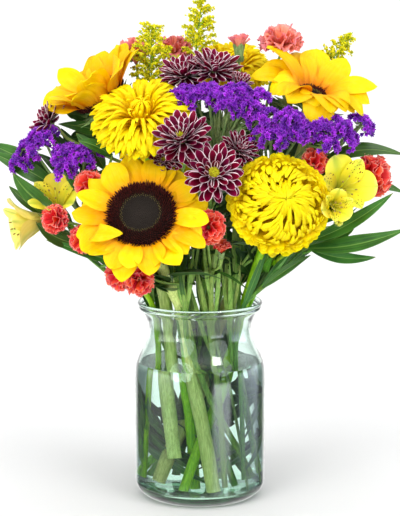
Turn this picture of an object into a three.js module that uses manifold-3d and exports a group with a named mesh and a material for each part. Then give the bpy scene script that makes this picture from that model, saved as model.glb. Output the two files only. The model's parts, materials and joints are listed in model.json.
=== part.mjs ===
// Sunflowers in a vase: a mixed bouquet of cut flowers standing in a clear glass vase with water.
// Millimetres, +Z up. Origin: centre of the vase's flat bottom. The bouquet's front faces -Y.
import * as THREE from "three";
import { mergeVertices } from "three/addons/utils/BufferGeometryUtils.js";
import Module from "manifold-3d";

// ---------- driving dimensions ----------
const BASE_R = 50;             // flat bottom of the vase
const BODY_R = 65;             // widest part of the vase
const NECK_R = 51;
const LIP_R = 62.2;
const VASE_H = 198;
const FLOOR_Z = 9;             // thick glass bottom
const WATER_Z = 136;
const GAP = 0.35;              // clearance between pieces that touch
const VASE_SIDES = 32;
const STEM_SIDES = { thick: 7, thin: 5, twig: 4 };
const PETAL_T = 1.8;           // thickness of a ring of ray petals
const LEAF_T = 1.3;

// outer wall of the vase, bottom to lip: [z, r]
const OUTER = [[0, BASE_R], [4, 58], [12.6, BODY_R], [118, BODY_R], [132, 64.2], [142, 61.2],
  [152, 56], [160, 52.6], [167, NECK_R], [174, 51.2], [182, 54], [190, 59], [196, LIP_R], [VASE_H, 61.4]];
// inner wall, lip to floor
const INNER = [[VASE_H, 59], [190, 55.6], [182, 51], [174, 48.2], [167, 48], [152, 53],
  [142, 58], [132, 60.8], [118, 61.5], [14, 61.5], [FLOOR_Z, 54]];

// blooms: centre of the face, the way it faces, radius, depth from face to stem
const BLOOMS = [
  { name: 'sunflower_front', kind: 'sun', at: [-54.5, -118.0, 301.0], face: [-0.1154, -0.821, 0.5592], r: 62, depth: 16 },
  { name: 'sunflower_left', kind: 'sun', at: [-97.8, -20.0, 403.0], face: [-0.5675, -0.3546, 0.7431], r: 58, depth: 16 },
  { name: 'sunflower_right', kind: 'sun', at: [101.2, -46.0, 403.8], face: [-0.0868, -0.4924, 0.866], r: 58, depth: 16 },
  { name: 'mum_left', kind: 'mum', at: [-54.7, -70.0, 383.9], face: [-0.1116, -0.633, 0.766], r: 46, depth: 22 },
  { name: 'mum_right', kind: 'mum', at: [73.4, -108.0, 309.0], face: [0.0994, -0.9458, 0.309], r: 47, depth: 24 },
  { name: 'mum_top', kind: 'mum', at: [30.8, 30.0, 425.3], face: [0.0409, -0.4677, 0.8829], r: 40, depth: 20 },
  { name: 'mum_back', kind: 'mum', at: [-33.4, 100.0, 312.3], face: [0.1836, 0.8637, 0.4695], r: 44, depth: 22 },
  { name: 'burgundy_mum_1', kind: 'vik', at: [-15.3, -36.0, 426.1], face: [-0.1984, -0.4255, 0.8829], r: 24, depth: 9 },
  { name: 'burgundy_mum_2', kind: 'vik', at: [13.4, -40.0, 432.0], face: [0.1053, -0.3929, 0.9135], r: 26, depth: 9 },
  { name: 'burgundy_mum_3', kind: 'vik', at: [37.9, -58.0, 417.0], face: [0.3039, -0.4341, 0.848], r: 13, depth: 8 },
  { name: 'burgundy_mum_4', kind: 'vik', at: [-17.5, -112.0, 371.7], face: [-0.1798, -0.7211, 0.6691], r: 27, depth: 9 },
  { name: 'burgundy_mum_5', kind: 'vik', at: [12.8, -126.0, 340.0], face: [0.0319, -0.913, 0.4067], r: 27, depth: 9 },
  { name: 'burgundy_mum_6', kind: 'vik', at: [-149.0, -26.0, 378.3], face: [-0.8637, -0.1836, 0.4695], r: 21, depth: 8 },
  { name: 'burgundy_mum_7', kind: 'vik', at: [37.3, -92.0, 359.6], face: [0.3716, -0.6436, 0.6691], r: 18, depth: 8 },
  { name: 'burgundy_mum_8', kind: 'vik', at: [-33.8, -84.0, 347.5], face: [-0.1504, -0.8529, 0.5], r: 17, depth: 8 },
  { name: 'carnation_1', kind: 'car', at: [-137.9, -70.0, 289.7], face: [-0.4555, -0.8567, 0.2419], r: 14.5, depth: 11 },
  { name: 'carnation_2', kind: 'car', at: [-106.1, -72.0, 323.4], face: [-0.3798, -0.8146, 0.4384], r: 15, depth: 12 },
  { name: 'carnation_3', kind: 'car', at: [-112.3, -72.0, 269.8], face: [-0.4997, -0.8655, -0.0349], r: 14, depth: 11 },
  { name: 'carnation_4', kind: 'car', at: [-76.7, -86.0, 237.4], face: [-0.4623, -0.8695, -0.1736], r: 15, depth: 12 },
  { name: 'carnation_5', kind: 'car', at: [-57.5, -94.0, 234.0], face: [-0.0339, -0.9697, -0.2419], r: 15, depth: 12 },
  { name: 'carnation_6', kind: 'car', at: [8.3, -120.0, 289.2], face: [0.0677, -0.9679, 0.2419], r: 16, depth: 12 },
  { name: 'carnation_7', kind: 'car', at: [20.6, -100.0, 265.5], face: [0.0815, -0.4623, 0.8829], r: 9.0, depth: 10 },
  { name: 'carnation_8', kind: 'bud', at: [37.4, -30.0, 452.5], face: [0.0, -0.0698, 0.9976], r: 10, depth: 16 },
  { name: 'carnation_9', kind: 'car', at: [78.3, -14.0, 458.6], face: [0.0479, -0.2714, 0.9613], r: 18, depth: 10 },
  { name: 'carnation_10', kind: 'car', at: [-65.9, 14.0, 445.8], face: [-0.1606, -0.4412, 0.8829], r: 13, depth: 11 },
  { name: 'carnation_11', kind: 'car', at: [-25.7, 24.0, 448.3], face: [0.0354, -0.4052, 0.9135], r: 13, depth: 11 },
  { name: 'carnation_12', kind: 'car', at: [108.2, -80.0, 345.2], face: [0.2835, -0.779, 0.5592], r: 14, depth: 11 },
  { name: 'carnation_13', kind: 'car', at: [165.7, -52.0, 328.7], face: [0.7494, -0.5855, 0.309], r: 18, depth: 12 },
  { name: 'carnation_14', kind: 'car', at: [85.3, 92.0, 297.6], face: [0.4494, 0.7784, 0.4384], r: 17, depth: 12 },
  { name: 'alstroemeria_1', kind: 'als', at: [-175.5, -55.0, 294.3], face: [-0.9303, -0.3023, 0.2079], r: 23, depth: 34 },
  { name: 'alstroemeria_2', kind: 'als', at: [-141.0, -52.0, 311.4], face: [-0.1444, -0.6795, 0.7193], r: 22, depth: 30 },
  { name: 'alstroemeria_3', kind: 'als', at: [139.2, -84.0, 324.8], face: [0.2865, -0.8818, 0.3746], r: 26, depth: 30 },
  { name: 'alstroemeria_4', kind: 'als', at: [112.8, -116.0, 307.3], face: [-0.3073, -0.9458, 0.1045], r: 21, depth: 28 },
];

// stems and their side branches: [radius, points from flower to cut end]
const STEMS = {
  sunflower_front_stem: [
    [6.0, [[-52.7,-104.9,292.0],[-51.8,-96.0,286.9],[-50.2,-88.7,280.5],[-44.0,-73.7,261.8],[-30.5,-50.3,225.1],[-23.5,-40.3,209.3],[-18.6,-34.7,196.8],[-16.1,-32.0,187.9],[-12.4,-29.0,169.0],[-9.6,-28.8,149.2],[-5.2,-30.8,119.1],[4.0,-37.7,69.3],[12.0,-38.0,13.0]]],
  ],
  sunflower_left_stem: [
    [6.0, [[-88.8,-14.3,391.1],[-82.0,-9.7,385.0],[-77.2,-6.8,377.3],[-73.7,-5.1,368.3],[-69.4,-3.5,354.1],[-63.8,-2.4,329.5],[-55.1,-2.5,284.4],[-38.4,-2.2,215.0],[-33.5,-2.4,190.1],[-29.9,-4.4,160.0],[-28.0,-8.8,129.9],[-26.6,-14.4,105.1],[-23.3,-27.0,61.0],[-22.0,-30.0,46.0]]],
  ],
  sunflower_right_stem: [
    [6.0, [[102.6,-38.1,390.0],[105.1,-32.1,382.1],[105.3,-27.9,373.5],[101.3,-22.5,354.7],[95.4,-18.8,335.7],[86.2,-15.4,312.0],[75.7,-12.2,288.8],[61.8,-8.0,261.6],[37.2,0.1,217.5],[31.1,2.1,204.0],[25.9,3.2,190.2],[18.7,3.0,166.4],[10.7,0.3,142.5],[-2.6,-6.7,104.5],[-21.1,-14.3,57.0],[-36.0,-24.0,20.0]]],
  ],
  mum_left_stem: [
    [4.2, [[-52.2,-56.1,367.0],[-51.3,-48.5,360.3],[-50.2,-43.3,352.2],[-48.9,-39.7,343.1],[-46.7,-35.6,328.9],[-40.5,-28.9,294.5],[-32.0,-22.4,255.0],[-22.9,-15.2,215.8],[-18.6,-11.9,191.0],[-15.9,-10.6,165.8],[-14.2,-11.4,140.4],[-13.0,-13.4,125.1],[-9.5,-19.7,94.6],[-8.3,-21.0,84.3],[-5.6,-19.5,43.4],[-4.0,-20.0,13.0]]],
  ],
  mum_right_stem: [
    [4.5, [[71.0,-85.3,301.6],[70.2,-75.3,299.7],[69.0,-67.5,295.1],[67.5,-61.1,288.7],[65.0,-52.9,277.4],[60.2,-41.2,256.3],[49.2,-20.9,216.9],[44.3,-14.0,199.0],[40.7,-10.9,185.1],[35.6,-9.9,166.2],[28.1,-12.4,142.3],[13.8,-21.5,99.4],[0.1,-27.5,60.9],[-15.0,-40.0,14.0]]],
  ],
  mum_top_stem: [
    [4.2, [[30.0,39.4,407.6],[29.9,46.1,400.0],[29.4,49.6,391.3],[27.9,51.3,371.7],[26.1,50.3,351.7],[24.2,47.6,331.5],[21.0,41.9,301.5],[15.2,31.9,256.9],[9.2,21.9,212.4],[7.4,18.8,192.5],[6.7,17.5,177.3],[6.6,17.1,157.0],[7.2,18.0,136.7],[9.9,24.7,71.0],[12.0,24.0,14.0]]],
  ],
  mum_back_stem: [
    [4.2, [[-37.4,81.0,302.0],[-39.9,71.7,298.3],[-40.6,64.8,292.3],[-39.5,57.3,280.8],[-37.1,51.2,267.8],[-34.8,47.9,258.8],[-31.8,45.4,249.5],[-18.7,41.2,216.8],[-11.6,38.0,192.9],[-7.6,35.7,168.0],[-5.1,35.4,142.5],[1.2,38.4,80.8],[8.0,42.0,14.0]]],
  ],
  burgundy_mum_left_spray_stem: [
    [2.9, [[-37.6,-29.6,322.5],[-35.0,-35.9,309.7],[-32.7,-40.4,296.4],[-31.3,-41.9,287.2],[-29.4,-41.9,272.9],[-27.2,-38.5,253.4],[-22.5,-24.4,198.7],[-20.0,-21.3,178.6],[-16.1,-19.6,158.6],[-6.1,-18.7,124.0],[6.4,-15.6,83.9],[20.3,-21.6,45.2],[30.0,-24.0,16.0]]],
    [1.67, [[-30.97,-41.58,287.48],[-30.7,-64.7,333.3],[-31.5,-71.6,341.6],[-32.6,-77.2,343.5]]],
    [1.63, [[-31.68,-41.5,287.3],[-23.1,-66.9,313.8],[-14.2,-88.5,345.5],[-13.1,-97.7,359.0],[-15.9,-105.5,365.7]]],
    [1.74, [[-37.23,-29.16,322.31],[-51.6,-26.7,328.8],[-91.6,-24.6,345.3],[-124.4,-20.7,359.2],[-133.4,-21.1,366.2],[-137.7,-22.7,372.3],[-142.1,-24.5,374.5]]],
    [1.69, [[-37.98,-29.66,322.79],[-26.1,-28.4,358.1],[-12.5,-26.5,400.1],[-10.8,-27.4,410.1],[-11.3,-29.0,414.5],[-13.5,-32.2,418.1]]],
  ],
  burgundy_mum_right_spray_stem: [
    [2.9, [[12.2,-41.2,323.0],[10.7,-47.2,311.2],[9.7,-50.2,303.1],[8.2,-52.2,290.3],[7.2,-51.7,281.4],[6.3,-49.8,272.3],[5.2,-45.0,258.4],[3.1,-24.0,211.8],[2.5,-19.2,197.5],[1.6,-15.6,182.9],[-2.6,-10.0,148.2],[-12.7,-3.1,104.0],[-15.5,-1.3,88.8],[-20.8,5.0,53.2],[-28.0,12.0,13.0]]],
    [1.7, [[8.22,-52.54,290.58],[9.6,-75.6,305.8],[12.2,-107.4,332.0],[12.5,-117.8,336.3]]],
    [1.71, [[7.97,-51.95,290.73],[16.3,-65.0,311.6],[30.2,-79.5,347.0],[34.3,-86.9,354.2]]],
    [1.71, [[12.41,-40.76,322.58],[11.4,-36.1,361.1],[11.0,-31.2,404.6],[11.1,-31.6,415.0],[12.4,-36.5,423.8]]],
    [1.71, [[12.62,-41.54,322.75],[19.3,-44.1,337.8],[22.6,-45.0,348.2],[31.0,-48.4,396.7],[33.6,-51.4,406.2],[35.4,-54.5,410.2]]],
  ],
  carnation_left_stem: [
    [2.6, [[-58.6,-20.0,311.3],[-52.1,-31.3,283.9],[-45.5,-37.5,266.2],[-38.5,-40.9,253.5],[-32.8,-42.7,245.1],[-24.0,-44.7,232.3],[-18.9,-45.6,223.2],[-17.1,-45.8,218.4],[-15.0,-45.7,208.3],[-13.1,-41.7,172.7],[-8.5,-39.5,153.4],[2.2,-36.2,125.1],[15.0,-30.1,92.2],[44.0,-20.0,28.0]]],
    [1.45, [[-18.7,-45.55,223.24],[-21.9,-52.7,223.9],[-32.5,-62.2,226.1],[-44.1,-67.3,230.7],[-56.1,-73.7,238.4],[-57.7,-77.0,239.0],[-57.1,-82.4,236.9]]],
    [1.56, [[-18.68,-45.76,222.82],[-28.8,-45.0,232.3],[-46.6,-51.6,238.3],[-57.3,-58.3,240.6],[-66.1,-66.1,241.8],[-69.3,-70.5,241.3],[-71.2,-75.6,239.5]]],
    [1.5, [[-32.66,-42.74,245.31],[-68.5,-47.4,255.6],[-98.4,-52.3,269.1],[-105.4,-57.3,271.3],[-106.8,-62.5,270.1]]],
    [1.53, [[-45.84,-37.41,266.42],[-81.6,-43.6,271.4],[-120.1,-48.6,281.7],[-129.1,-51.9,284.9],[-132.1,-55.2,286.1],[-132.9,-60.6,287.0]]],
    [1.54, [[-45.45,-37.11,266.6],[-68.4,-44.2,283.8],[-95.0,-51.9,310.8],[-100.3,-57.1,316.8],[-101.5,-62.2,318.1]]],
    [1.52, [[-58.72,-20.21,311.33],[-59.4,0.5,361.9],[-61.8,23.4,419.7],[-62.5,24.8,429.4],[-63.1,23.3,433.4],[-64.1,18.9,436.1]]],
  ],
  carnation_middle_stem: [
    [2.6, [[11.8,0.0,328.7],[12.4,-21.6,307.6],[12.4,-28.0,299.8],[12.5,-31.0,295.7],[12.5,-36.5,287.3],[12.5,-43.3,273.8],[12.3,-46.9,264.6],[11.8,-49.4,255.2],[11.4,-50.7,245.7],[11.0,-50.8,236.4],[10.9,-49.7,227.1],[10.9,-46.1,213.4],[11.4,-37.3,185.5],[12.2,-33.2,161.0],[13.7,-32.9,135.7],[18.1,-35.6,89.8],[20.0,-34.2,48.0],[22.0,-34.0,17.0]]],
    [1.44, [[10.69,-50.75,236.35],[17.5,-83.9,244.7],[19.5,-93.1,251.1],[19.8,-95.4,256.6]]],
    [1.45, [[10.93,-50.89,236.82],[8.8,-70.7,253.8],[6.8,-94.0,280.6],[6.9,-102.7,286.2],[7.5,-108.4,286.2]]],
    [1.46, [[12.79,-27.63,299.89],[24.0,-29.1,348.4],[35.9,-27.9,410.7],[38.0,-27.8,426.3],[37.4,-28.9,436.5]]],
    [1.52, [[12.06,-0.3,328.54],[-5.9,15.5,371.4],[-25.0,32.6,421.2],[-27.4,33.7,430.7],[-27.5,32.3,434.9],[-26.1,28.5,438.2]]],
  ],
  carnation_right_stem: [
    [2.6, [[39.6,0.0,278.9],[38.4,-13.6,257.7],[36.6,-21.3,240.1],[35.3,-23.6,231.0],[33.9,-24.7,221.6],[31.0,-24.4,202.4],[29.4,-23.1,187.7],[29.2,-21.8,172.7],[32.4,-19.8,142.6],[37.1,-7.3,87.2],[46.0,4.0,22.0]]],
    [1.44, [[35.23,-23.64,230.82],[50.9,-34.2,253.3],[79.9,-49.2,296.0],[99.1,-58.9,327.6],[103.6,-63.0,335.5],[104.9,-66.4,338.1],[105.1,-71.4,339.0]]],
    [1.45, [[35.17,-23.31,231.3],[57.5,-29.1,248.4],[92.7,-33.9,274.2],[147.1,-38.5,322.7],[154.2,-40.5,325.7],[156.7,-45.0,325.0]]],
    [1.56, [[39.65,-0.13,278.81],[49.7,-2.2,319.0],[60.5,-4.1,364.2],[70.4,0.6,421.2],[77.8,-6.5,440.6],[77.9,-11.3,448.9]]],
    [1.55, [[39.88,0.01,278.91],[52.7,30.9,280.4],[64.8,55.5,283.0],[74.9,74.4,287.3],[79.9,82.7,292.3]]],
  ],
  alstroemeria_left_stem: [
    [2.9, [[-77.8,-40.0,243.3],[-60.4,-27.5,220.0],[-49.9,-20.4,203.4],[-45.3,-17.1,190.0],[-42.2,-14.8,175.7],[-41.1,-13.7,160.7],[-41.2,-12.8,140.1],[-43.9,-10.6,82.6],[-47.0,-8.0,20.0]]],
    [1.83, [[-77.91,-39.75,243.51],[-104.7,-40.2,262.4],[-130.7,-39.1,283.5],[-138.9,-42.6,287.3],[-143.9,-44.7,287.3]]],
    [1.77, [[-77.84,-39.83,243.6],[-105.3,-29.9,259.8],[-123.6,-24.6,272.5],[-135.3,-24.9,283.1],[-137.2,-27.1,286.6],[-136.7,-31.6,289.8]]],
  ],
  alstroemeria_right_stem: [
    [2.9, [[73.9,-40.0,243.3],[63.3,-17.7,224.3],[56.6,-5.0,210.6],[51.7,2.3,199.2],[48.6,5.8,191.1],[45.4,8.2,182.6],[36.7,10.7,160.1],[23.6,11.3,132.8],[0.5,11.5,92.4],[-20.6,14.1,56.5],[-44.0,16.0,16.0]]],
    [1.79, [[74.14,-40.02,243.33],[101.6,-60.2,273.5],[120.9,-75.3,297.8],[124.6,-81.3,304.0],[124.4,-84.9,305.4],[121.4,-89.5,304.3]]],
    [1.75, [[73.79,-39.77,243.2],[106.3,-42.5,281.8],[123.0,-45.6,303.7],[128.4,-48.9,310.9],[130.2,-52.2,313.2],[130.6,-57.5,313.6]]],
  ],
  statice_left_spray: [
    [2.7, [[-138.7,-18.2,316.8],[-124.5,-12.0,297.2],[-121.6,-10.7,293.4],[-118.6,-9.3,289.6],[-115.5,-7.9,285.9],[-82.9,4.9,249.2],[-63.1,10.3,226.8],[-48.6,13.2,207.0],[-37.9,14.5,185.4],[-22.6,15.5,143.6],[-2.9,18.4,96.6],[11.9,16.9,63.7],[34.0,22.0,13.0]]],
    [1.56, [[-124.24,-12.09,297.27],[-145.8,-20.1,314.2],[-167.6,-32.8,337.7]]],
    [1.53, [[-121.47,-10.68,293.21],[-142.5,-24.1,323.5],[-158.8,-36.5,350.0]]],
    [1.48, [[-118.19,-9.11,289.84],[-134.1,-21.4,323.2],[-149.7,-36.8,361.7]]],
    [1.55, [[-121.77,-10.83,293.38],[-126.9,-49.7,344.9]]],
    [1.47, [[-121.63,-10.99,293.43],[-129.3,-55.7,334.9]]],
    [1.49, [[-115.38,-8.05,286.31],[-113.2,-32.5,315.7],[-110.7,-57.3,345.5]]],
  ],
  statice_middle_spray: [
    [2.7, [[15.9,-53.7,370.4],[16.4,-42.7,346.6],[16.6,-40.7,341.8],[16.8,-38.8,336.9],[17.2,-37.4,332.1],[18.9,-30.3,303.0],[18.4,-24.9,283.4],[17.9,-21.0,268.5],[17.7,-18.5,258.6],[17.5,-10.0,213.6],[17.0,-7.8,188.5],[16.9,-8.1,148.0],[15.9,-7.0,132.6],[12.5,-4.4,117.3],[3.7,1.5,87.6],[-1.9,7.8,58.6],[-10.0,10.0,13.0]]],
    [1.56, [[16.67,-40.62,341.72],[-14.6,-65.0,403.3]]],
    [1.45, [[15.99,-42.48,346.39],[-2.7,-70.5,400.7]]],
    [1.53, [[16.31,-40.47,342.17],[7.9,-72.5,405.4]]],
    [1.49, [[16.41,-40.7,341.46],[19.5,-80.1,402.4]]],
    [1.55, [[16.58,-39.22,336.71],[20.4,-51.0,355.7],[33.8,-82.2,405.4]]],
    [1.55, [[16.63,-40.9,341.45],[27.4,-87.9,396.0]]],
    [1.53, [[16.43,-39.22,336.55],[20.0,-49.6,350.7],[40.8,-88.0,396.9]]],
    [1.52, [[18.79,-25.26,283.52],[15.8,26.1,329.8],[15.2,51.2,356.6],[14.4,78.6,388.3]]],
    [1.49, [[17.92,-21.45,268.67],[33.9,38.2,311.1],[50.7,92.4,358.8]]],
  ],
  statice_right_spray: [
    [2.7, [[72.8,-64.0,348.5],[67.4,-50.3,327.6],[66.3,-47.6,323.4],[65.2,-44.9,319.2],[64.1,-42.1,315.0],[63.0,-39.4,310.8],[60.8,-34.1,302.4],[57.3,-26.1,289.8],[44.0,0.3,247.5],[39.8,8.4,229.3],[35.7,15.0,205.6],[32.7,18.2,181.3],[32.1,18.7,166.5],[32.4,18.7,151.5],[36.0,18.7,116.1],[41.5,19.3,75.6],[48.0,20.0,30.0]]],
    [1.45, [[64.49,-41.65,315.12],[59.9,-54.1,344.5],[53.7,-70.4,378.5],[54.5,-79.0,402.9]]],
    [1.49, [[66.14,-47.48,323.73],[58.3,-85.9,383.9]]],
    [1.46, [[67.27,-50.2,327.92],[66.2,-89.0,369.4]]],
    [1.48, [[66.39,-47.5,323.38],[82.1,-87.8,381.4]]],
    [1.44, [[67.8,-50.02,327.29],[80.0,-95.1,366.9]]],
    [1.48, [[66.08,-47.67,323.1],[93.7,-90.0,373.1]]],
    [1.54, [[65.36,-44.68,319.49],[91.6,-64.0,347.6],[112.9,-82.2,373.2]]],
    [1.51, [[65.04,-44.87,319.41],[83.0,-57.7,337.9],[100.1,-72.7,357.6],[103.7,-76.1,359.9],[111.4,-83.0,358.8],[114.7,-86.2,362.0]]],
    [1.55, [[63.07,-39.12,311.2],[97.4,-56.9,342.2],[129.2,-76.7,374.8]]],
    [1.54, [[62.79,-39.74,310.61],[100.2,-56.8,337.0],[134.7,-76.7,364.8]]],
    [1.56, [[60.63,-33.88,302.48],[106.8,-45.8,338.4],[150.0,-61.2,376.4]]],
  ],
  goldenrod_left_plume: [
    [2.2, [[-46.8,-6.0,384.2],[-38.7,-1.7,344.3],[-32.6,1.1,314.3],[-22.3,3.9,264.2],[-12.7,4.4,214.0],[-5.9,4.5,163.6],[-0.9,5.6,133.6],[8.1,5.8,93.8],[16.0,5.6,53.2],[24.0,6.0,13.0]]],
    [1.62, [[-47.14,-5.7,383.79],[-46.8,-8.0,400.2]]],
    [1.59, [[-38.67,-1.93,344.09],[-23.3,2.9,384.8],[-5.9,8.0,430.4]]],
  ],
  goldenrod_right_plume: [
    [2.2, [[107.5,30.0,387.6],[90.1,31.7,350.8],[73.0,32.7,313.8],[58.5,32.1,281.4],[37.6,31.4,240.3],[25.7,29.8,212.5],[17.4,28.0,183.8],[7.2,27.5,140.0],[-11.5,30.7,76.6],[-30.0,34.0,13.0]]],
    [1.55, [[107.49,29.69,387.55],[107.5,28.0,403.6]]],
  ],
  greens_left_sprig: [
    [2.4, [[-112.0,-30.0,250.0],[-98.0,-22.7,236.2],[-90.2,-18.9,229.6],[-54.3,-4.0,204.9],[-51.6,-2.6,201.7],[-48.2,-0.1,194.8],[-43.4,2.9,179.0],[-37.0,4.1,156.0],[-15.7,5.1,91.8],[-3.4,2.1,51.9],[10.0,4.0,13.0]]],
    [1.4, [[-112.0,-29.96,249.9],[-124.4,-28.2,275.3],[-146.4,-20.0,323.1]]],
    [1.37, [[-111.94,-29.98,249.71],[-141.8,-30.0,316.4]]],
    [1.42, [[-112.21,-29.55,250.0],[-135.0,-46.0,291.2]]],
    [1.37, [[-112.27,-29.98,249.94],[-151.5,-34.0,287.6]]],
    [1.43, [[-112.25,-30.23,250.21],[-111.8,-52.0,262.8]]],
    [1.43, [[-97.67,-22.85,236.22],[-78.9,-58.0,244.3]]],
    [1.42, [[-111.95,-29.68,249.57],[-110.1,-37.7,271.8],[-107.2,-56.0,313.8]]],
    [1.39, [[-112.33,-29.99,249.9],[-102.5,-40.4,290.7],[-91.9,-52.0,336.4]]],
    [1.45, [[-111.76,-30.37,249.59],[-97.9,-44.9,299.3],[-83.7,-60.0,348.8]]],
  ],
  greens_right_sprig: [
    [2.4, [[104.0,-44.0,262.0],[97.5,-42.5,254.1],[94.1,-41.8,250.2],[80.2,-38.5,235.0],[56.9,-32.1,213.5],[53.0,-30.9,209.9],[46.1,-28.8,202.5],[41.7,-27.9,194.7],[37.5,-27.1,182.0],[35.2,-26.8,168.0],[34.9,-27.4,142.9],[37.3,-30.4,86.0],[40.0,-34.0,24.0]]],
    [1.4, [[103.99,-44.08,261.69],[110.3,-47.6,300.7],[116.9,-50.0,340.0]]],
    [1.36, [[104.15,-43.65,261.9],[106.6,-72.0,269.8]]],
    [1.43, [[97.73,-42.68,254.29],[103.0,-70.0,261.7]]],
    [1.39, [[94.52,-42.1,249.99],[107.5,-60.0,258.2]]],
    [1.44, [[97.79,-42.56,254.04],[111.5,-56.0,261.5]]],
    [1.4, [[103.66,-44.35,261.63],[127.4,-40.0,292.5],[150.9,-36.0,323.0]]],
    [1.4, [[56.64,-32.23,213.49],[60.4,-40.0,217.6]]],
    [1.44, [[103.9,-44.33,262.29],[98.0,-54.5,298.3],[91.1,-66.0,339.9]]],
  ],
  greens_back_sprig: [
    [2.4, [[0.0,56.0,330.0],[1.4,53.2,283.8],[2.6,50.9,247.9],[2.8,50.5,242.7],[3.5,48.7,222.3],[3.9,45.7,191.7],[2.9,43.7,166.2],[0.7,43.3,140.7],[-6.5,44.7,79.4],[-14.0,46.0,13.0]]],
    [1.36, [[2.86,50.31,243.15],[-30.7,52.0,251.0]]],
    [1.41, [[3.14,50.61,242.48],[0.0,56.0,250.4]]],
    [1.43, [[2.85,50.06,242.67],[30.7,52.0,251.0]]],
    [1.42, [[3.62,48.37,222.04],[-10.2,50.0,228.6]]],
    [1.39, [[3.07,48.87,222.33],[14.3,50.0,228.6]]],
    [1.45, [[1.33,53.18,283.44],[-20.5,60.0,291.2]]],
    [1.44, [[1.33,53.35,283.44],[22.5,60.0,291.2]]],
    [1.44, [[2.78,50.68,248.26],[-29.2,40.7,254.2],[-50.6,36.0,257.5]]],
    [1.34, [[2.57,50.7,248.19],[50.6,36.0,257.5]]],
  ],
};

// clusters of small violet calyces: [x, y, z, radius]
const CLUSTERS = {
  statice_left_spray: [[-170.1,-34.0,340.3,9.5],[-160.9,-38.0,353.3,10.5],[-151.1,-38.0,364.8,9],[-127.2,-52.0,347.9,9.5],[-129.7,-58.0,337.1,8],[-110.4,-60.0,348.8,10.5]],
  statice_middle_spray: [[-16.0,-66.0,406.2,8.5],[-3.8,-72.0,403.8,9],[7.5,-74.0,408.6,9],[19.6,-82.0,405.4,9],[34.5,-84.0,408.4,9],[27.9,-90.0,398.6,8.5],[41.9,-90.0,399.5,8.5],[14.4,82.0,391.8,12],[51.8,96.0,361.8,12]],
  statice_right_spray: [[54.3,-80.0,405.3,6.5],[57.8,-88.0,387.2,10],[66.2,-92.0,372.7,11],[82.9,-90.0,384.6,10],[80.8,-98.0,369.5,10],[95.0,-92.0,375.5,8.5],[115.1,-84.0,375.7,9.5],[116.8,-88.0,363.9,8.5],[131.5,-78.0,377.0,8.5],[137.2,-78.0,366.7,8.5],[152.6,-62.0,378.5,8.5]],
};

// tapering plumes: [[axis points, radius], ...]
const PLUMES = {
  goldenrod_left_plume: [[[[-46.8,-8.0,400.2],[-47.8,-2.0,436.8],[-46.7,0.0,471.6]],17],[[[-5.9,8.0,430.4],[-1.0,14.0,465.3],[2.9,14.0,504.2]],13]],
  goldenrod_right_plume: [[[[107.5,28.0,403.6],[129.2,30.0,433.2],[151.3,26.0,462.9]],11]],
};

// leaves: [base, middle, tip, width, how far the blade is turned up]
const LEAVES = {
  greens_left_sprig: [[[-146.4,-20.0,323.1],[-175.6,-18.0,342.5],[-209.4,-10.0,356.4],20,0.3],[[-141.8,-30.0,316.4],[-170.4,-32.0,334.2],[-203.3,-30.0,349.6],19,0.3],[[-135.0,-46.0,291.2],[-161.2,-52.0,309.4],[-178.6,-56.0,332.1],20,-0.4],[[-151.5,-34.0,287.6],[-170.7,-34.0,303.2],[-185.5,-30.0,316.4],10,-0.3],[[-111.8,-52.0,262.8],[-136.4,-56.0,269.3],[-157.0,-60.0,285.4],17,0.2],[[-78.9,-58.0,244.3],[-111.3,-60.0,256.3],[-148.3,-52.0,266.7],10,0.2],[[-107.2,-56.0,313.8],[-118.2,-60.0,325.8],[-127.4,-62.0,342.3],17,-0.3],[[-91.9,-52.0,336.4],[-103.2,-52.0,353.7],[-118.7,-46.0,369.4],16,0.3],[[-83.7,-60.0,348.8],[-98.5,-66.0,358.9],[-115.5,-66.0,363.7],13,0.3]],
  greens_right_sprig: [[[116.9,-50.0,340.0],[152.9,-52.0,353.7],[195.2,-50.0,348.7],17,0.4],[[106.6,-72.0,269.8],[144.0,-78.0,287.9],[182.1,-80.0,315.8],15,0.3],[[103.0,-70.0,261.7],[148.6,-72.0,265.9],[196.6,-66.0,279.5],21,0.5],[[107.5,-60.0,258.2],[138.4,-58.0,250.1],[169.6,-54.0,250.5],12,0.2],[[111.5,-56.0,261.5],[130.7,-56.0,269.3],[148.2,-52.0,277.4],13,0.4],[[150.9,-36.0,323.0],[174.3,-34.0,318.9],[198.2,-30.0,309.6],10,0.3],[[60.4,-40.0,217.6],[83.1,-52.0,237.4],[106.6,-60.0,253.4],9,0.3]],
  greens_back_sprig: [[[-30.7,52.0,251.0],[-73.0,96.0,286.6],[-109.6,120.0,315.3],24,0.4],[[-2.1,58.0,254.3],[4.2,112.0,284.5],[6.4,138.0,324.0],23,0.4],[[30.7,52.0,251.0],[73.1,96.0,281.3],[111.5,116.0,307.3],24,0.4],[[-10.2,50.0,228.6],[-41.9,96.0,231.6],[-74.7,130.0,232.8],20,0.4],[[14.3,50.0,228.6],[48.2,96.0,229.5],[81.0,128.0,228.7],20,0.4],[[-20.5,60.0,291.2],[-51.6,86.0,339.9],[-64.2,96.0,380.4],22,0.3],[[22.5,60.0,291.2],[51.6,86.0,339.9],[64.2,96.0,378.3],22,0.3],[[-50.6,36.0,257.5],[-92.7,66.0,253.1],[-135.2,86.0,260.6],20,0.4],[[50.6,36.0,257.5],[92.7,66.0,253.1],[135.0,84.0,260.9],20,0.4]],
};

const COLOURS = {
  glass: 0xbfd8d0, water: 0xdcefe8, ray: 0xffc400, disc: 0x2d120c, green: 0x4f7d22, pale_green: 0xa9b56a,
  mum: 0xffe100, burgundy: 0x7a0c38, coral: 0xf0503c, lily: 0xf7e23a, violet: 0x5a1ec8, plume: 0xc8cf2a, leaf: 0x2f6a1e,
};

const wasm = await Module();
wasm.setup();
const { Manifold, Mesh } = wasm;

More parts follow.
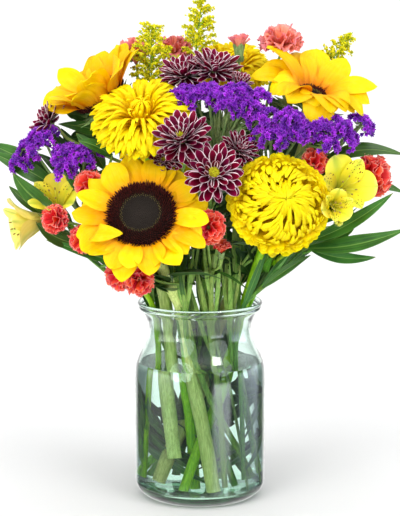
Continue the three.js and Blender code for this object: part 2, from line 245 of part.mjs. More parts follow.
// ---------- solids ----------
function closed(geometry) {
  const g = geometry.clone();
  g.deleteAttribute("normal");
  g.deleteAttribute("uv");
  return mergeVertices(g, 1e-3);
}

function toSolid(geometry) {
  const g = closed(geometry);
  const index = Uint32Array.from(g.index.array);
  const tri = [];
  for (let i = 0; i < index.length; i += 3) {
    if (index[i] !== index[i + 1] && index[i + 1] !== index[i + 2] && index[i] !== index[i + 2]) {
      tri.push(index[i], index[i + 1], index[i + 2]);
    }
  }
  const mesh = new Mesh({ numProp: 3, vertProperties: Float32Array.from(g.attributes.position.array), triVerts: Uint32Array.from(tri) });
  const solid = new Manifold(mesh);
  if (solid.volume() < 0) {
    for (let i = 0; i < tri.length; i += 3) [tri[i], tri[i + 1]] = [tri[i + 1], tri[i]];
    return new Manifold(new Mesh({ numProp: 3, vertProperties: Float32Array.from(g.attributes.position.array), triVerts: Uint32Array.from(tri) }));
  }
  return solid;
}

function toGeometry(solid) {
  const m = solid.getMesh();
  const g = new THREE.BufferGeometry();
  g.setAttribute("position", new THREE.BufferAttribute(Float32Array.from(m.vertProperties), 3));
  g.setIndex(new THREE.BufferAttribute(Uint32Array.from(m.triVerts), 1));
  g.computeVertexNormals();
  return g;
}

// the same solid with every face moved out by d: each corner goes where its moved faces meet
function grown(solid, d = GAP + 0.05) {
  const m = solid.getMesh();
  const v = m.vertProperties;
  const faces = Array.from({ length: v.length / 3 }, () => []);
  const a = new THREE.Vector3();
  const b = new THREE.Vector3();
  const c = new THREE.Vector3();
  for (let i = 0; i < m.triVerts.length; i += 3) {
    const [p, q, r] = m.triVerts.subarray(i, i + 3);
    a.fromArray(v, 3 * p);
    b.fromArray(v, 3 * q).sub(a);
    c.fromArray(v, 3 * r).sub(a);
    const n = new THREE.Vector3().crossVectors(b, c).normalize();
    if (n.lengthSq() < 0.5) continue;
    for (const k of [p, q, r]) {
      if (!faces[k].some((f) => f.dot(n) > 0.97)) faces[k].push(n);
    }
  }
  const out = Float32Array.from(v);
  faces.forEach((list, k) => {
    const e = [1e-3, 0, 0, 0, 1e-3, 0, 0, 0, 1e-3];
    const s = new THREE.Vector3();
    for (const n of list) {
      const w = n.toArray();
      for (let i = 0; i < 3; i += 1) for (let j = 0; j < 3; j += 1) e[3 * i + j] += w[i] * w[j];
      s.addScaledVector(n, d);
    }
    s.applyMatrix3(new THREE.Matrix3().set(...e).invert()).clampLength(0, 3 * d);
    out[3 * k] += s.x;
    out[3 * k + 1] += s.y;
    out[3 * k + 2] += s.z;
  });
  return new Manifold(new Mesh({ numProp: 3, vertProperties: out, triVerts: Uint32Array.from(m.triVerts) }));
}

function biggest(solid) {
  const parts = solid.decompose();
  let best = parts[0];
  for (const q of parts) if (q.volume() > best.volume()) best = q;
  return best;
}

// one body whose corners stay apart by more than the merging distance
function tidy(solid) {
  let s = biggest(solid);
  for (let i = 0; i < 5; i += 1) {
    const before = s.numTri();
    const parts = toSolid(toGeometry(s).toNonIndexed()).decompose();
    s = parts[0];
    for (const q of parts) if (q.volume() > s.volume()) s = q;
    if (parts.length === 1 && s.numTri() === before) break;
  }
  return s;
}

// a curve through given points, straight between them, sampled exactly at each of them
class Polyline extends THREE.Curve {
  constructor(points) {
    super();
    this.points = points.map((q) => new THREE.Vector3(...q));
  }

  getPoint(t, target = new THREE.Vector3()) {
    const s = Math.min(Math.max(t, 0), 1) * (this.points.length - 1);
    const i = Math.min(Math.floor(s + 1e-9), this.points.length - 2);
    return target.copy(this.points[i]).lerp(this.points[i + 1], s - i);
  }

  getPointAt(u, target) {
    return this.getPoint(u, target);
  }

  getTangentAt(u, target = new THREE.Vector3()) {
    const n = this.points.length - 1;
    const k = Math.round(u * n);
    const a = this.points[Math.max(k - 1, 0)];
    const b = this.points[k];
    const c = this.points[Math.min(k + 1, n)];
    const d1 = b.clone().sub(a).normalize();
    const d2 = c.clone().sub(b).normalize();
    return target.copy(d1.add(d2)).normalize();
  }

  getTangent(t, target) {
    return this.getTangentAt(t, target);
  }
}

function tube(points, radius, sides) {
  const outline = new THREE.Shape();
  for (let i = 0; i < sides; i += 1) {
    const a = (2 * Math.PI * i) / sides + 0.37;
    if (i === 0) outline.moveTo(radius * Math.cos(a), radius * Math.sin(a));
    else outline.lineTo(radius * Math.cos(a), radius * Math.sin(a));
  }
  outline.closePath();
  const path = new Polyline(points);
  return new THREE.ExtrudeGeometry(outline, { steps: points.length - 1, extrudePath: path, bevelEnabled: false, curveSegments: 1 });
}

function stemSolid(name) {
  let solid = null;
  for (const [radius, points] of STEMS[name]) {
    const sides = radius > 4 ? STEM_SIDES.thick : radius > 2 ? STEM_SIDES.thin : STEM_SIDES.twig;
    const piece = toSolid(tube(points, radius, sides));
    solid = solid ? solid.add(piece) : piece;
  }
  return solid;
}

// turn a solid made around +Z so that +Z looks along face, and put it at a point
function place(geometry, at, face) {
  const q = new THREE.Quaternion().setFromUnitVectors(new THREE.Vector3(0, 0, 1), new THREE.Vector3(...face).normalize());
  const m = new THREE.Matrix4().makeRotationFromQuaternion(q);
  m.setPosition(...at);
  geometry.applyMatrix4(m);
  return geometry;
}

// a solid of revolution around +Z from [radius, height] pairs, with its rim pulled in and out into lobes
function turned(profile, sides, lobes = 0, depth = 0) {
  const pts = profile.map(([r, z]) => new THREE.Vector2(r, z));
  const g = new THREE.LatheGeometry(pts, sides);
  g.rotateX(Math.PI / 2);
  if (lobes) {
    const p = g.attributes.position;
    for (let i = 0; i < p.count; i += 1) {
      const x = p.getX(i);
      const y = p.getY(i);
      const a = Math.atan2(y, x);
      const f = 1 - depth * (0.5 - 0.5 * Math.cos(lobes * a));
      p.setXY(i, x * f, y * f);
    }
  }
  return g;
}

// ring of ray petals: a scalloped ring, dished like a shallow cup
function petalRing(radius, inner, petals, rise) {
  const shape = new THREE.Shape();
  const n = petals * 2;
  for (let i = 0; i < n; i += 1) {
    const a = (2 * Math.PI * i) / n;
    const r = i % 2 === 0 ? radius : radius * 0.86;
    if (i === 0) shape.moveTo(r * Math.cos(a), r * Math.sin(a));
    else shape.lineTo(r * Math.cos(a), r * Math.sin(a));
  }
  shape.closePath();
  const hole = new THREE.Path();
  for (let i = 0; i < 16; i += 1) {
    const a = (-2 * Math.PI * i) / 16;
    if (i === 0) hole.moveTo(inner * Math.cos(a), inner * Math.sin(a));
    else hole.lineTo(inner * Math.cos(a), inner * Math.sin(a));
  }
  hole.closePath();
  shape.holes.push(hole);
  const g = new THREE.ExtrudeGeometry(shape, { depth: PETAL_T, steps: 1, bevelEnabled: false });
  const p = g.attributes.position;
  for (let i = 0; i < p.count; i += 1) {
    const r = Math.hypot(p.getX(i), p.getY(i));
    p.setZ(i, p.getZ(i) + rise * ((r - inner) / (radius - inner)));
  }
  return g;
}

function leafBlade([base, middle, tip, width, turn]) {
  const A = new THREE.Vector3(...base);
  const B = new THREE.Vector3(...middle);
  const C = new THREE.Vector3(...tip);
  const ctrl = B.clone().multiplyScalar(2).sub(A.clone().add(C).multiplyScalar(0.5));
  const path = new THREE.QuadraticBezierCurve3(A, ctrl, C);
  const half = (u) => 0.5 * width * Math.pow(Math.sin(Math.PI * Math.min(1, Math.max(0, 0.04 + u * 0.96))), 0.8) * (1 - 0.25 * u) + 0.7;
  const g = new THREE.BoxGeometry(1.05, 2, LEAF_T, 4, 1, 1);
  const p = g.attributes.position;
  const front = A.y > 20 ? new THREE.Vector3(C.x * 0.6, C.y, 0).normalize() : new THREE.Vector3(0, -1, 0.1);
  const look = front.multiplyScalar(1 - Math.abs(turn)).add(new THREE.Vector3(0, 0, Math.abs(turn))).normalize();
  for (let i = 0; i < p.count; i += 1) {
    const u = p.getX(i) + 0.475;
    const v = p.getY(i) * half(u);
    const w = p.getZ(i);
    const c = path.getPoint(u);
    const t = path.getTangent(u);
    const side = new THREE.Vector3().crossVectors(look, t).normalize();
    const up = new THREE.Vector3().crossVectors(t, side).normalize();
    c.addScaledVector(side, v).addScaledVector(up, w - 0.012 * v * v);
    p.setXYZ(i, c.x, c.y, c.z);
  }
  return g;
}

function lump([x, y, z, r], k) {
  const g = closed(turned([[0, -0.9 * r], [0.78 * r, -0.5 * r], [r, 0.15 * r], [0.6 * r, 0.72 * r], [0, 0.85 * r]], 6));
  g.rotateZ(k);
  g.translate(x, y, z);
  return g;
}

function plume([axis, radius]) {
  // thin at the foot, widest a third of the way up, pointed at the tip
  const [a, b, c] = axis.map((q) => new THREE.Vector3(...q));
  const path = new THREE.QuadraticBezierCurve3(a, b, c);
  const length = path.getLength();
  const profile = [[0, -6], [1.9, -5], [radius * 0.62, length * 0.12], [radius, length * 0.34], [radius * 0.7, length * 0.62], [radius * 0.34, length * 0.86], [0, length]];
  const g = turned(profile, 8);
  const p = g.attributes.position;
  const up = new THREE.Vector3(0, -1, 0.01);
  for (let i = 0; i < p.count; i += 1) {
    const u = Math.min(1, p.getZ(i) / length);
    const o = path.getPoint(u);
    const t = path.getTangent(u);
    const s = new THREE.Vector3().crossVectors(up, t).normalize();
    const w = new THREE.Vector3().crossVectors(t, s).normalize();
    o.addScaledVector(s, p.getX(i)).addScaledVector(w, p.getY(i));
    p.setXYZ(i, o.x, o.y, o.z);
  }
  return g;
}

// ---------- pieces, the ones that keep their shape first ----------
const pieces = [];
const add = (name, solid, colour, extra = {}) => pieces.push({ name, solid, colour, ...extra });

const wall = [[0, 0], ...OUTER.map(([z, r]) => [r, z]), ...INNER.map(([z, r]) => [r, z]), [0, FLOOR_Z]];
add("vase", toSolid(turned(wall, VASE_SIDES)), COLOURS.glass, { opacity: 0.35 });

for (const name of Object.keys(STEMS)) {
  if (CLUSTERS[name] || PLUMES[name] || LEAVES[name]) continue;
  add(name, stemSolid(name), name.startsWith("sunflower") ? COLOURS.pale_green : COLOURS.green);
}

const foot = (b, d) => b.at.map((v, i) => v - d * b.face[i]);

for (const b of BLOOMS) {
  const dn = b.depth - GAP - 0.1;     // lowest point of the bloom, just above the stem's end
  if (b.kind === "sun") {
    const disc = turned([[0, -dn], [9, -dn + 1], [20, -9], [31, -4.2], [31, 2], [24, 6], [13, 4.4], [0, 3]], 16);
    add(`${b.name}_disc`, toSolid(place(disc, b.at, b.face)), COLOURS.disc);
  }
}
for (const b of BLOOMS) {
  const dn = b.depth - GAP - 0.1;
  const R = b.r;
  if (b.kind === "sun") {
    const cup = b.name.includes("left") ? 26 : b.name.includes("right") ? 12 : 1;
    const ring = petalRing(R, 31.8, 16, cup);
    ring.translate(0, 0, -4.6);
    add(`${b.name}_petals`, toSolid(place(ring, b.at, b.face)), COLOURS.ray);
  } else if (b.kind === "mum") {
    const g = turned([[0, -dn], [10, -dn + 1.5], [R * 0.72, -R * 0.30], [R, -R * 0.08], [R * 0.96, R * 0.16], [R * 0.72, R * 0.40], [0, R * 0.54]], 12, 6, 0.04);
    add(`${b.name}_bloom`, toSolid(place(g, b.at, b.face)), COLOURS.mum);
  } else if (b.kind === "vik") {
    const g = turned([[0, -dn], [5, -dn + 1], [R * 0.9, -3.4], [R, 0.8], [R * 0.7, 4.2], [0, 3.8]], 10);
    add(`${b.name}_bloom`, toSolid(place(g, b.at, b.face)), COLOURS.burgundy);
  } else if (b.kind === "car" || b.kind === "bud") {
    const s = b.kind === "bud" ? 0.62 : 1;
    const g = b.kind === "bud"
      ? turned([[0, -dn], [4, -dn + 1], [5.2, -6], [R * 0.9, 2], [R, 6.5], [0, 7.5]], 8)
      : turned([[0, -dn], [4.2 * s, -dn + 1.2], [5.2 * s, -R * 0.52], [R * 0.86, -R * 0.3], [R, R * 0.12], [R * 0.74, R * 0.52], [0, R * 0.66]], 8);
    add(`${b.name}_bloom`, toSolid(place(g, b.at, b.face)), COLOURS.coral);
  } else {
    const g = turned([[0, -dn], [3.2, -dn + 0.8], [5, -b.depth * 0.55], [R * 0.55, -6], [R, 1.5], [R * 0.9, 3.4], [0, -4]], 12, 6, 0.12);
    add(`${b.name}_bloom`, toSolid(place(g, b.at, b.face)), COLOURS.lily);
  }
}

for (const name of Object.keys(STEMS)) {
  if (CLUSTERS[name]) {
    let solid = stemSolid(name);
    CLUSTERS[name].forEach((c, k) => { solid = solid.add(toSolid(lump(c, k))); });
    add(name, solid, COLOURS.violet, { stem: stemSolid(name) });
  }
}
for (const name of Object.keys(STEMS)) {
  if (PLUMES[name]) {
    let solid = stemSolid(name);
    for (const q of PLUMES[name]) solid = solid.add(toSolid(plume(q)));
    add(name, solid, COLOURS.plume, { stem: stemSolid(name) });
  }
}
for (const name of Object.keys(STEMS)) {
  if (LEAVES[name]) {
    let solid = stemSolid(name);
    for (const q of LEAVES[name]) solid = solid.add(toSolid(leafBlade(q)));
    add(name, solid, COLOURS.leaf, { stem: stemSolid(name) });
  }
}

// the stems of the sprays come before every bloom, so that no flower cuts a stem
const box = (solid) => solid.boundingBox();
const near = (a, b, d) => a.min[0] - d < b.max[0] && b.min[0] - d < a.max[0] && a.min[1] - d < b.max[1]
  && b.min[1] - d < a.max[1] && a.min[2] - d < b.max[2] && b.min[2] - d < a.max[2];

const cutters = [];
const fat = (solid) => ({ solid: grown(solid), box: box(solid) });
const group = new THREE.Group();
group.name = "sunflowers_in_a_vase";

const shown = [];
pieces.forEach((piece, order) => {
  let solid = piece.solid;
  const mine = box(solid);
  const isStem = piece.name.endsWith("_stem");
  pieces.forEach((other, k) => {
    if (k === order) return;
    let cutter = null;
    if (k < order && !(other.name === "vase" && isStem)) cutter = other.solid;
    else if (k > order && other.stem && !isStem && piece.name !== "vase") cutter = other.stem;
    else if (k > order && other.stem && isStem) cutter = null;
    if (k < order && other.stem && piece.stem) cutter = other.solid;
    if (!cutter || !near(mine, box(cutter), 1)) return;
    solid = solid.subtract(grown(cutter));
  });
  solid = tidy(solid);
  shown.push({ ...piece, solid });
});

// water fills the vase to the shoulder, around the stems
const fill = [[0, FLOOR_Z + GAP], ...INNER.slice().reverse().filter(([z]) => z < WATER_Z).map(([z, r]) => [r - GAP, Math.max(z, FLOOR_Z + GAP)]), [59.6, WATER_Z], [0, WATER_Z]];
let water = toSolid(turned(fill, VASE_SIDES));
for (const s of shown) {
  if (s.name === "vase" || s.solid.boundingBox().min[2] > WATER_Z) continue;
  water = water.subtract(grown(s.solid));
}
shown.splice(1, 0, { name: "water", solid: tidy(water), colour: COLOURS.water, opacity: 0.3 });

for (const s of shown) {
  const material = new THREE.MeshStandardMaterial({
    color: s.colour, roughness: s.opacity ? 0.05 : 0.7, metalness: 0, transparent: Boolean(s.opacity), opacity: s.opacity || 1,
  });
  const mesh = new THREE.Mesh(toGeometry(s.solid), material);
  mesh.name = s.name;
  group.add(mesh);
}

export default group;
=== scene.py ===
"""A mixed bouquet in a clear glass vase: three sunflowers, four yellow pompon mums, burgundy daisy mums, coral spray
carnations, yellow alstroemerias, violet statice, goldenrod and cut greens, standing in water.
Lengths in the tables are millimetres, with the origin at the centre of the vase's flat bottom, X to the right, Y away
from the viewer and Z up. Every petal, leaf, floret and stem is a thin closed mesh of its own shape."""
import json
import math

import bpy
import numpy as np
from mathutils import Matrix

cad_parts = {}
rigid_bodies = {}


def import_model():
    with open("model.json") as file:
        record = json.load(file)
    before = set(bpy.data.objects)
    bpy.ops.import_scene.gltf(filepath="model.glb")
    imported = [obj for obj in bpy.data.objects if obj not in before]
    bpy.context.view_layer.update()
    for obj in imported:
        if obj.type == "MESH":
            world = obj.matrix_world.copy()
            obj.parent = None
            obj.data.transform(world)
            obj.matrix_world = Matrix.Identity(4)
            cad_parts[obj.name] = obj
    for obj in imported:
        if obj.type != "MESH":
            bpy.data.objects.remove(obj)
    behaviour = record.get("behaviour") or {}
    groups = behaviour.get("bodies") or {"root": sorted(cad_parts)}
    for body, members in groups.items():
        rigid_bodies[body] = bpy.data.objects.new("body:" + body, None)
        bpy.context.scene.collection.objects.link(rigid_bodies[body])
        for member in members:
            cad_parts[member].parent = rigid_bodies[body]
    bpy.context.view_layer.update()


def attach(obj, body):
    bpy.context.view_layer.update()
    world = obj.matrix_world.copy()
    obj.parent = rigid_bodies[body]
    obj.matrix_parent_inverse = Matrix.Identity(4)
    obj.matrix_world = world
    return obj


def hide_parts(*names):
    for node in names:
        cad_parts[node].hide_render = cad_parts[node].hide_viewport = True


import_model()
scene = bpy.context.scene

# ---------------------------------------------------------------- camera
camera_data = bpy.data.cameras.new("camera")
camera_data.lens = 124.88
camera_data.sensor_width = 36
camera_data.clip_end = 200
camera = bpy.data.objects.new("camera", camera_data)
camera.location = (0, -1.757, 0.5244)
camera.rotation_euler = (math.radians(90 - 9.17), 0, 0)
scene.collection.objects.link(camera)
scene.camera = camera

# ---------------------------------------------------------------- tables
# every bloom: name, kind, centre, the way it faces, radius and depth behind its centre
BLOOMS = [
    ["sunflower_front", "sun", [-54.5, -118.0, 301.0], [-0.1154, -0.821, 0.5592], 62, 16],
    ["sunflower_left", "sun", [-97.8, -20.0, 403.0], [-0.5675, -0.3546, 0.7431], 58, 16],
    ["sunflower_right", "sun", [101.2, -46.0, 403.8], [-0.0868, -0.4924, 0.866], 58, 16],
    ["mum_left", "mum", [-54.7, -70.0, 383.9], [-0.1116, -0.633, 0.766], 46, 22],
    ["mum_right", "mum", [73.4, -108.0, 309.0], [0.0994, -0.9458, 0.309], 47, 24],
    ["mum_top", "mum", [30.8, 30.0, 425.3], [0.0409, -0.4677, 0.8829], 40, 20],
    ["mum_back", "mum", [-33.4, 100.0, 312.3], [0.1836, 0.8637, 0.4695], 44, 22],
    ["burgundy_mum_1", "vik", [-15.3, -36.0, 426.1], [-0.1984, -0.4255, 0.8829], 24, 9],
    ["burgundy_mum_2", "vik", [13.4, -40.0, 432.0], [0.1053, -0.3929, 0.9135], 26, 9],
    ["burgundy_mum_3", "vik", [37.9, -58.0, 417.0], [0.3039, -0.4341, 0.848], 13, 8],
    ["burgundy_mum_4", "vik", [-17.5, -112.0, 371.7], [-0.1798, -0.7211, 0.6691], 27, 9],
    ["burgundy_mum_5", "vik", [12.8, -126.0, 340.0], [0.0319, -0.913, 0.4067], 27, 9],
    ["burgundy_mum_6", "vik", [-149.0, -26.0, 378.3], [-0.8637, -0.1836, 0.4695], 21, 8],
    ["burgundy_mum_7", "vik", [37.3, -92.0, 359.6], [0.3716, -0.6436, 0.6691], 18, 8],
    ["burgundy_mum_8", "vik", [-33.8, -84.0, 347.5], [-0.1504, -0.8529, 0.5], 17, 8],
    ["carnation_1", "car", [-137.9, -70.0, 289.7], [-0.4555, -0.8567, 0.2419], 14.5, 11],
    ["carnation_2", "car", [-106.1, -72.0, 323.4], [-0.3798, -0.8146, 0.4384], 15, 12],
    ["carnation_3", "car", [-112.3, -72.0, 269.8], [-0.4997, -0.8655, -0.0349], 14, 11],
    ["carnation_4", "car", [-76.7, -86.0, 237.4], [-0.4623, -0.8695, -0.1736], 15, 12],
    ["carnation_5", "car", [-57.5, -94.0, 234.0], [-0.0339, -0.9697, -0.2419], 15, 12],
    ["carnation_6", "car", [8.3, -120.0, 289.2], [0.0677, -0.9679, 0.2419], 16, 12],
    ["carnation_7", "car", [20.6, -100.0, 265.5], [0.0815, -0.4623, 0.8829], 9.0, 10],
    ["carnation_8", "bud", [37.4, -30.0, 452.5], [0.0, -0.0698, 0.9976], 10, 16],
    ["carnation_9", "car", [78.3, -14.0, 458.6], [0.0479, -0.2714, 0.9613], 18, 10],
    ["carnation_10", "car", [-65.9, 14.0, 445.8], [-0.1606, -0.4412, 0.8829], 13, 11],
    ["carnation_11", "car", [-25.7, 24.0, 448.3], [0.0354, -0.4052, 0.9135], 13, 11],
    ["carnation_12", "car", [108.2, -80.0, 345.2], [0.2835, -0.779, 0.5592], 14, 11],
    ["carnation_13", "car", [165.7, -52.0, 328.7], [0.7494, -0.5855, 0.309], 18, 12],
    ["carnation_14", "car", [85.3, 92.0, 297.6], [0.4494, 0.7784, 0.4384], 17, 12],
    ["alstroemeria_1", "als", [-175.5, -55.0, 294.3], [-0.9303, -0.3023, 0.2079], 23, 34],
    ["alstroemeria_2", "als", [-141.0, -52.0, 311.4], [-0.1444, -0.6795, 0.7193], 22, 30],
    ["alstroemeria_3", "als", [139.2, -84.0, 324.8], [0.2865, -0.8818, 0.3746], 26, 30],
    ["alstroemeria_4", "als", [112.8, -116.0, 307.3], [-0.3073, -0.9458, 0.1045], 21, 28],
]
